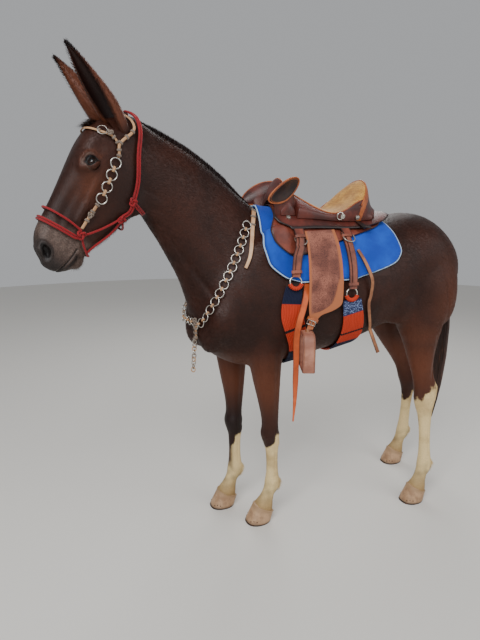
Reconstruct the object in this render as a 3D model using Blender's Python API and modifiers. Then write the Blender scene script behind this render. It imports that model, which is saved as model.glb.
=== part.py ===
"""A standing saddle mule at life size, in its riding tack.

The mule faces -Y, its left side is +X, and it stands on Z = 0. Its body is lofted from stations: at each one
a section runs between two named points of the side view, such as crest and throat. The lofts are joined,
smoothed and thinned into one hide, and then parted by thin cuts into the nodes that a person would name.
The neck and head are modelled straight and then bent to the mule's left along an arc.
"""

import math

import bmesh
import bpy
from mathutils import Matrix, Vector
from mathutils.bvhtree import BVHTree

# All lengths are in metres. Two nodes that meet are this far apart.
GAP = 0.0005

# The bend of the neck: it starts at this Y, takes this length and turns the head by this angle
BEND_START_Y = -0.40
BEND_LENGTH = 0.45
BEND_ANGLE = math.radians(10)

# The head's own frame: its poll, and how far its face line leans forward from straight down
POLL_Y = -0.930
POLL_Z = 1.765
FACE_LEAN = math.radians(29)

VOXEL = 0.0055
HIDE_TRIANGLES = 2400
SIDES = {"left": 1, "right": -1}


def clear_scene():
    for obj in list(bpy.data.objects):
        bpy.data.objects.remove(obj, do_unlink=True)


def collection(name):
    made = bpy.data.collections.new(name)
    bpy.context.scene.collection.children.link(made)
    return made


def material(name, colour, roughness, metallic=0.0):
    made = bpy.data.materials.new(name)
    made.use_nodes = True
    shader = made.node_tree.nodes["Principled BSDF"]
    shader.inputs["Base Color"].default_value = (*colour, 1.0)
    shader.inputs["Roughness"].default_value = roughness
    shader.inputs["Metallic"].default_value = metallic
    return made


def mesh_object(name, points, faces, where):
    mesh = bpy.data.meshes.new(name)
    mesh.from_pydata([tuple(p) for p in points], [], faces)
    mesh.update()
    made = bpy.data.objects.new(name, mesh)
    where.objects.link(made)
    return made


def section(front, back, x, half_width, widest, n_front, n_back, count):
    """A closed ring between two points of the side view. It is widest at that share of the way from back to
    front, and its two ends are superellipses: 2 is round, more is squarer, less is more pointed."""
    front, back = Vector(front), Vector(back)
    centre = back.lerp(front, widest)
    ring = []
    for k in range(count):
        angle = math.tau * k / count
        c, s = math.cos(angle), math.sin(angle)
        power = 2 / (n_front if c > 0 else n_back)
        end = front if c > 0 else back
        reach = abs(c) ** power
        side = math.copysign(abs(s) ** power, s) * half_width
        point = centre.lerp(end, reach)
        ring.append(Vector((x + side, point.x, point.y)))
    return ring


def loft(name, rings, where, folded=False):
    """A closed tube through rings of equal counts, capped by a fan at each end. A folded ring runs out along
    one side and back along the other, and is capped by a strip between the two."""
    count = len(rings[0])
    points = [p for ring in rings for p in ring]
    faces = []
    for r in range(len(rings) - 1):
        for k in range(count):
            a, b = r * count + k, r * count + (k + 1) % count
            faces.append((a, b, b + count, a + count))
    for ring in (0, len(rings) - 1) if folded else ():
        for k in range(count // 2 - 1):
            a, b = ring * count + k, ring * count + count - 1 - k
            faces.append((a, a + 1, b - 1, b))
    for ring, order in () if folded else ((0, -1), (len(rings) - 1, 1)):
        middle = sum(rings[ring], Vector()) / count
        points.append(middle)
        hub = len(points) - 1
        for k in range(count):
            a, b = ring * count + k, ring * count + (k + 1) % count
            faces.append((a, b, hub) if order > 0 else (b, a, hub))
    made = mesh_object(name, points, faces, where)
    face_outwards(made)
    return made


def face_outwards(obj):
    """Turns every face outwards. The faces become triangles first, because a bent one has no single shape."""
    grid = bmesh.new()
    grid.from_mesh(obj.data)
    bmesh.ops.triangulate(grid, faces=grid.faces)
    bmesh.ops.recalc_face_normals(grid, faces=grid.faces)
    if grid.calc_volume(signed=True) < 0:
        bmesh.ops.reverse_faces(grid, faces=grid.faces)
    grid.to_mesh(obj.data)
    grid.free()


def between(stations, steps):
    """Stations read from a smooth curve through the given ones, as rows of numbers."""
    rows = []
    last = len(stations) - 1
    for i in range(last):
        p0, p1 = stations[max(i - 1, 0)], stations[i]
        p2, p3 = stations[i + 1], stations[min(i + 2, last)]
        for k in range(steps):
            t = k / steps
            rows.append([
                0.5 * (2 * b + (c - a) * t + (2 * a - 5 * b + 4 * c - d) * t**2 + (3 * b - a - 3 * c + d) * t**3)
                for a, b, c, d in zip(p0, p1, p2, p3)
            ])
    rows.append(list(stations[-1]))
    return rows


# Each trunk station: Y, Z of the back, Z of the belly, half width, share of the height where it is widest,
# and how square its upper and lower ends are. From the breast to the buttocks.
TRUNK = (
    (-0.690, 1.090, 0.950, 0.060, 0.50, 2.0, 2.0),
    (-0.665, 1.170, 0.890, 0.115, 0.48, 2.1, 2.1),
    (-0.610, 1.280, 0.830, 0.160, 0.45, 2.1, 2.2),
    (-0.520, 1.385, 0.780, 0.185, 0.42, 2.0, 2.2),
    (-0.430, 1.440, 0.760, 0.195, 0.40, 1.8, 2.1),
    (-0.330, 1.445, 0.762, 0.205, 0.40, 1.7, 2.0),
    (-0.200, 1.410, 0.785, 0.226, 0.42, 1.9, 2.0),
    (-0.060, 1.378, 0.812, 0.240, 0.44, 2.1, 2.0),
    (0.080, 1.376, 0.845, 0.240, 0.46, 2.2, 2.0),
    (0.190, 1.396, 0.880, 0.230, 0.50, 2.3, 2.0),
    (0.290, 1.427, 0.920, 0.225, 0.55, 2.2, 2.0),
    (0.370, 1.436, 0.960, 0.225, 0.60, 2.0, 2.0),
    (0.460, 1.420, 0.990, 0.214, 0.60, 1.9, 2.0),
    (0.550, 1.366, 1.020, 0.184, 0.55, 1.9, 2.0),
    (0.620, 1.288, 1.030, 0.138, 0.50, 2.1, 2.1),
    (0.656, 1.212, 1.050, 0.080, 0.50, 2.1, 2.1),
)

# Each neck station: Y and Z of the crest, Y and Z of the throat line, half width, where it is widest,
# squareness. From inside the shoulders to inside the head.
NECK = (
    (-0.330, 1.425, -0.620, 0.880, 0.150, 0.45, 1.7, 2.0),
    (-0.400, 1.455, -0.685, 0.965, 0.140, 0.45, 1.6, 2.0),
    (-0.470, 1.502, -0.715, 1.060, 0.122, 0.46, 1.6, 2.0),
    (-0.560, 1.578, -0.750, 1.160, 0.104, 0.48, 1.6, 2.0),
    (-0.660, 1.648, -0.792, 1.240, 0.092, 0.50, 1.7, 2.0),
    (-0.760, 1.700, -0.830, 1.310, 0.084, 0.52, 1.8, 2.1),
    (-0.850, 1.736, -0.868, 1.370, 0.080, 0.55, 1.9, 2.2),
    (-0.925, 1.755, -0.905, 1.430, 0.072, 0.60, 2.0, 2.2),
    (-0.985, 1.755, -0.960, 1.480, 0.055, 0.60, 2.0, 2.2),
)

# Each head station, in the head's frame: distance down the face from the poll, depth of the face line and
# of the jaw line (towards the jaw is positive), half width, where it is widest, squareness.
HEAD = (
    (-0.010, -0.012, 0.130, 0.035, 0.60, 2.0, 2.0),
    (0.020, -0.045, 0.180, 0.058, 0.62, 2.2, 2.0),
    (0.070, -0.092, 0.208, 0.078, 0.66, 2.5, 2.0),
    (0.120, -0.116, 0.212, 0.090, 0.70, 2.7, 2.0),
    (0.175, -0.124, 0.208, 0.094, 0.72, 2.8, 2.2),
    (0.235, -0.124, 0.198, 0.088, 0.68, 2.8, 2.4),
    (0.295, -0.122, 0.176, 0.077, 0.60, 2.5, 2.5),
    (0.350, -0.120, 0.150, 0.067, 0.56, 2.3, 2.4),
    (0.400, -0.119, 0.132, 0.058, 0.54, 2.2, 2.2),
    (0.445, -0.119, 0.112, 0.053, 0.54, 2.2, 2.2),
    (0.485, -0.120, 0.090, 0.052, 0.54, 2.3, 2.2),
    (0.520, -0.117, 0.076, 0.054, 0.54, 2.4, 2.2),
    (0.555, -0.104, 0.070, 0.055, 0.52, 2.4, 2.2),
    (0.585, -0.082, 0.054, 0.049, 0.50, 2.3, 2.2),
    (0.607, -0.054, 0.030, 0.036, 0.50, 2.0, 2.0),
    (0.618, -0.030, 0.008, 0.016, 0.50, 2.0, 2.0),
)

# Each leg station: Z, Y of the front and of the back, measured from the middle of the cannon bone, half width.
FORE_LEG = (
    (0.900, -0.115, 0.075, 0.070),
    (0.840, -0.108, 0.062, 0.070),
    (0.780, -0.094, 0.052, 0.066),
    (0.700, -0.078, 0.047, 0.056),
    (0.620, -0.061, 0.043, 0.046),
    (0.550, -0.048, 0.039, 0.040),
    (0.500, -0.044, 0.036, 0.040),
    (0.462, -0.047, 0.036, 0.044),
    (0.430, -0.047, 0.038, 0.044),
    (0.400, -0.039, 0.041, 0.039),
    (0.370, -0.031, 0.035, 0.031),
    (0.320, -0.028, 0.033, 0.0265),
    (0.260, -0.028, 0.034, 0.0255),
    (0.222, -0.031, 0.038, 0.030),
    (0.192, -0.035, 0.043, 0.035),
    (0.166, -0.038, 0.040, 0.034),
    (0.136, -0.050, 0.022, 0.030),
    (0.106, -0.070, 0.010, 0.034),
    (0.084, -0.086, 0.008, 0.043),
    (0.060, -0.098, 0.006, 0.047),
    (0.040, -0.104, 0.004, 0.048),
)
HIND_LEG = (
    (1.200, -0.200, 0.130, 0.070),
    (1.100, -0.215, 0.150, 0.085),
    (1.000, -0.205, 0.115, 0.088),
    (0.920, -0.180, 0.085, 0.084),
    (0.840, -0.140, 0.062, 0.074),
    (0.760, -0.108, 0.048, 0.060),
    (0.690, -0.086, 0.044, 0.048),
    (0.640, -0.073, 0.050, 0.040),
    (0.600, -0.066, 0.066, 0.037),
    (0.570, -0.064, 0.075, 0.038),
    (0.530, -0.062, 0.066, 0.041),
    (0.485, -0.050, 0.050, 0.038),
    (0.440, -0.038, 0.041, 0.031),
    (0.370, -0.030, 0.036, 0.026),
    (0.280, -0.029, 0.036, 0.0255),
    (0.222, -0.032, 0.040, 0.030),
    (0.192, -0.036, 0.044, 0.034),
    (0.162, -0.039, 0.038, 0.033),
    (0.132, -0.050, 0.022, 0.030),
    (0.104, -0.066, 0.010, 0.033),
    (0.084, -0.081, 0.008, 0.041),
    (0.060, -0.094, 0.006, 0.045),
    (0.040, -0.100, 0.004, 0.046),
)

# Where each leg stands: Y of its cannon bone, X of its hoof and of its top, how far its foot is swung back
# from its top, and the heights between which that swing fades out.
STANCE = {
    "fore_left": (-0.375, 0.062, 0.115, 0.040, 0.10, 0.85),
    "fore_right": (-0.445, -0.120, -0.115, -0.008, 0.30, 0.85),
    "hind_left": (0.460, 0.190, 0.130, 0.0, 0.45, 0.92),
    "hind_right": (0.460, -0.180, -0.130, 0.160, 0.45, 0.92),
}


def smoothstep(low, high, value):
    t = min(max((value - low) / (high - low), 0.0), 1.0)
    return t * t * (3 - 2 * t)


def leg_place(leg, z):
    """X and Y of the middle of the leg at a height."""
    line_y, foot_x, top_x, swing, low, high = STANCE[leg]
    x = foot_x + (top_x - foot_x) * smoothstep(0.0, high, z)
    y = line_y + swing * (1 - smoothstep(low, high, z))
    return x, y


def head_point(down, depth, x=0.0):
    """A point of the head's frame in the straight animal."""
    y = POLL_Y - down * math.sin(FACE_LEAN) + depth * math.cos(FACE_LEAN)
    z = POLL_Z - down * math.cos(FACE_LEAN) - depth * math.sin(FACE_LEAN)
    return Vector((x, y, z))


def bent(point):
    """A point of the straight animal, moved by the bend of the neck."""
    ahead = BEND_START_Y - point.y
    if ahead <= 0:
        return point.copy()
    radius = BEND_LENGTH / BEND_ANGLE
    angle = min(ahead / BEND_LENGTH, 1.0) * BEND_ANGLE
    rest = max(ahead - BEND_LENGTH, 0.0)
    x = radius - (radius - point.x) * math.cos(angle) + rest * math.sin(angle)
    y = BEND_START_Y - (radius - point.x) * math.sin(angle) - rest * math.cos(angle)
    return Vector((x, y, point.z))


def trunk_loft(where):
    rings = []
    for y, top, bottom, half_width, widest, n_top, n_bottom in between(TRUNK, 3):
        rings.append(section((y, top), (y, bottom), 0, half_width, widest, n_top, n_bottom, 40))
    return loft("trunk_loft", rings, where)


def neck_loft(where):
    rings = []
    for crest_y, crest_z, throat_y, throat_z, half_width, widest, n_top, n_bottom in between(NECK, 4):
        rings.append(section(
            (crest_y, crest_z), (throat_y, throat_z), 0, half_width, widest, n_top, n_bottom, 36))
    return loft("neck_loft", rings, where)


def head_loft(where):
    rings = []
    for down, face, jaw, half_width, widest, n_top, n_bottom in between(HEAD, 3):
        top, bottom = head_point(down, face), head_point(down, jaw)
        rings.append(section((top.y, top.z), (bottom.y, bottom.z), 0, half_width, widest, n_top, n_bottom, 36))
    return loft("head_loft", rings, where)


def leg_loft(leg, stations, where):
    rings = []
    for z, front, back, half_width in between(stations, 3):
        x, y = leg_place(leg, z)
        rings.append(section((y + front, z), (y + back, z), x, half_width, 0.5, 2.2, 2.1, 28))
    return loft(f"{leg}_loft", rings, where)


def bulge(name, centre, radii, where, pitch=0.0, yaw=0.0, roll=0.0, segments=28):
    """An ellipsoid: pitch turns it about X, yaw about Z and roll about Y, in degrees."""
    grid = bmesh.new()
    bmesh.ops.create_uvsphere(grid, u_segments=segments, v_segments=segments * 2 // 3, radius=1.0)
    turn = (
        Matrix.Rotation(math.radians(yaw), 4, "Z")
        @ Matrix.Rotation(math.radians(pitch), 4, "X")
        @ Matrix.Rotation(math.radians(roll), 4, "Y")
    )
    scale = Matrix.Diagonal((*radii, 1.0))
    bmesh.ops.transform(grid, matrix=Matrix.Translation(centre) @ turn @ scale, verts=grid.verts)
    mesh = bpy.data.meshes.new(name)
    grid.to_mesh(mesh)
    grid.free()
    made = bpy.data.objects.new(name, mesh)
    where.objects.link(made)
    return made


# Muscles and bones that stand out of the lofts, for the left side: centre, radii, pitch, yaw, roll in degrees.
MUSCLES = {
    "shoulder_blade": ((0.110, -0.430, 1.160), (0.048, 0.110, 0.230), -22, 0, 12),
    "shoulder_point": ((0.112, -0.600, 1.000), (0.072, 0.080, 0.105), 0, 0, 0),
    "triceps": ((0.142, -0.385, 0.980), (0.060, 0.125, 0.125), -30, 0, 0),
    "breast": ((0.068, -0.640, 0.945), (0.070, 0.058, 0.095), 0, 0, 0),
    "hip": ((0.132, 0.370, 1.265), (0.090, 0.165, 0.120), 0, 0, 0),
    "thigh": ((0.135, 0.425, 1.090), (0.092, 0.180, 0.220), 12, 0, 0),
    "hamstring": ((0.110, 0.530, 1.080), (0.082, 0.092, 0.205), 8, 0, 0),
    "flank": ((0.140, 0.255, 1.030), (0.070, 0.120, 0.110), 0, 0, 0),
}
HEAD_BULGES = {
    "brow": ((0.226, -0.074), 0.072, (0.026, 0.030, 0.046)),
    "cheek": ((0.245, 0.095), 0.040, (0.034, 0.105, 0.095)),
    "face_crest": ((0.345, -0.012), 0.050, (0.018, 0.018, 0.095)),
    "nostril_rim": ((0.552, -0.066), 0.034, (0.022, 0.028, 0.038)),
    "upper_lip": ((0.588, -0.020), 0.020, (0.034, 0.042, 0.034)),
    "chin": ((0.548, 0.052), 0.000, (0.034, 0.030, 0.036)),
}


def muscle_shapes(where):
    shapes = []
    for name, (centre, radii, pitch, yaw, roll) in MUSCLES.items():
        for side, sign in SIDES.items():
            place = (centre[0] * sign, centre[1], centre[2])
            shapes.append(bulge(f"{name}_{side}", place, radii, where, pitch, yaw * sign, roll * sign))
    for name, ((down, depth), x, radii) in HEAD_BULGES.items():
        for side, sign in SIDES.items():
            place = head_point(down, depth, x * sign)
            shapes.append(bulge(f"{name}_{side}", place, radii, where, -math.degrees(FACE_LEAN)))
    return shapes


def joined_mesh(name, shapes, where):
    """One mesh from several closed shapes, which are then removed."""
    grid = bmesh.new()
    for shape in shapes:
        grid.from_mesh(shape.data)
        bpy.data.objects.remove(shape, do_unlink=True)
    mesh = bpy.data.meshes.new(name)
    grid.to_mesh(mesh)
    grid.free()
    made = bpy.data.objects.new(name, mesh)
    where.objects.link(made)
    return made


def evaluated_copy(obj, name, where):
    """A new object that holds the mesh the modifiers of obj give. The old object is removed."""
    bpy.context.view_layer.update()
    graph = bpy.context.evaluated_depsgraph_get()
    mesh = bpy.data.meshes.new_from_object(obj.evaluated_get(graph))
    mesh.transform(obj.matrix_world)
    bpy.data.objects.remove(obj, do_unlink=True)
    mesh.name = name
    made = bpy.data.objects.new(name, mesh)
    where.objects.link(made)
    return made


def body_share(point):
    """How much a point of the hide is soft body, from 0 on the legs and head to 1 on the trunk and neck."""
    on_trunk = smoothstep(0.70, 0.92, point.z)
    off_head = smoothstep(-0.98, -0.84, point.y)
    return on_trunk * off_head


def whole_hide(where):
    """The animal's flesh as one closed mesh, without ears, eyes and hooves."""
    shapes = [trunk_loft(where), neck_loft(where), head_loft(where)]
    for leg in STANCE:
        shapes.append(leg_loft(leg, FORE_LEG if leg.startswith("fore") else HIND_LEG, where))
    shapes += muscle_shapes(where)
    hide = joined_mesh("hide", shapes, where)
    remesh = hide.modifiers.new("blend", "REMESH")
    remesh.mode = "VOXEL"
    remesh.voxel_size = VOXEL
    hide = evaluated_copy(hide, "hide", where)
    soft = hide.vertex_groups.new(name="soft")
    for vertex in hide.data.vertices:
        soft.add([vertex.index], body_share(vertex.co), "REPLACE")
    for vertex in hide.data.vertices:
        vertex.co = bent(vertex.co)
    for name, group, rounds in (("soften_all", "", 10), ("soften_body", "soft", 110)):
        smooth = hide.modifiers.new(name, "SMOOTH")
        smooth.factor = 0.5
        smooth.iterations = rounds
        smooth.vertex_group = group
    hide = evaluated_copy(hide, "hide", where)
    thin = hide.modifiers.new("thin", "DECIMATE")
    thin.ratio = HIDE_TRIANGLES / (2 * len(hide.data.polygons))
    return evaluated_copy(hide, "hide", where)


class Surface:
    """The outside of the hide, or of the hide with the tack that already lies on it."""

    def __init__(self, *objects):
        grid = bmesh.new()
        for obj in objects:
            grid.from_mesh(obj.data)
        self.tree = BVHTree.FromBMesh(grid)
        grid.free()

    def towards(self, start, target):
        """The first point met on the way from start to target, with its normal."""
        way = (Vector(target) - Vector(start)).normalized()
        point, normal, _, _ = self.tree.ray_cast(Vector(start), way)
        return point, normal

    def barrel(self, y, degrees):
        """A point of the trunk at a distance along it and an angle from the spine, with that direction."""
        angle = math.radians(degrees)
        way = Vector((math.sin(angle), 0, math.cos(angle)))
        axis = Vector((0, y, BARREL_AXIS_Z))
        point, _ = self.towards(axis + way, axis)
        return point, way

    def flank_side(self, y, z, sign=1):
        """A point of one side of the trunk at a distance along it and a height."""
        point, normal = self.towards((sign * 0.8, y, z), (0, y, z))
        return point, normal

    def face(self, down, degrees):
        """A point of the head at a distance from the poll, and an angle from the face line."""
        angle = math.radians(degrees)
        near = bent(head_point(down, HEAD_AXIS_DEPTH))
        far_point = head_point(down, HEAD_AXIS_DEPTH - 0.2 * math.cos(angle), 0.2 * math.sin(angle))
        return self.towards(bent(far_point), near)

    def nearest(self, point):
        place, normal, _, _ = self.tree.find_nearest(Vector(point))
        return place, normal


BARREL_AXIS_Z = 1.12
HEAD_AXIS_DEPTH = 0.03


def half_space(name, point, normal, where):
    """A very large box whose one face goes through the point, and which lies on the normal's side."""
    size = 4.0
    normal = Vector(normal).normalized()
    grid = bmesh.new()
    bmesh.ops.create_cube(grid, size=size)
    turn = normal.to_track_quat("Z", "Y").to_matrix().to_4x4()
    centre = Vector(point) + normal * size / 2
    bmesh.ops.transform(grid, matrix=Matrix.Translation(centre) @ turn, verts=grid.verts)
    return from_grid(name, grid, where)


def from_grid(name, grid, where):
    mesh = bpy.data.meshes.new(name)
    grid.to_mesh(mesh)
    grid.free()
    made = bpy.data.objects.new(name, mesh)
    where.objects.link(made)
    return made


def block(name, corners, where):
    """A closed block from eight corners: four below and the four above them, in the same order."""
    faces = [(0, 1, 2, 3), (7, 6, 5, 4), (0, 4, 5, 1), (1, 5, 6, 2), (2, 6, 7, 3), (3, 7, 4, 0)]
    made = mesh_object(name, corners, faces, where)
    face_outwards(made)
    return made


def duplicate(obj, name, where, grow=0.0):
    """A copy of the mesh, moved outwards along its normals."""
    grid = bmesh.new()
    grid.from_mesh(obj.data)
    bmesh.ops.triangulate(grid, faces=grid.faces)
    grid.normal_update()
    moves = [vertex.normal * grow * min(vertex.calc_shell_factor(), 1.4) for vertex in grid.verts]
    for vertex, move in zip(grid.verts, moves):
        vertex.co += move
    return from_grid(name, grid, where)


def boolean(obj, cutter, operation, where):
    """The object cut by, joined with or kept inside another mesh."""
    cut = obj.modifiers.new("cut", "BOOLEAN")
    cut.operation = operation
    cut.solver = "EXACT"
    cut.object = cutter
    return evaluated_copy(obj, obj.name, where)


def keep_largest(obj):
    """Removes every loose piece but the largest, such as chips that a cut leaves."""
    grid = bmesh.new()
    grid.from_mesh(obj.data)
    unseen = set(grid.verts)
    islands = []
    while unseen:
        stack = [unseen.pop()]
        island = set(stack)
        while stack:
            for edge in stack.pop().link_edges:
                for vertex in edge.verts:
                    if vertex in unseen:
                        unseen.discard(vertex)
                        island.add(vertex)
                        stack.append(vertex)
        islands.append(island)
    islands.sort(key=len, reverse=True)
    for island in islands[1:]:
        bmesh.ops.delete(grid, geom=list(island), context="VERTS")
    grid.to_mesh(obj.data)
    grid.free()


def leg_region(name, sign, front, back, inner, inner_z, outer_z, margin, where):
    """The space that one leg is cut out with: a block whose top slopes up to the outside."""
    outer = 0.45
    x0, x1 = sign * (inner - margin), sign * outer
    y0, y1 = front - margin, back + margin
    low, top0, top1 = -1.0, inner_z + margin, outer_z + margin
    corners = [
        (x0, y0, low), (x1, y0, low), (x1, y1, low), (x0, y1, low),
        (x0, y0, top0), (x1, y0, top1), (x1, y1, top1), (x0, y1, top0),
    ]
    return block(name, corners, where)


# The cut of each pair of legs: front and back Y, inner X, height of the cut inside and outside
LEG_CUTS = {
    "fore_leg": (-0.640, -0.262, 0.004, 0.800, 1.020),
    "hind_leg": (0.130, 0.800, 0.004, 0.930, 1.200),
}
# The cuts across the neck: a point on each and the direction that the head lies in
HEAD_CUT = ((-0.852, 1.600), (-0.46, 0.055))
NECK_CUT = ((-0.510, 1.250), (-0.48, 0.345))


def cut_plane(cut):
    (y, z), (ahead_y, ahead_z) = cut
    point = bent(Vector((0, y, z)))
    tip = bent(Vector((0, y + ahead_y, z)))
    way = Vector((tip.x - point.x, tip.y - point.y, 0)).normalized() * abs(ahead_y)
    return point, Vector((way.x, way.y, ahead_z)).normalized()


def flesh_nodes(hide, solids, cutters):
    """The hide parted into trunk, neck, head and legs, by cuts a hair wide."""
    nodes = {}
    head_at, head_way = cut_plane(HEAD_CUT)
    neck_at, neck_way = cut_plane(NECK_CUT)
    gap = GAP / 2

    def part(name, pieces):
        obj = duplicate(hide, name, solids)
        for cutter, operation in pieces:
            obj = boolean(obj, cutter, operation, solids)
        keep_largest(obj)
        nodes[name] = obj
        return obj

    head_front = half_space("head_front", head_at + head_way * gap, head_way, cutters)
    head_back = half_space("head_back", head_at - head_way * gap, -head_way, cutters)
    neck_front = half_space("neck_front", neck_at + neck_way * gap, neck_way, cutters)
    neck_back = half_space("neck_back", neck_at - neck_way * gap, -neck_way, cutters)
    part("head", [(head_front, "INTERSECT"), (neck_front, "INTERSECT")])
    part("neck", [(head_back, "INTERSECT"), (neck_front, "INTERSECT")])
    legs_out = [(neck_back, "INTERSECT")]
    for pair, (front, back, inner, inner_z, outer_z) in LEG_CUTS.items():
        for side, sign in SIDES.items():
            name = f"{pair}_{side}"
            args = (sign, front, back, inner, inner_z, outer_z)
            inside = leg_region(f"{name}_in", *args, -gap, cutters)
            outside = leg_region(f"{name}_out", *args, gap, cutters)
            part(name, [(inside, "INTERSECT")])
            legs_out.append((outside, "DIFFERENCE"))
    part("trunk", legs_out)
    return nodes


# The hoof: Y of its front and back and their heights at the coronet, then Y of both at the ground,
# measured from the middle of the cannon bone, and half widths above and below
HOOF = {
    "fore": ((-0.086, 0.088), (0.006, 0.048), (-0.129, -0.012), 0.043, 0.053),
    "hind": ((-0.083, 0.087), (0.006, 0.048), (-0.126, -0.010), 0.041, 0.050),
}


def hoof(name, leg, where):
    (front_y, front_z), (back_y, back_z), (toe_y, heel_y), top_half, ground_half = HOOF[leg[:4]]
    x, y = leg_place(leg, 0.10)
    rings = []
    for share in (0.0, 0.5, 1.0):
        f_y, b_y = toe_y + (front_y - toe_y) * share, heel_y + (back_y - heel_y) * share
        f_z, b_z = front_z * share, back_z * share
        half = ground_half + (top_half - ground_half) * share
        ring = []
        for k in range(16):
            angle = math.tau * k / 16
            along = 0.5 + 0.5 * math.copysign(abs(math.cos(angle)) ** 0.9, math.cos(angle))
            side = math.copysign(abs(math.sin(angle)) ** 0.8, math.sin(angle)) * half
            ring.append(Vector((x + side, y + b_y + (f_y - b_y) * along, b_z + (f_z - b_z) * along)))
        rings.append(ring)
    return loft(name, rings, where)


def coronet_region(name, leg, margin, where):
    """Everything below the sloping plane at the top of a hoof."""
    (front_y, front_z), (back_y, back_z) = HOOF[leg[:4]][:2]
    x, y = leg_place(leg, 0.10)
    slope = Vector((0, back_y - front_y, back_z - front_z)).normalized()
    up = Vector((0, -slope.z, slope.y))
    middle = Vector((x, y + (front_y + back_y) / 2, (front_z + back_z) / 2))
    grid = bmesh.new()
    bmesh.ops.create_cube(grid, size=0.24)
    turn = up.to_track_quat("Z", "Y").to_matrix().to_4x4()
    centre = middle + up * (margin - 0.12)
    bmesh.ops.transform(grid, matrix=Matrix.Translation(centre) @ turn, verts=grid.verts)
    return from_grid(name, grid, where)


# One ear: where its base and its tip are in the head's frame (down, depth, x), and its greatest width
EAR_BASE = (0.062, -0.026, 0.055)
EAR_TIP = (-0.062, -0.285, 0.085)
EAR_WIDTH = 0.084


def ear_mesh(name, sign, where):
    """A cup that is open to the front and outside: each section is a thick arc."""
    base = head_point(EAR_BASE[0], EAR_BASE[1], EAR_BASE[2] * sign)
    tip = head_point(EAR_TIP[0], EAR_TIP[1], EAR_TIP[2] * sign)
    axis = (tip - base).normalized()
    facing = Vector((sign * 0.80, -0.55, -0.25))
    facing = (facing - axis * facing.dot(axis)).normalized()
    across = axis.cross(facing)
    rings = []
    for share, width, opening in (
        (0.00, 0.80, 30), (0.13, 0.92, 50), (0.27, 1.00, 78), (0.42, 0.97, 96), (0.60, 0.80, 106),
        (0.78, 0.50, 112), (0.92, 0.22, 116), (1.00, 0.07, 118),
    ):
        centre = base.lerp(tip, share)
        radius = EAR_WIDTH / 2 * width
        wall = min(0.0075, radius * 0.6)
        ring = []
        for k in range(7):
            angle = math.radians(opening + (360 - 2 * opening) * k / 6)
            ring.append(centre + (facing * math.cos(angle) * 0.85 + across * math.sin(angle)) * radius)
        for k in range(6, -1, -1):
            angle = math.radians(opening + (360 - 2 * opening) * k / 6)
            ring.append(centre + (facing * math.cos(angle) * 0.85 + across * math.sin(angle)) * (radius - wall))
        rings.append([bent(p) for p in ring])
    return loft(name, rings, where, folded=True)


EYE_RADIUS = 0.0215
EYE_PLACE = (0.225, 43)
EYE_PROUD = 0.0040


def eye_centre(surface, sign):
    point, normal = surface.face(EYE_PLACE[0], EYE_PLACE[1] * sign)
    way = (point - bent(head_point(EYE_PLACE[0], HEAD_AXIS_DEPTH))).normalized()
    return point - way * (EYE_RADIUS - EYE_PROUD)


def ball(name, centre, radius, where):
    grid = bmesh.new()
    bmesh.ops.create_uvsphere(grid, u_segments=10, v_segments=6, radius=radius)
    bmesh.ops.translate(grid, vec=centre, verts=grid.verts)
    return from_grid(name, grid, where)


# The clipped mane runs along the crest between these Y values of the straight animal
MANE_FROM_Y, MANE_TO_Y = -0.905, -0.450
MANE_HEIGHT, MANE_HALF_WIDTH = 0.018, 0.010


def mane(surface, where):
    rings = []
    steps = 10
    for k in range(steps + 1):
        y = MANE_FROM_Y + (MANE_TO_Y - MANE_FROM_Y) * k / steps
        top, _ = surface.towards(bent(Vector((0, y, 2.2))), bent(Vector((0, y, 1.0))))
        rise = MANE_HEIGHT * min(1.0, 0.25 + 3.0 * min(k, steps - k) / steps)
        ring = []
        for side, height in ((-1, -0.012), (-0.6, 1), (0.6, 1), (1, -0.012)):
            lift = height * rise if height > 0 else height
            ring.append(top + Vector((side * MANE_HALF_WIDTH, 0, lift)))
        rings.append(ring)
    return loft("mane", rings, where)


# The tail: Z, Y of its middle, half width and half depth
TAIL = (
    (1.262, 0.610, 0.020, 0.020),
    (1.240, 0.645, 0.026, 0.024),
    (1.190, 0.668, 0.028, 0.023),
    (1.100, 0.680, 0.030, 0.020),
    (0.980, 0.684, 0.036, 0.020),
    (0.840, 0.687, 0.041, 0.022),
    (0.690, 0.684, 0.041, 0.022),
    (0.550, 0.678, 0.032, 0.020),
    (0.430, 0.668, 0.020, 0.014),
    (0.345, 0.660, 0.005, 0.005),
)


def tail(where):
    rings = []
    for z, y, half_width, half_depth in TAIL:
        rings.append(section((y - half_depth, z), (y + half_depth, z), 0, half_width, 0.5, 2, 2, 8))
    return loft("tail", rings, where)


def clear_of(obj, others, solids, cutters):
    """The object less a copy of each other one, grown by the gap."""
    for other in others:
        grown = duplicate(other, f"{obj.name}_less_{other.name}", cutters, GAP)
        obj = boolean(obj, grown, "DIFFERENCE", solids)
    keep_largest(obj)
    return obj


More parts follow.
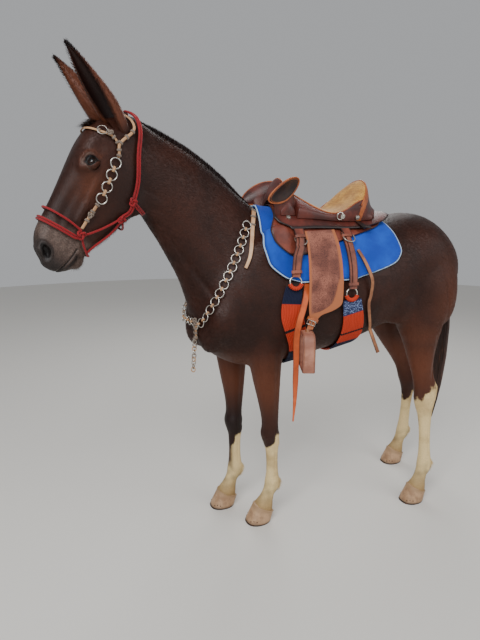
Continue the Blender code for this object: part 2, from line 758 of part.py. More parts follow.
def make_animal(solids, cutters):
    hide = whole_hide(cutters)
    surface = Surface(hide)
    nodes = flesh_nodes(hide, solids, cutters)
    for leg in STANCE:
        pair, side = leg.split("_")
        hoof_name, leg_name = f"hoof_{leg}", f"{pair}_leg_{side}"
        nodes[hoof_name] = hoof(hoof_name, leg, solids)
        below = coronet_region(f"{leg}_coronet", leg, GAP, cutters)
        nodes[leg_name] = boolean(nodes[leg_name], below, "DIFFERENCE", solids)
    for side, sign in SIDES.items():
        centre = eye_centre(surface, sign)
        nodes[f"eye_{side}"] = ball(f"eye_{side}", centre, EYE_RADIUS, solids)
        socket = ball(f"socket_{side}", centre, EYE_RADIUS + GAP, cutters)
        nodes["head"] = boolean(nodes["head"], socket, "DIFFERENCE", solids)
        ear = ear_mesh(f"ear_{side}", sign, solids)
        nodes[f"ear_{side}"] = clear_of(ear, [hide], solids, cutters)
    nodes["mane"] = clear_of(mane(surface, solids), [hide], solids, cutters)
    nodes["tail"] = clear_of(tail(solids), [hide], solids, cutters)
    return hide, surface, nodes


# Tack

# The rows of every draped sheet lie at the same angles from the spine, so that two sheets never cross
ROW_STEP = 11.5
# Each layer of the saddle: heights of its inner and outer side. The pad's are from the hide, which its inner
# side is then cut to fit, and the others are above the pad.
PAD_LAYER = (-0.0060, 0.0165)
SKIRT_LAYER = (0.0072, 0.0105)
FLAP_LAYER = (0.0230, 0.0265)
SEAT_INSIDE = 0.0300


def table(rows, value):
    """The second column of the rows, read at a value of the first."""
    if value <= rows[0][0]:
        return rows[0][1]
    for (a, fa), (b, fb) in zip(rows, rows[1:]):
        if value <= b:
            return fa + (fb - fa) * (value - a) / (b - a)
    return rows[-1][1]


def draped(name, surface, front, back, widest, layer, columns, where):
    """A sheet laid over the trunk. Its front and back Y are tables over the angle from the spine, and it
    reaches down to the widest angle on both sides. layer holds the heights of its two sides, and the outer
    one may be a function of Y and angle."""
    low, high = layer
    down = [step * ROW_STEP for step in range(int(widest / ROW_STEP) + 1)] + [widest]
    angles = [-degrees for degrees in down[:0:-1]] + down
    inner, outer = [], []
    for degrees in angles:
        y0, y1 = table(front, abs(degrees)), table(back, abs(degrees))
        for c in range(columns + 1):
            y = y0 + (y1 - y0) * c / columns
            point, way = surface.barrel(y, degrees)
            inner.append(point + way * low)
            outer.append(point + way * (high(y, degrees) if callable(high) else high))
    return slab(name, inner, outer, columns, len(angles) - 1, where)


def slab(name, inner, outer, columns, rows, where):
    """A closed sheet between two grids of points."""
    count = len(inner)
    wide = columns + 1
    faces = []
    for r in range(rows):
        for c in range(columns):
            a = r * wide + c
            faces.append((a, a + 1, a + wide + 1, a + wide))
            faces.append((count + a, count + a + wide, count + a + wide + 1, count + a + 1))
    rim = [c for c in range(wide)]
    rim += [r * wide + columns for r in range(1, rows + 1)]
    rim += [rows * wide + c for c in range(columns - 1, -1, -1)]
    rim += [r * wide for r in range(rows - 1, 0, -1)]
    for a, b in zip(rim, rim[1:] + rim[:1]):
        faces.append((a, b, count + b, count + a))
    made = mesh_object(name, inner + outer, faces, where)
    face_outwards(made)
    return made


def strap(name, path, widths, thickness, where):
    """A flat strap along a path of points with their outward directions."""
    count = len(path)
    inner, outer = [], []
    for k, (point, out) in enumerate(path):
        before, after = path[max(k - 1, 0)][0], path[min(k + 1, count - 1)][0]
        along = (after - before).normalized()
        out = (out - along * out.dot(along)).normalized()
        across = along.cross(out)
        width = table([(i / (len(widths) - 1), w) for i, w in enumerate(widths)], k / (count - 1))
        for sign in (-0.5, 0.5):
            inner.append(point + across * sign * width)
            outer.append(point + across * sign * width + out * thickness)
    return slab(name, inner, outer, 1, count - 1, where)


def smooth_path(points, spacing):
    """Points at about equal spacing on a smooth curve through the given ones."""
    rows = between([tuple(p) for p in points], 8)
    path = [Vector(rows[0])]
    for row in rows[1:]:
        if (Vector(row) - path[-1]).length >= spacing:
            path.append(Vector(row))
    if (Vector(rows[-1]) - path[-1]).length < spacing * 0.4:
        path[-1] = Vector(rows[-1])
    else:
        path.append(Vector(rows[-1]))
    return path


def side_path(surface, places, heights, sign, spacing=0.028):
    """A path on one side of the trunk through places given as Y and Z, at heights above the hide."""
    total = max(len(places) - 1, 1)
    flat = [(y, z, table([(i / total, h) for i, h in enumerate(heights)], i / total))
            for i, (y, z) in enumerate(places)]
    path = []
    for y, z, height in smooth_path(flat, spacing):
        point, normal = surface.flank_side(y, z, sign)
        path.append((point + normal * height, normal))
    return path


def girth_path(surface, centre_y, top_z, height, spacing=7):
    """A path under the belly from one side to the other. centre_y is a table of Y over the angle from the
    spine."""
    path = []
    first = 60
    while surface.barrel(table(centre_y, first), first)[0].z > top_z:
        first += 1
    degrees = first
    while degrees <= 360 - first:
        y = table(centre_y, degrees if degrees <= 180 else 360 - degrees)
        angle = math.radians(degrees)
        way = Vector((math.sin(angle), 0, math.cos(angle)))
        axis = Vector((0, y, BARREL_AXIS_Z))
        point, normal = surface.towards(axis + way, axis)
        path.append((point + normal * height, normal))
        degrees += spacing
    return path


def ring(name, centre, normal, radius, wire, where, segments=8, sides=3):
    """A round ring of wire that lies across the normal."""
    normal = Vector(normal).normalized()
    u = normal.orthogonal().normalized()
    v = normal.cross(u)
    points = []
    for k in range(segments):
        angle = math.tau * k / segments
        out = u * math.cos(angle) + v * math.sin(angle)
        for j in range(sides):
            turn = math.tau * j / sides
            points.append(centre + out * (radius + wire * math.cos(turn)) + normal * wire * math.sin(turn))
    faces = []
    for k in range(segments):
        for j in range(sides):
            a, b = k * sides + j, k * sides + (j + 1) % sides
            c, d = ((k + 1) % segments) * sides + (j + 1) % sides, ((k + 1) % segments) * sides + j
            faces.append((a, b, c, d))
    made = mesh_object(name, points, faces, where)
    face_outwards(made)
    return made


def chain(name, places, ring_radius, wire, where, segments=6):
    """A row of rings tied together by short thongs, as one body. A ring's wire has a flat outer face, and
    each thong joins the facing outer faces of two rings."""
    points, faces = [], []
    last = len(places) - 1
    half_turn = segments // 2
    section_of_wire = ((wire, wire), (wire, -wire), (-wire, 0.0))
    for i, (centre, normal) in enumerate(places):
        before, after = places[max(i - 1, 0)][0], places[min(i + 1, last)][0]
        along = (after - before).normalized()
        out = (normal - along * normal.dot(along)).normalized()
        across = along.cross(out)
        base = len(points)
        for k in range(segments):
            angle = math.tau * (k - 0.5) / segments
            way = along * math.cos(angle) + across * math.sin(angle)
            points += [centre + way * (ring_radius + reach) + out * rise for reach, rise in section_of_wire]
        for k in range(segments):
            a, b = base + 3 * k, base + 3 * ((k + 1) % segments)
            joined = (k == 0 and i < last) or (k == half_turn and i > 0)
            if not joined:
                faces.append((a, b, b + 1, a + 1))
            faces.append((a + 1, b + 1, b + 2, a + 2))
            faces.append((a + 2, b + 2, b, a))
        if i < last:
            near = (base, base + 1, base + 4, base + 3)
            other = base + 3 * segments + 3 * half_turn
            far = (other + 3, other + 4, other + 1, other)
            for j in range(4):
                m = (j + 1) % 4
                faces.append((near[j], near[m], far[m], far[j]))
    made = mesh_object(name, points, faces, where)
    face_outwards(made)
    return made


def rope(name, path, radius, where, sides=5):
    """A round rope along a path of points."""
    rings = []
    count = len(path)
    for k, (point, out) in enumerate(path):
        before, after = path[max(k - 1, 0)][0], path[min(k + 1, count - 1)][0]
        along = (after - before).normalized()
        out = (out - along * out.dot(along)).normalized()
        across = along.cross(out)
        rings.append([
            point + (out * math.cos(math.tau * j / sides) + across * math.sin(math.tau * j / sides)) * radius
            for j in range(sides)
        ])
    return loft(name, rings, where)


# The saddle pad: Y of its front and back over the angle from the spine
PAD_FRONT = ((0, -0.405), (15, -0.414), (43, -0.435), (60, -0.406), (68, -0.373), (77, -0.331), (81, -0.260))
PAD_BACK = ((0, 0.190), (27, 0.188), (44, 0.196), (56, 0.204), (66, 0.172), (72, 0.095), (81, -0.060))
SKIRT_FRONT = ((0, -0.345), (15, -0.352), (36, -0.410), (44, -0.396), (50, -0.350), (53, -0.300))
SKIRT_BACK = ((0, 0.175), (20, 0.170), (28, 0.130), (38, -0.020), (46, -0.130), (53, -0.215))
FLAP_FRONT = ((0, -0.330), (10, -0.340), (20, -0.362), (25, -0.345), (29, -0.300))
FLAP_BACK = ((0, 0.200), (12, 0.212), (20, 0.207), (26, 0.165), (29, 0.080))
SEAT_WIDEST = 22.8
POMMEL_WIDEST = 20


def seat_height(y, degrees):
    """The seat rises to the pommel in front and to a dished cantle behind."""
    bend = abs(degrees) / SEAT_WIDEST
    cantle_y = 0.128 - 0.090 * bend * bend
    rise = 0.152 * max(0.0, 1 - 0.62 * bend * bend)
    slope = 0.095 if y < cantle_y else 0.030
    cantle = rise * math.exp(-(((y - cantle_y) / slope) ** 2))
    front = 0.036 * math.exp(-(((y + 0.270) / 0.070) ** 2)) * max(0.0, 1 - 0.5 * bend)
    return 0.047 + cantle + front


def pommel_height(y, degrees):
    """The pommel is a low arch over the withers."""
    bend = abs(degrees) / POMMEL_WIDEST
    rise = 0.082 * max(0.0, 1 - 0.75 * bend * bend)
    return 0.041 + rise * math.exp(-(((y + 0.300) / 0.030) ** 2))


def make_saddle(hide, surface, solids, cutters):
    """Pad, skirt, flaps, seat and pommel, each above the one before. The upper layers reach past the pad
    behind, so their heights are read from a longer copy of it."""
    pad = draped("saddle_pad", surface, PAD_FRONT, PAD_BACK, 81, PAD_LAYER, 8, solids)
    nodes = {"saddle_pad": clear_of(pad, [hide], solids, cutters)}
    long_back = [(degrees, y + 0.040) for degrees, y in PAD_BACK]
    on_pad = Surface(draped("long_pad", surface, PAD_FRONT, long_back, 81, PAD_LAYER, 8, cutters))
    for name, front, back, widest, layer, columns in (
        ("saddle_skirt", SKIRT_FRONT, SKIRT_BACK, 53, SKIRT_LAYER, 8),
        ("saddle_flaps", FLAP_FRONT, FLAP_BACK, 29, FLAP_LAYER, 8),
        ("saddle_seat", ((0, -0.262), (SEAT_WIDEST, -0.262)), ((0, 0.172), (12, 0.160), (SEAT_WIDEST, 0.110)),
         SEAT_WIDEST, (SEAT_INSIDE, seat_height), 10),
        ("pommel", ((0, -0.338), (POMMEL_WIDEST, -0.332)), ((0, -0.264), (POMMEL_WIDEST, -0.264)),
         POMMEL_WIDEST, (SEAT_INSIDE, pommel_height), 4),
    ):
        nodes[name] = draped(name, on_pad, front, back, widest, layer, columns, solids)
    nodes["saddle_skirt"] = clear_of(nodes["saddle_skirt"], [hide], solids, cutters)
    return nodes


def make_wings(solids):
    """The two flared knee wings beside the pommel."""
    nodes = {}
    for side, sign in SIDES.items():
        name = f"knee_wing_{side}"
        nodes[name] = bulge(name, (0.128 * sign, -0.328, 1.520), (0.014, 0.080, 0.042), solids, 28, 8 * sign,
                            24 * sign, 9)
    return nodes


# The fender: Y, Z, height above the hide and width at each station, then X, Y, Z and width of its narrow end
FENDER = ((-0.158, 1.335, 0.0315, 0.128), (-0.160, 1.290, 0.0310, 0.130), (-0.163, 1.230, 0.0285, 0.134),
          (-0.166, 1.175, 0.0235, 0.138), (-0.167, 1.148, 0.0230, 0.139), (-0.170, 1.090, 0.0185, 0.144),
          (-0.174, 1.050, 0.0175, 0.138), (-0.190, 1.022, 0.0175, 0.090), (-0.208, 1.008, 0.0180, 0.036),
          (-0.216, 0.992, 0.0190, 0.030))
FENDER_END = ((0.248, -0.238, 0.974, 0.030), (0.274, -0.268, 0.9555, 0.030))
STIRRUP_TOP = (0.290, -0.288, 0.948)
STIRRUP_HEIGHT = 0.155
STIRRUP_TURN = math.radians(-21)


def stirrup(name, sign, where):
    """A leather-covered loop that hangs open to the front: a flat tread, straight sides and a round top."""
    along = Vector((math.cos(STIRRUP_TURN) * sign, math.sin(STIRRUP_TURN), 0))
    forward = Vector((-math.sin(STIRRUP_TURN) * sign, math.cos(STIRRUP_TURN), 0))
    top = Vector((STIRRUP_TOP[0] * sign, STIRRUP_TOP[1], STIRRUP_TOP[2]))
    half, wall, depth = 0.068, 0.011, 0.056
    outline = [(-1.0, -1.0), (-1.0, -0.55), (-0.95, -0.25), (-0.72, -0.04), (-0.3, 0.0),
               (0.3, 0.0), (0.72, -0.04), (0.95, -0.25), (1.0, -0.55), (1.0, -1.0)]
    outer = [(x * half, z * STIRRUP_HEIGHT) for x, z in outline]
    inner = [(x * (half - wall), -wall + z * (STIRRUP_HEIGHT - 2 * wall)) for x, z in outline]
    points = []
    for offset in (-depth / 2, depth / 2):
        for loop in (outer, inner):
            points += [top + along * x + Vector((0, 0, z)) + forward * offset for x, z in loop]
    n = len(outline)
    faces = []
    for k in range(n):
        j = (k + 1) % n
        faces.append((k, j, n + j, n + k))
        faces.append((2 * n + k, 3 * n + k, 3 * n + j, 2 * n + j))
        faces.append((k, 2 * n + k, 2 * n + j, j))
        faces.append((n + k, n + j, 3 * n + j, 3 * n + k))
    made = mesh_object(name, points, faces, where)
    face_outwards(made)
    return made


def make_fenders(surface, solids):
    nodes = {}
    for side, sign in SIDES.items():
        path, widths = [], []
        for y, z, height, width in between(FENDER, 2):
            point, normal = surface.flank_side(y, z, sign)
            path.append((point + normal * height, normal))
            widths.append(width)
        for x, y, z, width in FENDER_END:
            path.append((Vector((x * sign, y, z)), Vector((sign, -0.4, 0.9)).normalized()))
            widths.append(width)
        nodes[f"fender_{side}"] = strap(f"fender_{side}", path, widths, 0.004, solids)
        nodes[f"stirrup_{side}"] = stirrup(f"stirrup_{side}", sign, solids)
    return nodes


FRONT_GIRTH_Y = ((70, -0.300), (85, -0.308), (100, -0.322), (115, -0.325), (128, -0.305), (145, -0.268),
                 (180, -0.245))
REAR_GIRTH_Y = ((70, -0.055), (95, -0.058), (105, -0.058), (120, -0.040), (140, -0.020), (180, -0.015))
CINCH_HEIGHT = 0.0068
CINCH_THICKNESS = 0.0080
FRONT_BILLET = ((-0.283, 1.318), (-0.285, 1.290), (-0.288, 1.240), (-0.293, 1.192))
REAR_BILLET = ((-0.050, 1.325), (-0.048, 1.290), (-0.044, 1.220), (-0.050, 1.142))


def make_girths(surface, solids):
    """Two girths, and on each side the billet straps and rings that they hang from."""
    nodes = {}
    for name, centre_y, top_z, widths in (
        ("front_cinch", FRONT_GIRTH_Y, 1.130, (0.070, 0.095, 0.080, 0.070, 0.080, 0.095, 0.070)),
        ("rear_cinch", REAR_GIRTH_Y, 1.075, (0.085, 0.115, 0.110, 0.115, 0.085)),
    ):
        path = girth_path(surface, centre_y, top_z, CINCH_HEIGHT)
        nodes[name] = strap(name, path, widths, CINCH_THICKNESS, solids)
    for side, sign in SIDES.items():
        for which, billet, heights, (ring_y, ring_z), lift in (
            ("front", FRONT_BILLET, (0.0440, 0.0440, 0.0370, 0.0250), (-0.297, 1.160), 0.0215),
            ("rear", REAR_BILLET, (0.0310, 0.0280, 0.0235, 0.0215), (-0.056, 1.107), 0.0150),
        ):
            name = f"{which}_billet_{side}"
            path = side_path(surface, billet, heights, sign, 0.030)
            nodes[name] = strap(name, path, (0.040, 0.038), 0.0045, solids)
            point, normal = surface.flank_side(ring_y, ring_z, sign)
            name = f"{which}_cinch_ring_{side}"
            nodes[name] = ring(name, point + normal * lift, normal, 0.0245, 0.0032, solids)
    return nodes


LATIGO = ((0.231, -0.268, 1.118), (0.237, -0.284, 1.060), (0.239, -0.303, 1.000), (0.238, -0.322, 0.930),
          (0.240, -0.326, 0.850), (0.245, -0.332, 0.760), (0.256, -0.343, 0.660), (0.262, -0.353, 0.575))
REAR_TIE = ((-0.018, 1.265), (0.005, 1.215), (0.028, 1.150), (0.034, 1.094), (0.026, 1.050), (0.045, 0.990),
            (0.080, 0.930))


def make_loose_straps(stack, solids):
    """The free end of the latigo and the saddle string, both on the left side only."""
    path = [(point, Vector((1, -0.25, 0))) for point in smooth_path(LATIGO, 0.050)]
    latigo = strap("latigo_end", path, (0.026, 0.026, 0.026, 0.022, 0.008), 0.0035, solids)
    path = side_path(stack, REAR_TIE, (0.006, 0.006, 0.007), 1, 0.034)
    string = strap("saddle_string", path, (0.016, 0.018, 0.016), 0.0030, solids)
    return {"latigo_end": latigo, "saddle_string": string}


# The breast chain: degrees round the breast from straight ahead, and Z, from the shoulder to the middle
BREAST_AXIS_Y = -0.40
BREAST_CHAIN = ((49, 1.377), (47, 1.307), (43.4, 1.233), (38.6, 1.161), (33, 1.086), (29.5, 1.040), (24, 1.002),
                (18, 0.982))
BREAST_RING_COUNT = 13
BREAST_RING_RADIUS = 0.0170
BREAST_WIRE = 0.0026
BREAST_TIE = ((60, 1.437), (63, 1.402), (64, 1.355), (66, 1.310), (64, 1.260), (59, 1.214))
BREAST_CENTRE_X = 0.055


def breast_places(surface, stations, count, sign, height):
    """Equally spaced places on the breast along a path of angles and heights."""
    points = []
    for degrees, z in between(stations, 12):
        angle = math.radians(degrees)
        way = Vector((math.sin(angle) * sign, -math.cos(angle), 0))
        axis = Vector((0, BREAST_AXIS_Y, z))
        points.append(surface.towards(axis + way, axis))
    lengths = [0.0]
    for (a, _), (b, _) in zip(points, points[1:]):
        lengths.append(lengths[-1] + (b - a).length)
    places = []
    for k in range(count):
        wanted = lengths[-1] * k / (count - 1)
        i = min(range(len(lengths)), key=lambda n: abs(lengths[n] - wanted))
        point, normal = points[i]
        places.append((point + normal * height, normal))
    return places


def make_breastplate(surface, solids):
    nodes = {}
    for side, sign in SIDES.items():
        places = breast_places(surface, BREAST_CHAIN, BREAST_RING_COUNT, sign, 0.0105)
        name = f"breast_chain_{side}"
        nodes[name] = chain(name, places, BREAST_RING_RADIUS, BREAST_WIRE, solids)
        path = breast_places(surface, BREAST_TIE, 9, sign, 0.0050)
        name = f"breast_tie_{side}"
        nodes[name] = strap(name, path, (0.020, 0.017, 0.015, 0.013), 0.0035, solids)
    path = []
    for z in (0.992, 0.968, 0.944, 0.920):
        point, normal = surface.towards((BREAST_CENTRE_X, -1.5, z), (BREAST_CENTRE_X, 0, z))
        path.append((point + normal * 0.004, normal))
    nodes["breast_centre"] = strap("breast_centre", path, (0.022, 0.018, 0.012), 0.006, solids)
    low = path[-1][0] + Vector((0, -0.010, -0.012))
    hanging = [(low + Vector((0, -0.002 * k, -0.030 * k)), Vector((0, -1, 0))) for k in range(5)]
    nodes["breast_pendant"] = rope("breast_pendant", hanging, 0.0055, solids, 4)
    return nodes


# Tack on the head: places are distances from the poll and degrees from the face line
HALTER_CROWN = ((0.262, 143), (0.200, 134), (0.110, 112), (0.040, 100), (0.006, 76), (-0.004, 35), (-0.006, 0))
HALTER_CHEEK = ((0.458, 82), (0.440, 105), (0.411, 128), (0.375, 142), (0.343, 148), (0.310, 149), (0.284, 146))
HALTER_NOSE_UPPER = ((0.444, 64), (0.436, 40), (0.430, 18), (0.429, 0))
HALTER_NOSE_LOWER = ((0.476, 64), (0.474, 40), (0.471, 18), (0.470, 0))
HALTER_CHIN = ((0.482, 96), (0.500, 118), (0.512, 145), (0.512, 180))
HALTER_THROAT = ((0.352, 158), (0.362, 168), (0.366, 180))
BRIDLE_CROWN = ((0.166, 77), (0.150, 74), (0.128, 68), (0.100, 71), (0.066, 80), (0.040, 80), (0.022, 62),
                (0.015, 30), (0.014, 0))
BROWBAND = ((0.112, 58), (0.113, 48), (0.120, 35), (0.124, 18), (0.124, 0))
BRIDLE_RINGS = ((0.188, 77), (0.229, 80), (0.272, 83), (0.316, 84))
BRIDLE_STRAP = ((0.340, 82), (0.362, 79), (0.384, 76), (0.405, 71), (0.422, 66))


def head_path(surface, stations, height, spacing, sign=0):
    """A path on the head. With no sign it goes from the left over the middle to the right."""
    rows = [(down * 100, degrees) for down, degrees in stations]
    if sign == 0:
        rows += [(down, -degrees if rows[-1][1] == 0 else 360 - degrees) for down, degrees in rows[-2::-1]]
    points = []
    for down, degrees in between(rows, 10):
        points.append(surface.face(down / 100, degrees * (sign or 1)))
    path = [points[0]]
    for point, normal in points[1:]:
        if (point - path[-1][0]).length >= spacing:
            path.append((point, normal))
    if (points[-1][0] - path[-1][0]).length < spacing * 0.5:
        path.pop()
    path.append(points[-1])
    return [(point + normal * height, normal) for point, normal in path]


def make_halter(surface, solids):
    """A knotted rope halter: doubled rope over the poll and along the cheeks, single round nose and jaw."""
    nodes = {}
    crown = head_path(surface, HALTER_CROWN, 0.0115, 0.030)
    nodes["halter_crown"] = rope("halter_crown", crown, 0.0060, solids, 4)
    for side, sign in SIDES.items():
        path = head_path(surface, HALTER_CHEEK, 0.0095, 0.030, sign)
        name = f"halter_cheek_{side}"
        nodes[name] = rope(name, path, 0.0065, solids, 4)
    for name, stations in (
        ("halter_nose_upper", HALTER_NOSE_UPPER), ("halter_nose_lower", HALTER_NOSE_LOWER),
        ("halter_chin", HALTER_CHIN), ("halter_throat", HALTER_THROAT),
    ):
        nodes[name] = rope(name, head_path(surface, stations, 0.0105, 0.024), 0.0045, solids, 4)
    return nodes


def make_bridle(surface, solids):
    """A rawhide headstall with a chain of rings on each cheek."""
    nodes = {}
    path = head_path(surface, BRIDLE_CROWN, 0.0045, 0.022)
    nodes["bridle_crown"] = strap("bridle_crown", path, (0.013, 0.013), 0.0030, solids)
    path = head_path(surface, BROWBAND, 0.0045, 0.020)
    nodes["bridle_browband"] = strap("bridle_browband", path, (0.012, 0.012), 0.0030, solids)
    for side, sign in SIDES.items():
        places = []
        for down, degrees in BRIDLE_RINGS:
            point, normal = surface.face(down, degrees * sign)
            places.append((point + normal * 0.0055, normal))
        name = f"bridle_chain_{side}"
        nodes[name] = chain(name, places, 0.0175, 0.0026, solids)
        path = head_path(surface, BRIDLE_STRAP, 0.0016, 0.022, sign)
        name = f"bridle_strap_{side}"
        nodes[name] = strap(name, path, (0.010, 0.013, 0.011), 0.0030, solids)
    return nodes


# Finishes: colour as linear light, roughness, metallic
FINISHES = {
    "short_coat": ((0.075, 0.040, 0.028), 0.55, 0.0),
    "long_hair": ((0.040, 0.020, 0.014), 0.55, 0.0),
    "hoof_horn": ((0.420, 0.300, 0.200), 0.45, 0.0),
    "eye": ((0.020, 0.012, 0.010), 0.08, 0.0),
    "mahogany_leather": ((0.110, 0.030, 0.020), 0.45, 0.0),
    "rough_out_leather": ((0.250, 0.090, 0.055), 0.80, 0.0),
    "seat_suede": ((0.480, 0.260, 0.080), 0.85, 0.0),
    "latigo_leather": ((0.500, 0.130, 0.040), 0.60, 0.0),
    "felt_pad": ((0.015, 0.110, 0.480), 0.90, 0.0),
    "cinch_wool": ((0.500, 0.070, 0.030), 0.95, 0.0),
    "nickel": ((0.700, 0.680, 0.640), 0.28, 1.0),
    "rawhide": ((0.620, 0.400, 0.230), 0.70, 0.0),
    "halter_rope": ((0.420, 0.015, 0.020), 0.75, 0.0),
}
# The first words of a node's name, and its finish. The first that fits is taken.
FINISH_OF = (
    ("hoof", "hoof_horn"), ("eye", "eye"), ("mane", "long_hair"), ("tail", "long_hair"),
    ("saddle_pad", "felt_pad"), ("saddle_seat", "seat_suede"), ("saddle_string", "rough_out_leather"),
    ("saddle", "mahogany_leather"), ("pommel", "mahogany_leather"), ("knee_wing", "mahogany_leather"),
    ("fender", "rough_out_leather"), ("stirrup", "rough_out_leather"), ("latigo", "latigo_leather"),
    ("front_cinch_ring", "nickel"), ("rear_cinch_ring", "nickel"), ("front_cinch", "cinch_wool"),
    ("rear_cinch", "cinch_wool"), ("front_billet", "rough_out_leather"),
    ("rear_billet", "rough_out_leather"), ("breast_chain", "nickel"), ("bridle_chain", "nickel"),
    ("breast", "rawhide"), ("bridle", "rawhide"), ("halter", "halter_rope"), ("", "short_coat"),
)


def finish_nodes(nodes):
    made = {name: material(name, *values) for name, values in FINISHES.items()}
    for name, obj in nodes.items():
        finish = next(finish for start, finish in FINISH_OF if name.startswith(start))
        obj.data.materials.clear()
        obj.data.materials.append(made[finish])


def stand_on_origin(objects):
    """Moves every mesh so that the middle of the whole footprint is the origin."""
    lows, highs = [], []
    for obj in objects:
        for axis in range(2):
            values = [v.co[axis] for v in obj.data.vertices]
            lows.append((axis, min(values)))
            highs.append((axis, max(values)))
    shift = Vector((0, 0, 0))
    for axis in range(2):
        low = min(value for at, value in lows if at == axis)
        high = max(value for at, value in highs if at == axis)
        shift[axis] = -(low + high) / 2
    for obj in objects:
        for vertex in obj.data.vertices:
            vertex.co += shift
    return shift


def main():
    clear_scene()
    solids = collection("saddle_mule")
    cutters = collection("cutters")
    hide, surface, nodes = make_animal(solids, cutters)
    nodes.update(make_saddle(hide, surface, solids, cutters))
    stack = Surface(hide, nodes["saddle_pad"])
    nodes.update(make_girths(surface, solids))
    nodes.update(make_wings(solids))
    nodes.update(make_fenders(surface, solids))
    nodes.update(make_loose_straps(stack, solids))
    nodes.update(make_breastplate(surface, solids))
    nodes.update(make_halter(surface, solids))
    nodes.update(make_bridle(surface, solids))
    for cutter in list(cutters.objects):
        bpy.data.objects.remove(cutter, do_unlink=True)
    finish_nodes(nodes)
    shift = stand_on_origin(list(nodes.values()))
    total = sum(len(p.vertices) - 2 for obj in nodes.values() for p in obj.data.polygons)
    print(f"{len(nodes)} nodes, {total} triangles, moved by {shift.x:.4f}, {shift.y:.4f}")


main()
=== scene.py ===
# %% [markdown]
# # A saddle mule, standing
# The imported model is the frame: every piece here is laid on it and rides with it. The mule faces -Y, its
# left side is +X and the floor is Z = 0. Sizes are in metres.

# %% Load the frame
import math

import bmesh
import bpy
import numpy as np
from mathutils import Matrix, Vector
from mathutils.bvhtree import BVHTree


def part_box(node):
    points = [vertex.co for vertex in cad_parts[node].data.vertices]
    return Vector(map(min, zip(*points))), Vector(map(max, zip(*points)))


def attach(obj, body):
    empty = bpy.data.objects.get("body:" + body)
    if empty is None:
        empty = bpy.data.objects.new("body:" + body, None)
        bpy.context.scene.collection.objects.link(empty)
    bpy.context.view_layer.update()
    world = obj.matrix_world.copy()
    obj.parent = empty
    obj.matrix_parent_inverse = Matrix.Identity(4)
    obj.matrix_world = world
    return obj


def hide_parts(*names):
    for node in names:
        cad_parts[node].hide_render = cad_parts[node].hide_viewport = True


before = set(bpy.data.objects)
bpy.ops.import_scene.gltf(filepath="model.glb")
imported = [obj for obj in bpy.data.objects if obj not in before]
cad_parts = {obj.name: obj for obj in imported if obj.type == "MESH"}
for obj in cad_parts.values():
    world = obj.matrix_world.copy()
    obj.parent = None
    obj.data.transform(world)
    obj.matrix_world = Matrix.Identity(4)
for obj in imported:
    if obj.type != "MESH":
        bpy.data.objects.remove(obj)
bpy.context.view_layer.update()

# %% [markdown]
# The solids were drawn in the animal's own frame and then centred over their footprint. Everything below is
# drawn in that same frame, so the distance between the two is read off one hoof and put on each piece's
# object.

# %% The animal's own frame
SOLE_MIDDLE_Y = -0.4055
sole_low, sole_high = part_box("hoof_fore_left")
AHEAD = (sole_low.y + sole_high.y) / 2 - SOLE_MIDDLE_Y
SIDES = {"left": 1, "right": -1}
rng = np.random.default_rng(7)
print("own frame lies", round(AHEAD, 4), "m along Y")

# %% [markdown]
# The camera stood near the mule's left shoulder and looked down a little. Its focal length is about 480
# pixels for a picture 640 pixels high, which is 27 mm where the picture's long side measures 36 mm.

# %% Camera
CAMERA_PLACE = Vector((1.937, AHEAD - 1.212, 1.420))
CAMERA_HEADING = Vector((-0.934, 0.358, 0.0)).normalized()
CAMERA_PITCH = math.radians(12.3)


def new_object(name, data):
    """Links a bmesh, mesh, camera or lamp to the scene as an object."""
    if isinstance(data, bmesh.types.BMesh):
        mesh = bpy.data.meshes.new(name)
        data.to_mesh(mesh)
        data.free()
        data = mesh
    made = bpy.data.objects.new(name, data)
    bpy.context.scene.collection.objects.link(made)
    return made


camera_data = bpy.data.cameras.new("camera")
camera_data.lens = 27.0
camera_data.sensor_width = 36.0
camera = new_object("camera", camera_data)
camera.location = CAMERA_PLACE
looking = CAMERA_HEADING * math.cos(CAMERA_PITCH) - Vector((0, 0, math.sin(CAMERA_PITCH)))
camera.rotation_euler = looking.to_track_quat("-Z", "Y").to_euler()
bpy.context.scene.camera = camera
print("camera at", [round(v, 3) for v in camera.location])

# %% [markdown]
# Colours are written as sRGB hex, as a colour picker shows them, and one function turns them to the linear
# values that Blender's sockets hold. One more function adds any shader node with its settings and its
# links, and a table says which inputs its plain values fill and which output is used.

# %% Colour and node helpers
# Kind of node: the inputs that plain values fill in turn, its usual settings, the output that is used
KINDS = {
    "Attribute": ((), {}, "Fac"),
    "Bump": (("Height",), {}, "Normal"),
    "CombineColor": (("Red", "Green", "Blue"), {}, "Color"),
    "MapRange": (("Value", "From Min", "From Max"), {"interpolation_type": "SMOOTHSTEP"}, "Result"),
    "Mapping": (("Vector",), {}, "Vector"),
    "Math": ((0, 1, 2), {}, 0),
    "Mix": ((0, 6, 7), {"data_type": "RGBA"}, 2),
    "SeparateXYZ": (("Vector",), {}, "Z"),
    "TexCoord": ((), {}, "Object"),
    "TexNoise": (("Vector",), {}, "Fac"),
    "TexVoronoi": (("Vector",), {}, "Distance"),
    "TexWave": (("Vector",), {}, "Fac"),
    "UVMap": ((), {"uv_map": "lay"}, "UV"),
    "ValToRGB": (("Fac",), {}, "Color"),
    "VectorMath": ((0, 1), {}, "Vector"),
}


def linear(code):
    """The linear RGBA of an sRGB hex colour such as "#A0522D"."""
    values = [int(code[i:i + 2], 16) / 255 for i in (1, 3, 5)]
    return (*[v / 12.92 if v <= 0.04045 else ((v + 0.055) / 1.055) ** 2.4 for v in values], 1.0)


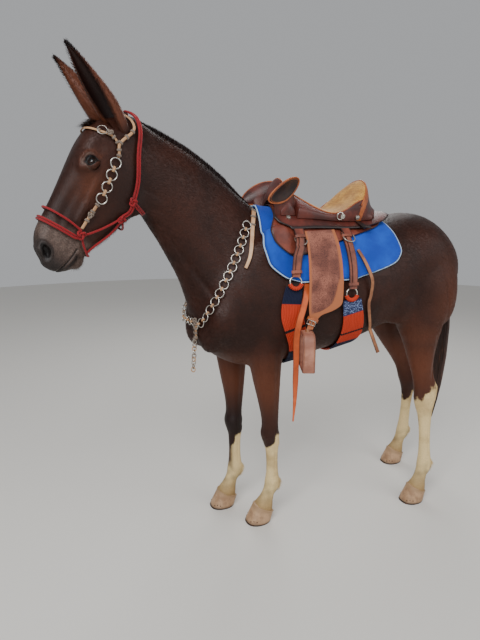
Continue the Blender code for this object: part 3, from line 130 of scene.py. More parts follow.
def fill(node, name, value):
    """Gives a node's input a link, an sRGB hex colour or a plain value."""
    if isinstance(value, bpy.types.NodeSocket):
        node.id_data.links.new(value, node.inputs[name])
    else:
        node.inputs[name].default_value = linear(value) if isinstance(value, str) else value


def add(kind, *values, out=None, **settings):
    """A step of arithmetic is named by its operation. settings are the node's properties or its inputs."""
    inputs, usual, output = KINDS.get(kind, KINDS["Math"])
    node = add.tree.nodes.new("ShaderNode" + (kind if kind in KINDS else "Math"))
    if kind not in KINDS:
        node.operation = kind
    for key, value in {**usual, **settings}.items():
        if key in node.inputs:
            fill(node, key, value)
        else:
            setattr(node, key, value)
    for name, value in zip(inputs, values):
        fill(node, name, value)
    return node.outputs[out or output]


def paint(shader, **values):
    """Sets or links the shader's inputs, whose names are written with _ for a space."""
    for name, value in values.items():
        fill(shader, name.replace("_", " "), value)


def finish(name, **values):
    """Begins a material, and returns it with its Principled shader."""
    made = bpy.data.materials.new(name)
    made.use_nodes = True
    add.tree = made.node_tree
    shader = made.node_tree.nodes["Principled BSDF"]
    paint(shader, **values)
    return made, shader


print(len(KINDS), "kinds of node in use")

# %% [markdown]
# The floor is a wide pale disc, and the light is that of a studio: one large soft lamp high at the mule's
# left front, a weaker one behind to draw the outline, and an even pale sky for the shadows.

# %% Floor and light
FLOOR_RADIUS = 9.0
paper, _ = finish("matt_paper_floor", Base_Color="#D9D6D0", Roughness=0.9)
floor_grid = bmesh.new()
bmesh.ops.create_circle(floor_grid, cap_ends=True, segments=96, radius=FLOOR_RADIUS)
floor = new_object("floor", floor_grid)
floor.data.materials.append(paper)

LAMPS = (
    ("key", (3.2, -2.6, 4.2), 3.0, 235),
    ("fill", (2.6, 2.2, 2.4), 2.6, 45),
    ("rim", (-2.6, 1.6, 3.6), 2.0, 55),
)
for lamp_name, lamp_place, lamp_size, lamp_power in LAMPS:
    lamp_data = bpy.data.lights.new(lamp_name, "AREA")
    lamp_data.size = lamp_size
    lamp_data.energy = lamp_power
    lamp = new_object(lamp_name, lamp_data)
    lamp.location = lamp_place
    lamp.rotation_euler = (Vector((0, 0, 1.0)) - Vector(lamp_place)).to_track_quat("-Z", "Y").to_euler()

sky = bpy.data.worlds.new("studio_sky")
bpy.context.scene.world = sky
sky.use_nodes = True
sky.node_tree.nodes["Background"].inputs["Color"].default_value = linear("#F2F4F7")
sky.node_tree.nodes["Background"].inputs["Strength"].default_value = 0.46
print(len(LAMPS), "lamps and a pale sky")

# %% [markdown]
# ## The skin
# The body is drawn as in the solids: sections run between two points of the side view, such as crest and
# throat, and are lofted. A voxel remesh joins the lofts and the muscles into one mesh, so no seam can show.
# Sculpting by hand would be the usual way; stations keep it repeatable and true to the solids.

# %% Stations of the body
BEND_START_Y, BEND_LENGTH, BEND_ANGLE = -0.40, 0.45, math.radians(10)
POLL_Y, POLL_Z, FACE_LEAN = -0.930, 1.765, math.radians(29)

# Y, Z of the back, Z of the belly, half width, where it is widest, squareness of the top and the bottom
TRUNK = (
    (-0.690, 1.090, 0.950, 0.060, 0.50, 2.0, 2.0),
    (-0.665, 1.170, 0.890, 0.115, 0.48, 2.1, 2.1),
    (-0.610, 1.280, 0.830, 0.160, 0.45, 2.1, 2.2),
    (-0.520, 1.385, 0.780, 0.185, 0.42, 2.0, 2.2),
    (-0.430, 1.440, 0.760, 0.195, 0.40, 1.8, 2.1),
    (-0.330, 1.445, 0.762, 0.205, 0.40, 1.7, 2.0),
    (-0.200, 1.410, 0.785, 0.226, 0.42, 1.9, 2.0),
    (-0.060, 1.378, 0.812, 0.240, 0.44, 2.1, 2.0),
    (0.080, 1.376, 0.845, 0.240, 0.46, 2.2, 2.0),
    (0.190, 1.396, 0.880, 0.230, 0.50, 2.3, 2.0),
    (0.290, 1.427, 0.920, 0.225, 0.55, 2.2, 2.0),
    (0.370, 1.436, 0.960, 0.225, 0.60, 2.0, 2.0),
    (0.460, 1.420, 0.990, 0.214, 0.60, 1.9, 2.0),
    (0.550, 1.366, 1.020, 0.184, 0.55, 1.9, 2.0),
    (0.620, 1.288, 1.030, 0.138, 0.50, 2.1, 2.1),
    (0.656, 1.212, 1.050, 0.080, 0.50, 2.1, 2.1),
)
# Y, Z of the crest, Y, Z of the throat, half width, where it is widest, squareness of both
NECK = (
    (-0.330, 1.425, -0.620, 0.880, 0.150, 0.45, 1.7, 2.0),
    (-0.400, 1.455, -0.685, 0.965, 0.140, 0.45, 1.6, 2.0),
    (-0.470, 1.502, -0.715, 1.060, 0.122, 0.46, 1.6, 2.0),
    (-0.560, 1.578, -0.750, 1.160, 0.104, 0.48, 1.6, 2.0),
    (-0.660, 1.648, -0.792, 1.240, 0.092, 0.50, 1.7, 2.0),
    (-0.760, 1.700, -0.830, 1.310, 0.084, 0.52, 1.8, 2.1),
    (-0.850, 1.736, -0.868, 1.370, 0.080, 0.55, 1.9, 2.2),
    (-0.925, 1.755, -0.905, 1.430, 0.072, 0.60, 2.0, 2.2),
    (-0.985, 1.755, -0.960, 1.480, 0.055, 0.60, 2.0, 2.2),
)
# Down from the poll, depth of the face line, of the jaw line, half width, where it is widest, squareness
HEAD = (
    (-0.010, -0.012, 0.130, 0.035, 0.60, 2.0, 2.0),
    (0.020, -0.045, 0.180, 0.058, 0.62, 2.2, 2.0),
    (0.070, -0.092, 0.208, 0.078, 0.66, 2.5, 2.0),
    (0.120, -0.116, 0.212, 0.090, 0.70, 2.7, 2.0),
    (0.175, -0.124, 0.208, 0.094, 0.72, 2.8, 2.2),
    (0.235, -0.124, 0.198, 0.088, 0.68, 2.8, 2.4),
    (0.295, -0.122, 0.176, 0.077, 0.60, 2.5, 2.5),
    (0.350, -0.120, 0.150, 0.067, 0.56, 2.3, 2.4),
    (0.400, -0.119, 0.132, 0.058, 0.54, 2.2, 2.2),
    (0.445, -0.119, 0.112, 0.053, 0.54, 2.2, 2.2),
    (0.485, -0.120, 0.090, 0.052, 0.54, 2.3, 2.2),
    (0.520, -0.117, 0.076, 0.054, 0.54, 2.4, 2.2),
    (0.555, -0.104, 0.070, 0.055, 0.52, 2.4, 2.2),
    (0.585, -0.082, 0.054, 0.049, 0.50, 2.3, 2.2),
    (0.607, -0.054, 0.030, 0.036, 0.50, 2.0, 2.0),
    (0.618, -0.030, 0.008, 0.016, 0.50, 2.0, 2.0),
)
# Z, Y of the front, Y of the back, half width
FORE_LEG = (
    (0.900, -0.115, 0.075, 0.070),
    (0.840, -0.108, 0.062, 0.070),
    (0.780, -0.094, 0.052, 0.066),
    (0.700, -0.078, 0.047, 0.056),
    (0.620, -0.061, 0.043, 0.046),
    (0.550, -0.048, 0.039, 0.040),
    (0.500, -0.044, 0.036, 0.040),
    (0.462, -0.047, 0.036, 0.044),
    (0.430, -0.047, 0.038, 0.044),
    (0.400, -0.039, 0.041, 0.039),
    (0.370, -0.031, 0.035, 0.031),
    (0.320, -0.028, 0.033, 0.0265),
    (0.260, -0.028, 0.034, 0.0255),
    (0.222, -0.031, 0.038, 0.030),
    (0.192, -0.035, 0.043, 0.035),
    (0.166, -0.038, 0.040, 0.034),
    (0.136, -0.050, 0.022, 0.030),
    (0.106, -0.070, 0.010, 0.034),
    (0.084, -0.086, 0.008, 0.043),
    (0.060, -0.098, 0.006, 0.047),
    (0.040, -0.104, 0.004, 0.048),
)
HIND_LEG = (
    (1.200, -0.200, 0.130, 0.070),
    (1.100, -0.215, 0.150, 0.085),
    (1.000, -0.205, 0.115, 0.088),
    (0.920, -0.180, 0.085, 0.084),
    (0.840, -0.140, 0.062, 0.074),
    (0.760, -0.108, 0.048, 0.060),
    (0.690, -0.086, 0.044, 0.048),
    (0.640, -0.073, 0.050, 0.040),
    (0.600, -0.066, 0.066, 0.037),
    (0.570, -0.064, 0.075, 0.038),
    (0.530, -0.062, 0.066, 0.041),
    (0.485, -0.050, 0.050, 0.038),
    (0.440, -0.038, 0.041, 0.031),
    (0.370, -0.030, 0.036, 0.026),
    (0.280, -0.029, 0.036, 0.0255),
    (0.222, -0.032, 0.040, 0.030),
    (0.192, -0.036, 0.044, 0.034),
    (0.162, -0.039, 0.038, 0.033),
    (0.132, -0.050, 0.022, 0.030),
    (0.104, -0.066, 0.010, 0.033),
    (0.084, -0.081, 0.008, 0.041),
    (0.060, -0.094, 0.006, 0.045),
    (0.040, -0.100, 0.004, 0.046),
)
# Y of the cannon bone, X of the hoof, X of the top, how far the foot is swung back, heights of that swing
STANCE = {
    "fore_left": (-0.375, 0.062, 0.115, 0.040, 0.10, 0.85),
    "fore_right": (-0.445, -0.120, -0.115, -0.008, 0.30, 0.85),
    "hind_left": (0.460, 0.190, 0.130, 0.0, 0.45, 0.92),
    "hind_right": (0.460, -0.180, -0.130, 0.160, 0.45, 0.92),
}
# Centre, radii, pitch, yaw, roll in degrees, for the left side
MUSCLES = (
    ((0.110, -0.430, 1.160), (0.048, 0.110, 0.230), -22, 0, 12),  # shoulder_blade
    ((0.112, -0.600, 1.000), (0.072, 0.080, 0.105), 0, 0, 0),  # shoulder_point
    ((0.142, -0.385, 0.980), (0.060, 0.125, 0.125), -30, 0, 0),  # triceps
    ((0.068, -0.640, 0.945), (0.070, 0.058, 0.095), 0, 0, 0),  # breast
    ((0.132, 0.370, 1.265), (0.090, 0.165, 0.120), 0, 0, 0),  # hip
    ((0.135, 0.425, 1.090), (0.092, 0.180, 0.220), 12, 0, 0),  # thigh
    ((0.110, 0.530, 1.080), (0.082, 0.092, 0.205), 8, 0, 0),  # hamstring
    ((0.140, 0.255, 1.030), (0.070, 0.120, 0.110), 0, 0, 0),  # flank
)
# Down and depth, X, radii, in the head's frame
HEAD_BULGES = (
    ((0.226, -0.074), 0.072, (0.026, 0.030, 0.046)),  # brow
    ((0.245, 0.095), 0.040, (0.034, 0.105, 0.095)),  # cheek
    ((0.345, -0.012), 0.050, (0.018, 0.018, 0.095)),  # face_crest
    ((0.552, -0.066), 0.034, (0.022, 0.028, 0.038)),  # nostril_rim
    ((0.588, -0.020), 0.020, (0.034, 0.042, 0.034)),  # upper_lip
    ((0.548, 0.052), 0.000, (0.034, 0.030, 0.036)),  # chin
)


# %% Lofting
def between(stations, steps):
    """Rows read from a smooth curve through the stations."""
    rows, last = [], len(stations) - 1
    for i in range(last):
        p0, p1 = stations[max(i - 1, 0)], stations[i]
        p2, p3 = stations[i + 1], stations[min(i + 2, last)]
        for k in range(steps):
            t = k / steps
            rows.append([
                0.5 * (2 * b + (c - a) * t + (2 * a - 5 * b + 4 * c - d) * t**2
                       + (3 * b - a - 3 * c + d) * t**3)
                for a, b, c, d in zip(p0, p1, p2, p3)])
    rows.append(list(stations[-1]))
    return rows


def smoothstep(low, high, value):
    t = np.clip((value - low) / (high - low), 0.0, 1.0)
    return t * t * (3 - 2 * t)


def section(front, back, x, half_width, widest, n_front, n_back, count):
    """A closed ring between two points of the side view, with superelliptic ends."""
    front, back = Vector(front), Vector(back)
    centre, ring = back.lerp(front, widest), []
    for k in range(count):
        c, s = math.cos(math.tau * k / count), math.sin(math.tau * k / count)
        power = 2 / (n_front if c > 0 else n_back)
        point = centre.lerp(front if c > 0 else back, abs(c) ** power)
        ring.append(Vector((x + math.copysign(abs(s) ** power, s) * half_width, point.x, point.y)))
    return ring


def leg_place(leg, z):
    line_y, foot_x, top_x, swing, low, high = STANCE[leg]
    return (foot_x + (top_x - foot_x) * float(smoothstep(0.0, high, z)),
            line_y + swing * (1 - float(smoothstep(low, high, z))))


def on_leg(leg, points):
    """Which points lie at the leg's end and side of the body."""
    return ((points[:, 1] < 0.1) == leg.startswith("fore")) & (points[:, 0] * SIDES[leg.split("_")[1]] > 0)


def head_point(down, depth, x=0.0):
    return Vector((x, POLL_Y - down * math.sin(FACE_LEAN) + depth * math.cos(FACE_LEAN),
                   POLL_Z - down * math.cos(FACE_LEAN) - depth * math.sin(FACE_LEAN)))


def bent(point):
    """A point of the straight animal, moved by the bend of the neck to the left."""
    ahead = BEND_START_Y - point.y
    if ahead <= 0:
        return point.copy()
    radius = BEND_LENGTH / BEND_ANGLE
    angle = min(ahead / BEND_LENGTH, 1.0) * BEND_ANGLE
    rest = max(ahead - BEND_LENGTH, 0.0)
    return Vector((radius - (radius - point.x) * math.cos(angle) + rest * math.sin(angle),
                   BEND_START_Y - (radius - point.x) * math.sin(angle) - rest * math.cos(angle), point.z))


def in_head_frame(points):
    """Distance down from the poll, depth and X of many points ahead of the bend."""
    radius = BEND_LENGTH / BEND_ANGLE
    x, y = points[:, 0] - radius, points[:, 1] - BEND_START_Y
    c, s = math.cos(BEND_ANGLE), math.sin(BEND_ANGLE)
    side = radius + x * c + y * s
    ahead = BEND_LENGTH + x * s - y * c
    rel_y, rel_z = BEND_START_Y - ahead - POLL_Y, points[:, 2] - POLL_Z
    down = -rel_y * math.sin(FACE_LEAN) - rel_z * math.cos(FACE_LEAN)
    depth = rel_y * math.cos(FACE_LEAN) - rel_z * math.sin(FACE_LEAN)
    return down, depth, side


def add_loft(grid, rings):
    """Adds a capped tube through the rings to a bmesh."""
    rows = [[grid.verts.new(p) for p in ring] for ring in rings]
    count = len(rings[0])
    for a, b in zip(rows, rows[1:]):
        for k in range(count):
            grid.faces.new((a[k], a[(k + 1) % count], b[(k + 1) % count], b[k]))
    grid.faces.new(rows[0][::-1])
    grid.faces.new(rows[-1])


def add_bulge(grid, centre, radii, pitch=0.0, yaw=0.0, roll=0.0):
    """Adds an ellipsoid, turned by degrees about X, Z and Y."""
    turn = (Matrix.Rotation(math.radians(yaw), 4, "Z") @ Matrix.Rotation(math.radians(pitch), 4, "X")
            @ Matrix.Rotation(math.radians(roll), 4, "Y"))
    move = Matrix.Translation(centre) @ turn @ Matrix.Diagonal((*radii, 1.0))
    rings = []
    for level in np.linspace(0.06, math.pi - 0.06, 18):
        rings.append([move @ Vector((math.sin(level) * math.cos(math.tau * k / 28),
                                     math.sin(level) * math.sin(math.tau * k / 28), math.cos(level)))
                      for k in range(28)])
    add_loft(grid, rings)


def baked(obj):
    """The object with its modifiers applied to its mesh."""
    bpy.context.view_layer.update()
    graph = bpy.context.evaluated_depsgraph_get()
    mesh = bpy.data.meshes.new_from_object(obj.evaluated_get(graph))
    obj.modifiers.clear()
    obj.vertex_groups.clear()
    old, obj.data = obj.data, mesh
    bpy.data.meshes.remove(old)
    return obj

# %% Join the lofts into one hide
VOXEL = 0.0075
body = bmesh.new()
add_loft(body, [section((y, top), (y, low), 0, half, wide, n1, n2, 40)
                for y, top, low, half, wide, n1, n2 in between(TRUNK, 3)])
add_loft(body, [section((cy, cz), (ty, tz), 0, half, wide, n1, n2, 36)
                for cy, cz, ty, tz, half, wide, n1, n2 in between(NECK, 4)])
head_rings = []
for down, face, jaw, half, wide, n1, n2 in between(HEAD, 3):
    top, bottom = head_point(down, face), head_point(down, jaw)
    head_rings.append(section((top.y, top.z), (bottom.y, bottom.z), 0, half, wide, n1, n2, 36))
add_loft(body, head_rings)
for leg in STANCE:
    leg_rings = []
    for z, front, back, half in between(FORE_LEG if leg.startswith("fore") else HIND_LEG, 3):
        x, y = leg_place(leg, z)
        leg_rings.append(section((y + front, z), (y + back, z), x, half, 0.5, 2.2, 2.1, 28))
    add_loft(body, leg_rings)
for sign in SIDES.values():
    for (x, y, z), radii, pitch, yaw, roll in MUSCLES:
        add_bulge(body, (x * sign, y, z), radii, pitch, yaw * sign, roll * sign)
    for (down, depth), x, radii in HEAD_BULGES:
        add_bulge(body, head_point(down, depth, x * sign), radii, -math.degrees(FACE_LEAN))
bmesh.ops.recalc_face_normals(body, faces=body.faces)
skin = new_object("skin", body)
remesh = skin.modifiers.new("join", "REMESH")
remesh.mode = "VOXEL"
remesh.voxel_size = VOXEL
baked(skin)
print("remeshed skin:", len(skin.data.vertices), "points")


# %% Bend the neck and soften the body
def points_of(mesh, what="co"):
    values = np.empty(len(mesh.vertices) * 3, np.float32)
    mesh.vertices.foreach_get(what, values)
    return values.reshape(-1, 3).astype(np.float64)


def put_points(mesh, points):
    mesh.vertices.foreach_set("co", points.astype(np.float32).ravel())
    mesh.update()


straight = points_of(skin.data)
soft = smoothstep(0.70, 0.92, straight[:, 2]) * smoothstep(-0.98, -0.84, straight[:, 1])
soft_group = skin.vertex_groups.new(name="soft")
for share in range(1, 11):
    chosen = np.nonzero(np.round(soft * 10) == share)[0]
    soft_group.add(chosen.tolist(), share / 10, "REPLACE")
put_points(skin.data, np.array([bent(Vector(p)) for p in straight]))
for title, group, rounds in (("soften_all", "", 5), ("soften_body", "soft", 60)):
    smooth = skin.modifiers.new(title, "SMOOTH")
    smooth.factor = 0.5
    smooth.iterations = rounds
    smooth.vertex_group = group
baked(skin)
hide_tree = BVHTree.FromPolygons([tuple(p) for p in points_of(skin.data)],
                                 [tuple(f.vertices) for f in skin.data.polygons])
print("softened:", len(skin.data.polygons), "faces")

# %% [markdown]
# The head carries the most detail, so its faces are split twice, and those round the eyes, nostrils and
# lips once more. The skin is then drawn in by the coat's depth, 3 mm, because the hair stands on it.

# %% Refine the head and sink the skin under the coat
COAT_DEPTH = 0.0030
EYE_RADIUS, HEAD_AXIS_DEPTH = 0.0215, 0.03
EYE_TURN, EYE_SHIFT, LEAST_SUNK = math.radians(4.5), -0.003, 0.011


def surface_reach(down, angle, sign):
    """How far the hide is from the head's axis in a direction."""
    near = bent(head_point(down, HEAD_AXIS_DEPTH))
    far = bent(head_point(down, HEAD_AXIS_DEPTH - 0.2 * math.cos(angle), 0.2 * sign * math.sin(angle)))
    return (hide_tree.ray_cast(far, (near - far).normalized())[0] - near).length


def turned_back(centre, sign):
    """The eye's middle turned about the head's own axis, a little further back than in the solids."""
    down, depth, off = (float(v[0]) for v in in_head_frame(np.array([centre])))
    angle = math.atan2(abs(off), HEAD_AXIS_DEPTH - depth)
    sunk = surface_reach(down, angle, sign) - math.hypot(depth - HEAD_AXIS_DEPTH, off)
    down, angle = down + EYE_SHIFT, angle + EYE_TURN
    reach = surface_reach(down, angle, sign) - max(sunk, LEAST_SUNK)
    print("eye", round(sunk * 1000, 1), "mm under the hide in the solids")
    return bent(head_point(down, HEAD_AXIS_DEPTH - reach * math.cos(angle), sign * reach * math.sin(angle)))


eyes = {}
for side, sign in SIDES.items():
    eye_low, eye_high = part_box(f"eye_{side}")
    eyes[side] = turned_back((eye_low + eye_high) / 2 - Vector((0, AHEAD, 0)), sign)


def split_near(mesh, chosen_of):
    """Splits the edges of the faces whose middles the test accepts."""
    grid = bmesh.new()
    grid.from_mesh(mesh)
    grid.faces.ensure_lookup_table()
    middles = np.array([face.calc_center_median() for face in grid.faces])
    chosen = np.nonzero(chosen_of(middles))[0]
    edges = {edge for i in chosen for edge in grid.faces[i].edges}
    bmesh.ops.subdivide_edges(grid, edges=list(edges), cuts=1, use_grid_fill=True, smooth=0.2)
    bmesh.ops.triangulate(grid, faces=[face for face in grid.faces if len(face.verts) > 4])
    grid.to_mesh(mesh)
    grid.free()


def near_eyes(points, reach):
    return np.min([np.linalg.norm(points - np.array(c), axis=1) for c in eyes.values()], axis=0) < reach


def below_poll(points, down):
    return (in_head_frame(points)[0] > down) & (points[:, 1] < -0.93) & (points[:, 2] > 1.15)


split_near(skin.data, lambda p: below_poll(p, 0.05) | (p[:, 2] < 0.66))
split_near(skin.data, lambda p: near_eyes(p, 0.050) | below_poll(p, 0.500))
split_near(skin.data, lambda p: near_eyes(p, 0.032))
print("refined skin:", len(skin.data.polygons), "faces")

# %% [markdown]
# Folds and hollows are moved in by formulas over the head's own frame: how far down from the poll, how deep
# towards the jaw, how far to the side. A sculpting brush would do the same with less control over the
# depth.

# %% Model the face
NOSTRIL = (0.562, -0.060, 0.0285, 0.0150, math.radians(46))
MOUTH_CORNER, MOUTH_FRONT = (0.512, 0.030), (0.612, 0.004)


def normals_of(mesh):
    values = np.empty(len(mesh.vertices) * 3, np.float32)
    mesh.vertex_normals.foreach_get("vector", values)
    return values.reshape(-1, 3).astype(np.float64)


def hump(value, middle, width):
    return np.exp(-((value - middle) / width) ** 2)


def nostril_place(down, depth):
    """How far a point is from the nostril's middle, in the nostril's own half sizes."""
    d0, t0, long_half, short_half, lean = NOSTRIL
    a, b = down - d0, depth - t0
    along = a * math.cos(lean) + b * math.sin(lean)
    over = -a * math.sin(lean) + b * math.cos(lean)
    over = over + 0.16 * np.abs(along)
    return np.hypot(along / long_half, over / short_half)


def mouth_place(down, depth):
    """The share of the way from the mouth's corner to its front, and the distance from that line."""
    a = np.array(MOUTH_CORNER)
    b = np.array(MOUTH_FRONT)
    length = np.linalg.norm(b - a)
    way = (b - a) / length
    along = ((down - a[0]) * way[0] + (depth - a[1]) * way[1]) / length
    off = -(down - a[0]) * way[1] + (depth - a[1]) * way[0]
    return along, off - 0.004 * np.sin(np.clip(along, 0, 1) * math.pi)


def face_relief(points):
    """How far each point of the head is moved outwards, in metres."""
    down, depth, side = in_head_frame(points)
    off = np.abs(side)
    move = np.zeros(len(points))
    place = nostril_place(down, depth)
    outer = smoothstep(0.020, 0.032, off)
    move += outer * (-0.0150 * (1 - smoothstep(0.45, 1.0, place)) + 0.0034 * hump(place, 1.28, 0.30))
    along, from_line = mouth_place(down, depth)
    on_mouth = smoothstep(-0.06, 0.04, along) * (1 - smoothstep(1.02, 1.10, along))
    move += on_mouth * (-0.0060 * hump(from_line, 0.0, 0.0022) + 0.0018 * hump(from_line, -0.0085, 0.006)
                        + 0.0022 * hump(from_line, 0.0080, 0.006))
    crest = hump(depth, -0.014 + (down - 0.30) * 0.05, 0.011) * smoothstep(0.22, 0.29, down)
    move += 0.0045 * crest * (1 - smoothstep(0.36, 0.43, down)) * smoothstep(0.02, 0.05, off)
    hollow = hump(down, 0.165, 0.022) * hump(depth, -0.055, 0.020) * smoothstep(0.04, 0.07, off)
    move -= 0.0055 * hollow
    move -= (0.0035 * hump(depth, -0.062, 0.016) * smoothstep(0.28, 0.36, down)
             * (1 - smoothstep(0.46, 0.52, down)))
    for start, lean in ((0.30, 0.42), (0.335, 0.30)):
        vein = hump(depth - (-0.030 + (down - start) * lean), 0.0, 0.0030)
        move += (0.0011 * vein * smoothstep(start, start + 0.03, down) * (1 - smoothstep(0.44, 0.50, down))
                 * outer)
    jaw = (hump(depth, 0.168 - 0.45 * smoothstep(0.20, 0.40, down) * 0.12, 0.012)
           * smoothstep(0.10, 0.16, down))
    move += 0.0028 * jaw * (1 - smoothstep(0.34, 0.42, down))
    for k in range(3):
        wrinkle = hump(down, 0.494 + 0.011 * k + 0.25 * (depth + 0.01), 0.0022)
        move -= 0.0012 * wrinkle * hump(depth, 0.0 + 0.006 * k, 0.022) * smoothstep(0.03, 0.045, off)
    return move * smoothstep(0.10, 0.14, down)


def eye_frame(side):
    """The middle of the eye, and its directions outwards, towards the nose and upwards."""
    centre = np.array(eyes[side])
    axis = np.array(bent(head_point(0.245, 0.03)))
    out = centre - axis
    out = out / np.linalg.norm(out)
    front = np.array(bent(head_point(0.244, -0.086, 0.078 * SIDES[side])))
    ahead = front - np.array(bent(head_point(0.208, -0.038, 0.100 * SIDES[side])))
    ahead = ahead - out * (ahead @ out)
    ahead = ahead / np.linalg.norm(ahead)
    up = np.cross(out, ahead) * SIDES[side]
    return centre, out, ahead, up if up[2] > 0 else -up


LID_HALF_LENGTH = 0.0208
LID_RISE = {"upper": 0.0168, "lower": 0.0138}


def lid_gap(a, b):
    """Above 0 outside the almond between the lids, in metres. a runs to the nose and b upwards."""
    share = np.clip(1 - (a / LID_HALF_LENGTH) ** 2, 0.0, 1.0)
    edge = np.where(b > 0, LID_RISE["upper"], LID_RISE["lower"]) * share ** 0.85
    beyond = np.maximum(np.abs(a) - LID_HALF_LENGTH, 0.0)
    return np.hypot(np.maximum(np.abs(b) - edge, 0.0), beyond) - np.maximum(edge - np.abs(b), 0.0)


def model_lids(points, side):
    """Wraps the skin round the eyeball: a round lid edge, a crease above it, and a hollow inside."""
    centre, out, ahead, up = eye_frame(side)
    rel = points - centre
    radius = np.linalg.norm(rel, axis=1)
    near = (radius < 0.046) & (rel @ out > 0)
    part = rel[near]
    unit = part / radius[near][:, None]
    flat = part @ out
    on_ball = np.maximum(EYE_RADIUS / np.maximum(radius[near], 1e-6), 1.0)
    a, b = (part @ ahead) * on_ball, (part @ up) * on_ball
    a = a + 0.12 * b
    gap = lid_gap(a, b)
    lid = EYE_RADIUS + 0.0010 + 0.0026 * smoothstep(-0.0004, 0.0028, gap)
    lid = lid - 0.0015 * hump(gap, 0.0085, 0.0016) * (b > 0) - 0.0008 * hump(gap, 0.0065, 0.0014) * (b < 0)
    lid = np.where(gap < -0.0004, EYE_RADIUS - 0.0040, lid)
    fade = smoothstep(0.006, 0.020, gap)
    new_radius = lid * (1 - fade) + radius[near] * fade
    new_radius = np.where(gap > 0, np.maximum(new_radius, EYE_RADIUS + 0.0012), new_radius)
    brow = 0.0042 * hump(b, 0.026, 0.008) * hump(a, 0.002, 0.020)
    points[near] = centre + unit * (new_radius + brow * smoothstep(0.0, 0.01, flat))[:, None]
    return points


place = points_of(skin.data)
place -= normals_of(skin.data) * COAT_DEPTH
on_head = below_poll(place, 0.10)
place[on_head] += normals_of(skin.data)[on_head] * face_relief(place[on_head])[:, None]
for side in SIDES:
    place = model_lids(place, side)
put_points(skin.data, place)
print("lids and nostrils modelled;", int(on_head.sum()), "points on the head")

# %% [markdown]
# The body's relief is quieter: the groove of the jugular, the edge of the shoulder blade, the ribs, the
# flank fold, tendons behind the cannon bones and the folds that a turned neck makes at the throat.


# %% Model the body
def body_relief(points):
    x, y, z = points.T
    off = np.abs(x)
    move = np.zeros(len(points))
    neck_line = 1.36 + (y + 0.82) * -1.35
    move -= (0.0050 * hump(z, neck_line, 0.022) * smoothstep(-0.84, -0.78, y)
             * (1 - smoothstep(-0.66, -0.58, y)))
    blade = (y + 0.50) * math.cos(0.38) + (z - 1.20) * math.sin(0.38)
    move -= 0.0042 * hump(blade, -0.055, 0.020) * smoothstep(0.98, 1.08, z) * (1 - smoothstep(1.34, 1.42, z))
    move -= 0.0042 * hump(blade, 0.150, 0.026) * smoothstep(0.98, 1.08, z) * (1 - smoothstep(1.30, 1.40, z))
    ribs = np.sin((y - 0.18 * (z - 1.1)) * math.tau / 0.062)
    move += 0.0011 * ribs * hump(y, 0.02, 0.14) * hump(z, 1.02, 0.12) * smoothstep(0.12, 0.20, off)
    fold = y - 0.205 - 0.35 * (z - 0.95)
    move -= 0.0070 * hump(fold, 0.0, 0.026) * hump(z, 0.99, 0.085) * smoothstep(0.10, 0.18, off)
    seam = y - 0.500 + 0.30 * (z - 1.05)
    move -= 0.0040 * hump(seam, 0.0, 0.016) * hump(z, 1.05, 0.13) * smoothstep(0.08, 0.14, off)
    stifle = hump(y, 0.300, 0.055) * hump(z, 0.935, 0.060) * smoothstep(0.06, 0.12, off)
    move += 0.0060 * stifle
    for k in range(3):
        crease = (z - 1.50 + 0.050 * k) + 0.55 * (y + 0.86)
        move -= (0.0026 * hump(crease, 0.0, 0.0075) * hump(y, -0.860 + 0.012 * k, 0.035)
                 * smoothstep(0.02, 0.06, off))
    for leg in STANCE:
        sign = SIDES[leg.split("_")[1]]
        chosen = on_leg(leg, points) & (z < 0.86)
        zs = z[chosen]
        line = np.array([leg_place(leg, value) for value in zs]).reshape(-1, 2)
        lx, ly = x[chosen] - line[:, 0], y[chosen] - line[:, 1]
        sideways = smoothstep(0.010, 0.020, np.abs(lx))
        cannon = smoothstep(0.215, 0.26, zs) * (1 - smoothstep(0.36, 0.42, zs))
        add_up = -0.0028 * hump(ly, 0.010, 0.0055) * cannon * sideways
        if leg.startswith("fore"):
            add_up += 0.0026 * hump(zs, 0.452, 0.020) * (ly < 0)
            add_up -= 0.0030 * hump(ly, 0.012, 0.010) * smoothstep(0.50, 0.56, zs) * sideways
            add_up += 0.0030 * hump(zs, 0.452, 0.014) * hump(ly, 0.030, 0.012)
        else:
            add_up -= 0.0060 * hump(ly, 0.022, 0.014) * smoothstep(0.60, 0.66, zs) * sideways
            add_up += 0.0032 * hump(zs, 0.585, 0.020) * hump(ly, 0.068, 0.016)
            add_up += 0.0030 * hump(zs, 0.500, 0.030) * hump(ly, -0.020, 0.025) * (lx * sign < 0)
        add_up += 0.0030 * hump(zs, 0.196, 0.012) * hump(ly, 0.036, 0.014)
        add_up -= 0.0022 * hump(zs, 0.128, 0.010) * (ly > 0)
        move[chosen] += add_up
    return move


place = points_of(skin.data)
off_head = ~on_head
place[off_head] += normals_of(skin.data)[off_head] * body_relief(place[off_head])[:, None]
put_points(skin.data, place)
skin_tree = BVHTree.FromPolygons([tuple(p) for p in place], [tuple(f.vertices) for f in skin.data.polygons])
print("the skin has", sum(len(f.vertices) - 2 for f in skin.data.polygons), "triangles")

# %% [markdown]
# ## The coat
# A mule's summer coat is short, lies flat and shines. Its markings are worked out as point values, from
# where a point lies on the animal, and both the skin and the hair read the same ones: white stockings,
# mealy muzzle, dark crest, redder forearms and thighs. Painting would need an image, and these formulas
# need none.

# %% Markings
# Height of each stocking's edge, and how much lower it is in front
STOCKINGS = {"fore_left": (0.452, 0.075), "fore_right": (0.385, 0.100),
             "hind_left": (0.590, 0.060), "hind_right": (0.430, 0.040)}
MARKS = ("white", "red", "dark", "grey", "mealy", "bare")


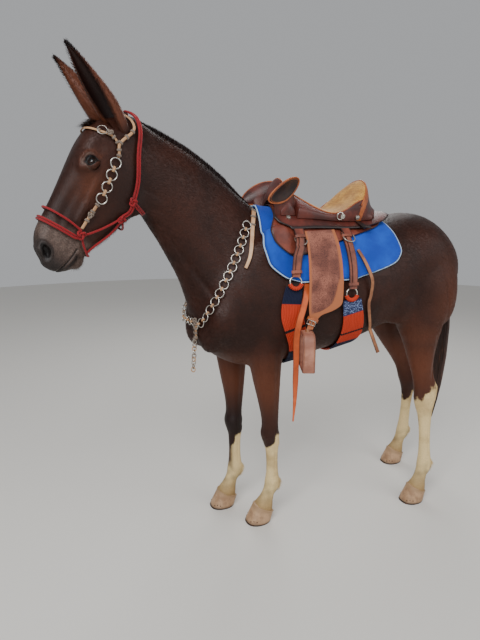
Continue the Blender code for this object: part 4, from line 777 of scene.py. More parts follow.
def ragged(points, size):
    """A smooth pattern between about -1 and 1 with features of the given size in metres."""
    x, y, z = (points / size).T
    return (np.sin(x * 2.1 + 1.7 * np.sin(y * 1.3 + 0.4)) + np.sin(y * 2.7 + 1.3 * np.sin(z * 1.1 + 2.0))
            + np.sin(z * 2.3 + 1.5 * np.sin(x * 1.7 + 1.1))) / 3


def markings(points):
    """The share of each marking at each point, from 0 to 1."""
    x, y, z = points.T
    down, depth, _ = in_head_frame(points)
    found = {name: np.zeros(len(points)) for name in MARKS}
    for leg, (edge, slant) in STOCKINGS.items():
        chosen = on_leg(leg, points) & (z < 0.8)
        line_y = leg_place(leg, edge)[1]
        level = edge - slant * smoothstep(0.02, -0.04, y - line_y) + 0.024 * ragged(points, 0.022) \
            + 0.008 * ragged(points, 0.006)
        white = 1 - smoothstep(-0.006, 0.010, z - level)
        white = white * (1 - 0.45 * hump(z, 0.15, 0.05) * (0.5 + 0.5 * ragged(points, 0.016)))
        if leg == "fore_right":
            streak = (hump(y, line_y - 0.030, 0.012)
                      * smoothstep(0.17, 0.24, z + 0.012 * ragged(points, 0.012)))
            white = white * (1 - 0.95 * streak)
        found["white"][chosen] = white[chosen]
    ahead = smoothstep(-0.80, -0.93, y) * smoothstep(1.08, 1.15, z)
    found["dark"] = 0.85 * smoothstep(0.075, 0.0, np.abs(x)) \
        * smoothstep(1.36, 1.46, z) * smoothstep(-0.20, -0.50, y) * (1 - smoothstep(0.02, 0.10, down) * ahead)
    found["dark"] = np.maximum(found["dark"], 0.7 * hump(z, 0.44, 0.10) * (z < 0.60) * (x < 0) * (y < 0.1))
    found["red"] = np.maximum.reduce([
        0.85 * hump(z, 0.70, 0.14) * smoothstep(0.92, 0.80, z),
        0.75 * smoothstep(0.30, 0.56, y) * hump(z, 1.02, 0.20),
        0.55 * hump(z, 0.86, 0.08) * smoothstep(0.10, 0.25, y),
        0.60 * smoothstep(0.16, 0.30, down) * smoothstep(0.40, 0.30, down) * hump(depth, -0.02, 0.05) * ahead,
        0.45 * smoothstep(0.86, 0.80, z) * smoothstep(-0.2, 0.0, y) * smoothstep(0.3, 0.1, y),
    ])
    muzzle = smoothstep(0.435, 0.500, down + 0.012 * ragged(points, 0.015)) * ahead
    lips = mouth_place(down, depth)
    hole = nostril_place(down, depth)
    dusky = smoothstep(0.515, 0.600, down - 0.25 * depth) * smoothstep(0.034, 0.018, depth)
    dusky = np.maximum(dusky, 0.95 * smoothstep(2.5, 1.3, hole))
    dusky = np.maximum(dusky, 0.8 * smoothstep(-0.078, -0.096, depth) * smoothstep(0.50, 0.54, down))
    dusky = np.maximum(dusky, hump(lips[1], 0.016, 0.012) * smoothstep(0.0, 0.2, lips[0]))
    found["mealy"] = muzzle * (0.78 + 0.22 * ragged(points, 0.010)) * (1 - 0.86 * np.clip(dusky, 0, 1))
    found["mealy"] = np.maximum(found["mealy"], hump(lips[1], -0.0032, 0.0024) * (lips[0] > 0.05) * ahead)
    found["grey"] = muzzle * np.clip(dusky, 0, 1)
    bare = 1 - smoothstep(0.85, 1.20, hole)
    bare = np.maximum(bare, 0.9 * hump(lips[1], 0.0, 0.0024) * (lips[0] > -0.05) * ahead)
    for side_name in SIDES:
        centre, out, toward, up = eye_frame(side_name)
        rel = points - centre
        a, b = rel @ toward, rel @ up
        gap = lid_gap(a + 0.12 * b, b)
        near = (np.linalg.norm(rel, axis=1) < 0.05) & (rel @ out > 0)
        bare = np.where(near, np.maximum(bare, 1 - smoothstep(0.0028, 0.0048, gap)), bare)
        pale = hump(gap, 0.0090, 0.0026) * smoothstep(-0.012, 0.012, a + 0.5 * b)
        found["mealy"] = np.where(near, np.maximum(found["mealy"], 0.70 * pale), found["mealy"])
        found["red"] = np.where(near, np.maximum(found["red"], 0.35 * hump(gap, 0.018, 0.010)), found["red"])
    found["bare"] = bare * smoothstep(0.10, 0.14, down) * (y < -0.9)
    return {name: np.clip(value, 0.0, 1.0) for name, value in found.items()}


def store(mesh, **values):
    """Writes point values that a material reads by name."""
    for name, numbers in values.items():
        mesh.attributes.new(name, "FLOAT", "POINT").data.foreach_set("value", np.array(numbers, np.float32))


store(skin.data, **markings(points_of(skin.data)))
print("markings:", ", ".join(MARKS))

# %% [markdown]
# Liver-brown hair on dark skin. Hair has an IOR of 1.55 and is glossy along its length, which on a horse's
# flank reads as a soft broad sheen: roughness near 0.45 with a little sheen. Single hairs are 0.05 mm
# thick, too fine to show, so their grain is drawn about 2 mm wide and 7 mm long.

# %% Coat material
COAT = {"base": "#29130C", "drift": "#3A1B10", "warm": "#63341F", "deep": "#160C0D", "white": "#E4CB95",
        "stain": "#8A6437", "mealy": "#746158", "grey": "#544740", "dusk": "#191414", "bare": "#0E0B0B",
        "lip": "#2B2322"}
HAIR_IOR = 1.55


def coat_material(name, on_hair):
    made, shader = finish(name, Roughness=0.46, IOR=HAIR_IOR, Specular_IOR_Level=0.24, Sheen_Weight=0.05,
                          Sheen_Roughness=0.4, Sheen_Tint="#A88A78")
    place = add("TexCoord")
    mark = {name: add("Attribute", attribute_name=name) for name in MARKS}
    drift = add("TexNoise", place, Scale=5.0, Detail=4.0, Roughness=0.6)
    along = add("Mapping", place, Scale=(1.0, 0.55, 0.35))
    grain = add("TexNoise", along, Scale=420.0, Detail=3.0, Roughness=0.7)
    fleck = add("TexNoise", place, Scale=230.0, Detail=4.0, Roughness=0.7)
    colour = add("Mix", add("MapRange", drift, 0.35, 0.68), COAT["base"], COAT["drift"])
    for name, code in (("red", "warm"), ("dark", "deep"), ("grey", "dusk")):
        colour = add("Mix", mark[name], colour, COAT[code])
    mealy = add("Mix", add("MapRange", fleck, 0.35, 0.65), COAT["grey"], COAT["mealy"])
    colour = add("Mix", mark["mealy"], colour, mealy)
    stain = add("MULTIPLY", add("MapRange", drift, 0.46, 0.72), 0.55)
    mud = add("SUBTRACT", 0.75, add("MapRange", add("SeparateXYZ", place), 0.06, 0.21))
    white = add("Mix", add("MAXIMUM", stain, mud), COAT["white"], COAT["stain"])
    colour = add("Mix", mark["white"], colour, white)
    colour = add("Mix", mark["bare"], colour, add("Mix", mark["mealy"], COAT["bare"], COAT["lip"]))
    shade = add("MULTIPLY_ADD", grain, 0.7, 0.62)
    colour = add("Mix", 1.0, colour, add("CombineColor", shade, shade, shade), blend_type="MULTIPLY")
    rough = add("ADD", add("MULTIPLY_ADD", grain, 0.22, 0.38), add("MULTIPLY", mark["white"], 0.18))
    paint(shader, Base_Color=colour, Roughness=rough)
    if not on_hair:
        paint(shader, Normal=add("Bump", grain, Strength=0.35, Distance=0.0012))
    return made


coat_on_skin = coat_material("short_liver_coat", False)
coat_on_hair = coat_material("short_liver_hair", True)
skin.data.materials.append(coat_on_skin)
for polygon in skin.data.polygons:
    polygon.use_smooth = True


def wear(piece, slot, *nodes):
    """Puts a piece drawn in the animal's own frame in its place, to ride with the body."""
    piece.location.y = AHEAD
    bpy.context.view_layer.update()
    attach(piece, "root")
    if nodes:
        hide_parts(*nodes)
    return piece


wear(skin, "short_coat", "head", "neck", "trunk", "fore_leg_left", "fore_leg_right", "hind_leg_left",
     "hind_leg_right")
print("coat colours", COAT["base"], COAT["warm"], COAT["deep"])

# %% [markdown]
# Pieces made of many strips share one way of being built: points and faces are collected in a pile, which
# then becomes one mesh. A strip along a path can be a strap, a rope or a lock of hair, by its outline.


# %% Piles of strips
def ring_faces(rings, count):
    """The quads between closed rings of points."""
    return [(r * count + k, r * count + (k + 1) % count, (r + 1) * count + (k + 1) % count,
             (r + 1) * count + k)
            for r in range(rings - 1) for k in range(count)]


class Pile:
    """Collects points and faces: each face's material, and each point's place on its strip and edge value."""

    def __init__(self):
        self.points, self.faces, self.slots, self.lay, self.edge = [], [], [], [], []

    def add(self, points, faces, slots=0, lay=None, edge=None):
        base = len(self.points)
        self.points += [tuple(p) for p in points]
        self.faces += [tuple(base + i for i in face) for face in faces]
        self.slots += [slots] * len(faces) if isinstance(slots, int) else slots
        self.lay += lay or [(0.0, 0.0)] * len(points)
        self.edge += edge or [0.0] * len(points)

    def sweep(self, path, outline, slot=0, widths=None, closed_path=False, caps=True, edge=None):
        """A closed outline of (across, out) pairs carried along (point, out direction) pairs. edge holds a
        value for each point of the outline."""
        count, ring = len(path), len(outline)
        points, lay, gone = [], [], 0.0
        for k, (point, out) in enumerate(path):
            before = path[k - 1][0] if k or closed_path else point
            after = path[(k + 1) % count][0] if k < count - 1 or closed_path else point
            along = (after - before).normalized()
            out = (out - along * out.dot(along)).normalized()
            across = along.cross(out)
            gone += (point - path[k - 1][0]).length if k else 0.0
            wide, high = widths[k] if widths is not None else (1.0, 1.0)
            for a, o in outline:
                points.append(point + across * a * wide + out * o * high)
                lay.append((a * wide, gone))
        faces = []
        for k in range(count if closed_path else count - 1):
            for j in range(ring):
                m, n = (j + 1) % ring, (k + 1) % count
                faces.append((k * ring + j, k * ring + m, n * ring + m, n * ring + j))
        if caps and not closed_path:
            faces.append(tuple(range(ring))[::-1])
            faces.append(tuple((count - 1) * ring + j for j in range(ring)))
        self.add(points, faces, slot, lay, edge and edge * count)

    def build(self, name, *materials, sharp=35):
        """The pile as an object. Edges sharper than an angle in degrees stay sharp, or none where it is 0."""
        mesh = bpy.data.meshes.new(name)
        mesh.from_pydata(self.points, [], self.faces)
        for made in materials:
            mesh.materials.append(made)
        mesh.polygons.foreach_set("material_index", self.slots)
        mesh.polygons.foreach_set("use_smooth", [True] * len(self.faces))
        corners = np.empty(len(mesh.loops), np.int32)
        mesh.loops.foreach_get("vertex_index", corners)
        layer = mesh.uv_layers.new(name="lay")
        layer.data.foreach_set("uv", np.array(self.lay, np.float32)[corners].ravel())
        if any(self.edge):
            store(mesh, edge=self.edge)
        mesh.update()
        mesh.validate()
        piece = new_object(name, mesh)
        if sharp:
            mesh.set_sharp_from_angle(angle=math.radians(sharp))
        return piece


def disc(count, radius=1.0):
    """A round outline."""
    return [(math.sin(math.tau * k / count) * radius, math.cos(math.tau * k / count) * radius)
            for k in range(count)]


print("strips ready")

# %% [markdown]
# ## Ears
# A mule's ear is a long cup whose edges nearly close low down and open to a dark slit. It is lofted from
# thick arcs, outside and inside in one closed ring, with a soft edge that carries hair.

# %% Ears
EAR_BASE, EAR_TIP, EAR_WIDTH = (0.062, -0.026, 0.055), (-0.062, -0.285, 0.085), 0.084
EAR_WALL, EAR_ARC_POINTS = 0.0045, 22
# Share of the way up, width, half angle of the slit, how far the middle bows to the back in metres
EAR_RINGS = (
    (-0.10, 0.62, 14, 0.000), (0.00, 0.82, 18, 0.000), (0.13, 0.96, 24, 0.003), (0.27, 1.00, 31, 0.006),
    (0.42, 0.93, 38, 0.007), (0.60, 0.74, 48, 0.006), (0.78, 0.48, 62, 0.003), (0.92, 0.22, 84, -0.001),
    (1.00, 0.06, 100, -0.004),
)


def ear_frame(sign):
    """The ear's base and tip, and the directions that its cup faces and that go across it."""
    base, tip = (head_point(down, depth, x * sign) for down, depth, x in (EAR_BASE, EAR_TIP))
    axis = (tip - base).normalized()
    facing = Vector((sign * 0.80, -0.55, -0.25))
    facing = (facing - axis * facing.dot(axis)).normalized()
    return base, tip, facing, axis.cross(facing)


def ear_ring(sign, share, width, opening, bow):
    """Points round the outside of the ear's wall and back along its inside."""
    base, tip, facing, across = ear_frame(sign)
    centre = base.lerp(tip, share) - facing * bow
    radius = EAR_WIDTH / 2 * max(width, 0.03)
    wall, last = min(EAR_WALL, radius * 0.5), EAR_ARC_POINTS - 1
    ring = []
    for inner, order in ((False, range(last + 1)), (True, range(last, -1, -1))):
        for k in order:
            angle = math.radians(opening + (360 - 2 * opening) * k / last)
            reach = radius - (wall if inner else 0.0) * (0.55 if k in (0, last) else 1.0)
            ring.append(bent(centre + (facing * math.cos(angle) * 0.85 + across * math.sin(angle)) * reach))
    return ring


ear_roots = []
for side, sign in SIDES.items():
    rings = [ear_ring(sign, *row) for row in between(EAR_RINGS, 5)]
    count, half = len(rings[0]), EAR_ARC_POINTS
    last = (len(rings) - 1) * count
    faces = ring_faces(len(rings), count)
    faces += [(last + k, last + k + 1, last + count - 2 - k, last + count - 1 - k) for k in range(half - 1)]
    pile = Pile()
    pile.add([p for ring in rings for p in ring], faces)
    ear = pile.build(f"ear_shell_{side}", coat_on_skin, sharp=0)
    grid = bmesh.new()
    grid.from_mesh(ear.data)
    bmesh.ops.recalc_face_normals(grid, faces=grid.faces)
    grid.to_mesh(ear.data)
    grid.free()
    inside = np.array([[0.0] * half + [1.0] * half for _ in rings]).ravel()
    height = np.repeat(np.linspace(0, 1, len(rings)), count)
    values = {name: np.zeros(len(inside)) for name in MARKS}
    values["dark"] = np.maximum(inside * (0.75 - 0.25 * height), smoothstep(0.80, 0.97, height))
    values["red"] = (1 - inside) * 0.85 * smoothstep(0.02, 0.25, height)
    values["bare"] = inside * 0.55 * (1 - height)
    store(ear.data, **values)
    wear(ear, "short_coat", f"ear_{side}")
    for r in range(2, len(rings) - 1):
        centre = sum(rings[r][:half], Vector()) / half
        for k in range(half):
            here = rings[r][k]
            up = (rings[r + 1][k] - rings[r - 1][k]).normalized()
            ear_roots.append((here, (here - centre).normalized(), up, k in (0, half - 1), r / len(rings)))
print("ears of", len(rings), "rings each")

# %% [markdown]
# ## Eyes
# The eyeball is a sphere with a cornea that stands 1.2 mm proud, set so deep that the lids cover all but an
# almond. The wet film over it has an IOR of 1.34 and little roughness, which gives the sharp highlight.

# %% Eyes
CORNEA_HEIGHT, PUPIL_HALF = 0.0012, (0.36, 0.20)
IRIS_EDGE = 0.80

eye_wet, shader = finish("wet_brown_eye", Roughness=0.10, IOR=1.34, Coat_Weight=0.2, Coat_Roughness=0.03)
ring_share = add("Attribute", attribute_name="from_axis")
pupil_share = add("Attribute", attribute_name="from_pupil")
colour = add("Mix", add("TexNoise", add("TexCoord"), Scale=700.0, Detail=3.0), "#150B07", "#2A160C")
colour = add("Mix", add("MapRange", ring_share, 0.66, 0.80), colour, "#120B09")
colour = add("Mix", add("MapRange", ring_share, 0.84, 0.95), colour, "#1A110D")
colour = add("Mix", add("MapRange", pupil_share, 0.9, 1.1), "#04050A", colour)
paint(shader, Base_Color=colour)

for side in SIDES:
    centre, out, ahead, up = (Vector(v) for v in eye_frame(side))
    out = (out + ahead * 0.16).normalized()
    grid = bmesh.new()
    bmesh.ops.create_uvsphere(grid, u_segments=48, v_segments=32, radius=EYE_RADIUS)
    turn = out.to_track_quat("Z", "Y").to_matrix().to_4x4()
    bmesh.ops.transform(grid, matrix=turn, verts=grid.verts)
    from_axis, from_pupil = [], []
    for vertex in grid.verts:
        way = vertex.co.normalized()
        angle = way.angle(out)
        vertex.co += way * CORNEA_HEIGHT * float(smoothstep(0.72, 0.45, angle))
        from_axis.append(angle / IRIS_EDGE)
        behind = 10 if way.dot(out) < 0 else 0
        from_pupil.append(math.hypot(way.dot(ahead) / PUPIL_HALF[0], way.dot(up) / PUPIL_HALF[1]) + behind)
    bmesh.ops.translate(grid, vec=centre, verts=grid.verts)
    eyeball = new_object(f"eyeball_{side}", grid)
    store(eyeball.data, from_axis=from_axis, from_pupil=from_pupil)
    for polygon in eyeball.data.polygons:
        polygon.use_smooth = True
    eyeball.data.materials.append(eye_wet)
    wear(eyeball, "eye", f"eye_{side}")
print("eyeballs", EYE_RADIUS * 2000, "mm across")

# %% [markdown]
# ## Hooves
# Horn is keratin, as nails are: IOR 1.55, half glossy, pale pinkish brown here, with growth rings 3 to 4 mm
# apart that follow the coronet, and dirt in them. A thin iron shoe shows as a dark rim with nail heads
# above it.

# %% Hoof horn and shoe iron
GROWTH_RING = 0.0036

horn, shader = finish("pale_hoof_horn", Roughness=0.48, IOR=1.55)
up_wall, place = add("SeparateXYZ", add("UVMap"), out="Y"), add("TexCoord")
wander = add("MULTIPLY", add("TexNoise", place, Scale=60.0, Detail=3.0), 5.0)
rings_at = add("SINE", add("MULTIPLY_ADD", up_wall, math.tau / GROWTH_RING, wander))
dirt = add("TexNoise", place, Scale=24.0, Detail=5.0, Roughness=0.65)
tone = add("Mix", add("MapRange", dirt, 0.38, 0.66), "#C9A27C", "#A07A58")
tone = add("Mix", add("MULTIPLY_ADD", rings_at, 0.12, 0.14), tone, "#6E5038")
tone = add("Mix", add("MapRange", up_wall, 0.060, 0.078), tone, "#A98763")
tone = add("Mix", add("SUBTRACT", 1.0, add("MapRange", up_wall, 0.004, 0.022)), tone, "#7D6148")
paint(shader, Base_Color=tone, Normal=add("Bump", rings_at, Strength=0.5, Distance=0.0009))

shoe_iron, shader = finish("worn_shoe_iron", Roughness=0.42, Metallic=1.0)
rust = add("TexNoise", add("TexCoord"), Scale=160.0, Detail=4.0)
paint(shader, Base_Color=add("Mix", add("MapRange", rust, 0.45, 0.62), "#4A4744", "#5B3B29"),
      Normal=add("Bump", rust, Strength=0.4, Distance=0.0006))
print("growth rings every", GROWTH_RING * 1000, "mm")

# %% [markdown]
# The hoof is one wall of rings that lean from the ground to the coronet. The skin above is drawn in a
# little where it goes under the horn, so that it never pokes through the wall.

# %% Hooves
# Y and Z of the coronet in front and behind, Y of toe and heel on the ground, half widths above and below
HOOF = {
    "fore": ((-0.086, 0.088), (0.006, 0.048), (-0.129, -0.012), 0.043, 0.053),
    "hind": ((-0.083, 0.087), (0.006, 0.048), (-0.126, -0.010), 0.041, 0.050),
}
FETLOCK_Z, SHOE_SHARE = 0.10, 0.085
NAILS, NAIL_SHARE, NAIL_RADIUS = (-62, -44, -28, 28, 44, 62), 0.14, 0.0026


def coronet_height(leg, y):
    """Height of the top of the hoof at a Y."""
    (front_y, front_z), (back_y, back_z) = HOOF[leg[:4]][:2]
    line_y = leg_place(leg, FETLOCK_Z)[1]
    return front_z + (back_z - front_z) * (y - line_y - front_y) / (back_y - front_y)


place = points_of(skin.data)
for leg in STANCE:
    (front_y, _), (back_y, _) = HOOF[leg[:4]][:2]
    leg_x, leg_y = leg_place(leg, FETLOCK_Z)
    middle = np.array([leg_x, leg_y + (front_y + back_y) / 2])
    near = (np.abs(place[:, 0] - leg_x) < 0.09) & (np.abs(place[:, 1] - leg_y) < 0.16) & (place[:, 2] < 0.12)
    under = smoothstep(0.001, -0.010, place[:, 2] - coronet_height(leg, place[:, 1])) * near
    place[:, :2] -= (place[:, :2] - middle) * 0.20 * under[:, None]
put_points(skin.data, place)


def wall_point(leg, share, angle, swell=0.0):
    """A point of the hoof's wall. share runs from the ground to the coronet, and swell stands out from it."""
    (front_y, front_z), (back_y, back_z), (toe_y, heel_y), top_half, ground_half = HOOF[leg[:4]]
    leg_x, leg_y = leg_place(leg, FETLOCK_Z)
    f_y, b_y = toe_y + (front_y - toe_y) * share, heel_y + (back_y - heel_y) * share
    f_z, b_z = front_z * share, back_z * share
    half = ground_half + (top_half - ground_half) * share
    along = 0.5 + 0.5 * math.copysign(abs(math.cos(angle)) ** 0.9, math.cos(angle))
    across = math.copysign(abs(math.sin(angle)) ** 0.8, math.sin(angle)) * (half + swell)
    heel = 0.006 * max(0.0, -math.cos(angle)) ** 6 * math.cos(4 * angle)
    return Vector((leg_x + across, leg_y + b_y + (f_y - b_y) * along - heel - swell * math.cos(angle),
                   b_z + (f_z - b_z) * along))


WALL_STEPS, WALL_COUNT, SHOE_RINGS = 16, 56, 2
shares = [0.0, SHOE_SHARE, SHOE_SHARE] + list(np.linspace(SHOE_SHARE + 0.005, 0.90, WALL_STEPS))
shares += [0.95, 1.0, 1.0, 1.0]
swells = [-0.0008, -0.0008, 0.0] + [0.0] * WALL_STEPS + [0.0016, 0.0006, -0.006, -0.016]
wall_rows = list(zip(shares, swells))
for leg in STANCE:
    pile = Pile()
    for slot, part in ((1, wall_rows[:SHOE_RINGS]), (0, wall_rows[SHOE_RINGS:])):
        spots = [(share, swell, k / WALL_COUNT) for share, swell in part for k in range(WALL_COUNT)]
        faces = ring_faces(len(part), WALL_COUNT)
        if slot == 1:
            faces.append(tuple(range(WALL_COUNT))[::-1])
        pile.add([wall_point(leg, share, math.tau * turn, swell) for share, swell, turn in spots], faces,
                 slot,
                 [(turn, share * HOOF[leg[:4]][0][1]) for share, _, turn in spots])
    for degrees in NAILS:
        angle = math.radians(degrees)
        spot = wall_point(leg, SHOE_SHARE + NAIL_SHARE + 0.03 * math.cos(degrees), angle, 0.0002)
        away = (wall_point(leg, SHOE_SHARE + NAIL_SHARE, angle, 0.010)
                - wall_point(leg, SHOE_SHARE + NAIL_SHARE, angle)).normalized()
        path = [(spot + away * reach, Vector((0, 0, 1))) for reach in (-0.001, 0.0011)]
        pile.sweep(path, disc(8, NAIL_RADIUS), 1)
    wear(pile.build(f"hoof_horn_{leg}", horn, shoe_iron), "hoof_horn", f"hoof_{leg}")
print("hooves with", len(NAILS), "nails each")

# %% [markdown]
# ## Hair
# Each tuft is a thin blade of five points that leaves the skin at a low angle and follows the lie of the
# coat: down the face, back along the neck and barrel, down the legs. Blender's hair curves would look the
# same here but aren't solid mesh. Roots are drawn at random from the skin's triangles, by area and by how
# fine the hair is.


# %% Roots on the skin
def triangles_of(mesh):
    mesh.calc_loop_triangles()
    values = np.empty(len(mesh.loop_triangles) * 3, np.int32)
    mesh.loop_triangles.foreach_get("vertices", values)
    return values.reshape(-1, 3)


skin_points, skin_normals = points_of(skin.data), normals_of(skin.data)
skin_faces = triangles_of(skin.data)
corners = skin_points[skin_faces]
face_areas = np.linalg.norm(np.cross(corners[:, 1] - corners[:, 0], corners[:, 2] - corners[:, 0]),
                            axis=1) / 2
face_middles = corners.mean(axis=1)


def draw_roots(count, weight):
    """Random places on the skin's triangles, with their normals."""
    share = face_areas * weight
    chosen = rng.choice(len(skin_faces), count, p=share / share.sum())
    u, v = rng.random(count), rng.random(count)
    over = u + v > 1
    u[over], v[over] = 1 - u[over], 1 - v[over]
    weights = np.stack([1 - u - v, u, v], axis=1)[:, :, None]
    places = (corners[chosen] * weights).sum(axis=1)
    normals = (skin_normals[skin_faces[chosen]] * weights).sum(axis=1)
    return places, normals / np.linalg.norm(normals, axis=1)[:, None]


def lie_of_coat(points):
    """The direction that the hair points in, before it is laid flat on the skin."""
    x, y, z = points.T
    down, depth, _ = in_head_frame(points)
    head = (smoothstep(0.0, 0.10, down) * smoothstep(-0.84, -0.96, y) * (z > 1.15))[:, None]
    leg = smoothstep(0.95, 0.75, z)[:, None]
    face = np.array([0.0, -math.sin(FACE_LEAN), -math.cos(FACE_LEAN)]) * np.ones((len(points), 1))
    face[:, 1] += 0.8 * smoothstep(0.05, 0.16, depth)
    trunk = np.stack([np.zeros(len(points)), 0.85 - 0.5 * smoothstep(0.35, 0.6, y), -0.45
                      - 0.6 * smoothstep(0.35, 0.6, y)], axis=1)
    trunk[:, 0] += np.sign(x) * 0.3 * smoothstep(1.30, 1.42, z)
    legs = np.array([0.0, 0.18, -1.0]) * np.ones((len(points), 1))
    way = trunk * (1 - leg) + legs * leg
    way = way * (1 - head) + face * head
    return way / np.linalg.norm(way, axis=1)[:, None]


def unit(rows):
    return rows / np.maximum(np.linalg.norm(rows, axis=1), 1e-9)[:, None]


def unwrap(points, region):
    """A place in the unit square for each root: round the body part, and along it."""
    x, y, z = points.T
    if region == "head":
        down, depth, side = in_head_frame(points)
        round_it = np.arctan2(side, 0.03 - depth) / math.tau + 0.5
        along = (down + 0.06) / 0.72
    elif region == "legs":
        round_it, along = np.zeros(len(points)), z / 0.92
        for number, leg in enumerate(STANCE):
            chosen = on_leg(leg, points)
            line = np.array([leg_place(leg, value) for value in np.linspace(0, 1, 50)])
            line_x = np.interp(z[chosen], np.linspace(0, 1, 50), line[:, 0])
            line_y = np.interp(z[chosen], np.linspace(0, 1, 50), line[:, 1])
            angle = np.arctan2(x[chosen] - line_x, y[chosen] - line_y) / math.tau + 0.5
            round_it[chosen] = (number + 0.04 + 0.92 * angle) / 4
    elif region == "neck":
        round_it = np.arctan2(x, z - 1.45) / math.tau + 0.5
        along = (y + 1.02) / 0.75
    else:
        round_it = np.arctan2(x, z - 1.12) / math.tau + 0.5
        along = (y + 0.75) / 1.45
    return np.stack([0.01 + 0.98 * np.clip(round_it, 0, 1), 0.01 + 0.98 * np.clip(along, 0, 1)], axis=1)


PATCH = 0.003
BLADE_PATCH = np.array([(-0.5, -0.5), (0.5, -0.5), (0.5, 0.3), (-0.5, 0.3), (0.0, 0.5)]) * PATCH


def build_blades(name, roots, normals, ways, lengths, widths, rises, where, material, marks=None, bow=0.0):
    """One mesh of blades of five points each. rises is how far the tip stands off the skin, and bow bends the
    blade's middle out or in, both as shares of its length."""
    count = len(roots)
    flat = unit(ways - normals * (ways * normals).sum(axis=1)[:, None])
    across = np.cross(normals, flat)
    length, width = lengths[:, None], widths[:, None]
    rise = rises[:, None] * length
    base = roots - normals * 0.0006
    middle = roots + flat * length * 0.5 + normals * (rise * 0.55 + bow * length)
    tip = roots + flat * length + normals * rise
    points = np.stack([base - across * width * 0.5, base + across * width * 0.5,
                       middle + across * width * 0.42,
                       middle - across * width * 0.42, tip], axis=1).reshape(-1, 3)
    mesh = bpy.data.meshes.new(name)
    mesh.vertices.add(count * 5)
    mesh.vertices.foreach_set("co", points.astype(np.float32).ravel())
    start = (np.arange(count) * 5)[:, None]
    corner = (start + np.array([0, 1, 2, 3, 3, 2, 4])).ravel()
    mesh.loops.add(count * 7)
    mesh.loops.foreach_set("vertex_index", corner.astype(np.int32))
    mesh.polygons.add(count * 2)
    mesh.polygons.foreach_set("loop_start",
                              (np.arange(count)[:, None] * 7 + np.array([0, 4])).ravel().astype(np.int32))
    mesh.update(calc_edges=True)
    mesh.polygons.foreach_set("use_smooth", [True] * (count * 2))
    patch = (where[:, None, :] + BLADE_PATCH[None]).reshape(-1, 2)
    layer = mesh.uv_layers.new(name="OFBake")
    layer.data.foreach_set("uv", patch[corner].astype(np.float32).ravel())
    mesh.materials.append(material)
    found = markings(roots) if marks is None else marks
    store(mesh, **{mark: np.repeat(found.get(mark, np.zeros(count)), 5) for mark in MARKS})
    return new_object(name, mesh)


print("the skin measures", round(float(face_areas.sum()), 2), "square metres")

# %% [markdown]
# The coat is parted into regions only to keep each piece light. Tufts are 3 to 8 mm long on the head, 5 to
# 12 mm on the legs and 9 to 15 mm on the body, and 1 to 2 mm wide where a real hair is 0.05 mm. Under the
# pad and inside the nostrils there are none.


# %% The short coat
def region_weights():
    _, y, z = face_middles.T
    down = in_head_frame(face_middles)[0]
    marks = markings(face_middles)
    open_skin = 1 - np.clip(marks["bare"] * 1.5, 0, 1)
    pad_hides = (z > 1.17) & (y > -0.36) & (y < 0.14)
    head = (down > -0.02) & (y < -0.90) & (z > 1.12)
    legs = z < 0.86
    above_hoof = np.ones(len(z), bool)
    for leg in STANCE:
        chosen = on_leg(leg, face_middles) & (z < 0.12)
        above_hoof[chosen] = z[chosen] > coronet_height(leg, y[chosen]) + 0.001
    neck = ~head & ~legs & (y < -0.46)
    body = ~head & ~legs & ~neck & ~pad_hides
    fine = 1 + 1.5 * smoothstep(0.36, 0.50, down) * head
    return {"head": head * open_skin * fine, "legs": legs * above_hoof * (1 + 0.8 * (z < 0.5)),
            "neck": neck * 1.0,
            "fore_body": body * (y < 0.10), "hind_body": body * (y >= 0.10)}


COAT_TUFTS = {"head": 60000, "neck": 46000, "fore_body": 42000, "hind_body": 56000, "legs": 60000}
QUICK_SHARE = 1.0
total = 0
for region, weight in region_weights().items():
    count = int(COAT_TUFTS[region] * QUICK_SHARE)
    roots, normals = draw_roots(count, weight.astype(np.float64))
    down = in_head_frame(roots)[0]
    if region == "head":
        size = 0.0062 - 0.0022 * smoothstep(0.35, 0.52, down)
        width = 0.0010
    elif region == "legs":
        size = 0.0060 + 0.0040 * smoothstep(0.25, 0.80, roots[:, 2])
        width = 0.0012
    else:
        size, width = np.full(count, 0.0120), 0.0017
    size = size * (0.75 + 0.5 * rng.random(count))
    ways = unit(lie_of_coat(roots) + rng.normal(0, 0.16, (count, 3)))
    rises = 0.10 + 0.10 * rng.random(count)
    coat = build_blades(f"coat_{region}", roots, normals, ways, size, width * (0.7 + 0.6 * rng.random(count)),
                        rises,
                        unwrap(roots, region), coat_on_hair)
    wear(coat, "short_coat")
    total += count * 3
print("short coat:", total, "triangles")

# %% [markdown]
# Longer hair breaks the outline: along the edges of the ears, behind the fetlocks, under the jaw and round
# the coronets, with lashes on the upper lids and the forelock between the ears.

# %% Longer hair
EDGE_HAIRS, SHELL_HAIRS, LASHES = 2600, 9000, 70


def strands(name, roots, normals, ways, lengths, width, rises, marks, slot="long_hair", bow=0.0):
    """Blades of one width from given roots, worn as a piece of their own."""
    roots, normals, ways = (np.array(v, float) for v in (roots, normals, ways))
    count = len(roots)
    where = (0.05 + 0.9
             * np.stack([np.modf(np.arange(count) * 0.618)[0], np.arange(count) / max(count, 1)], axis=1))
    made = build_blades(name, roots, unit(normals), unit(ways), np.array(lengths, float),
                        np.full(count, width),
                        np.array(rises, float), where, coat_on_hair, marks, bow)
    return wear(made, slot)


def drawn(on_edge, count):
    """Random roots on the ears' edge or shell: places, normals, ways up and shares of the height."""
    rows = [row for row in ear_roots if row[3] == on_edge]
    at, out, up, _, share = zip(*(rows[i] for i in rng.integers(0, len(rows), count)))
    return (np.array(column, float) for column in (at, out, up, share))


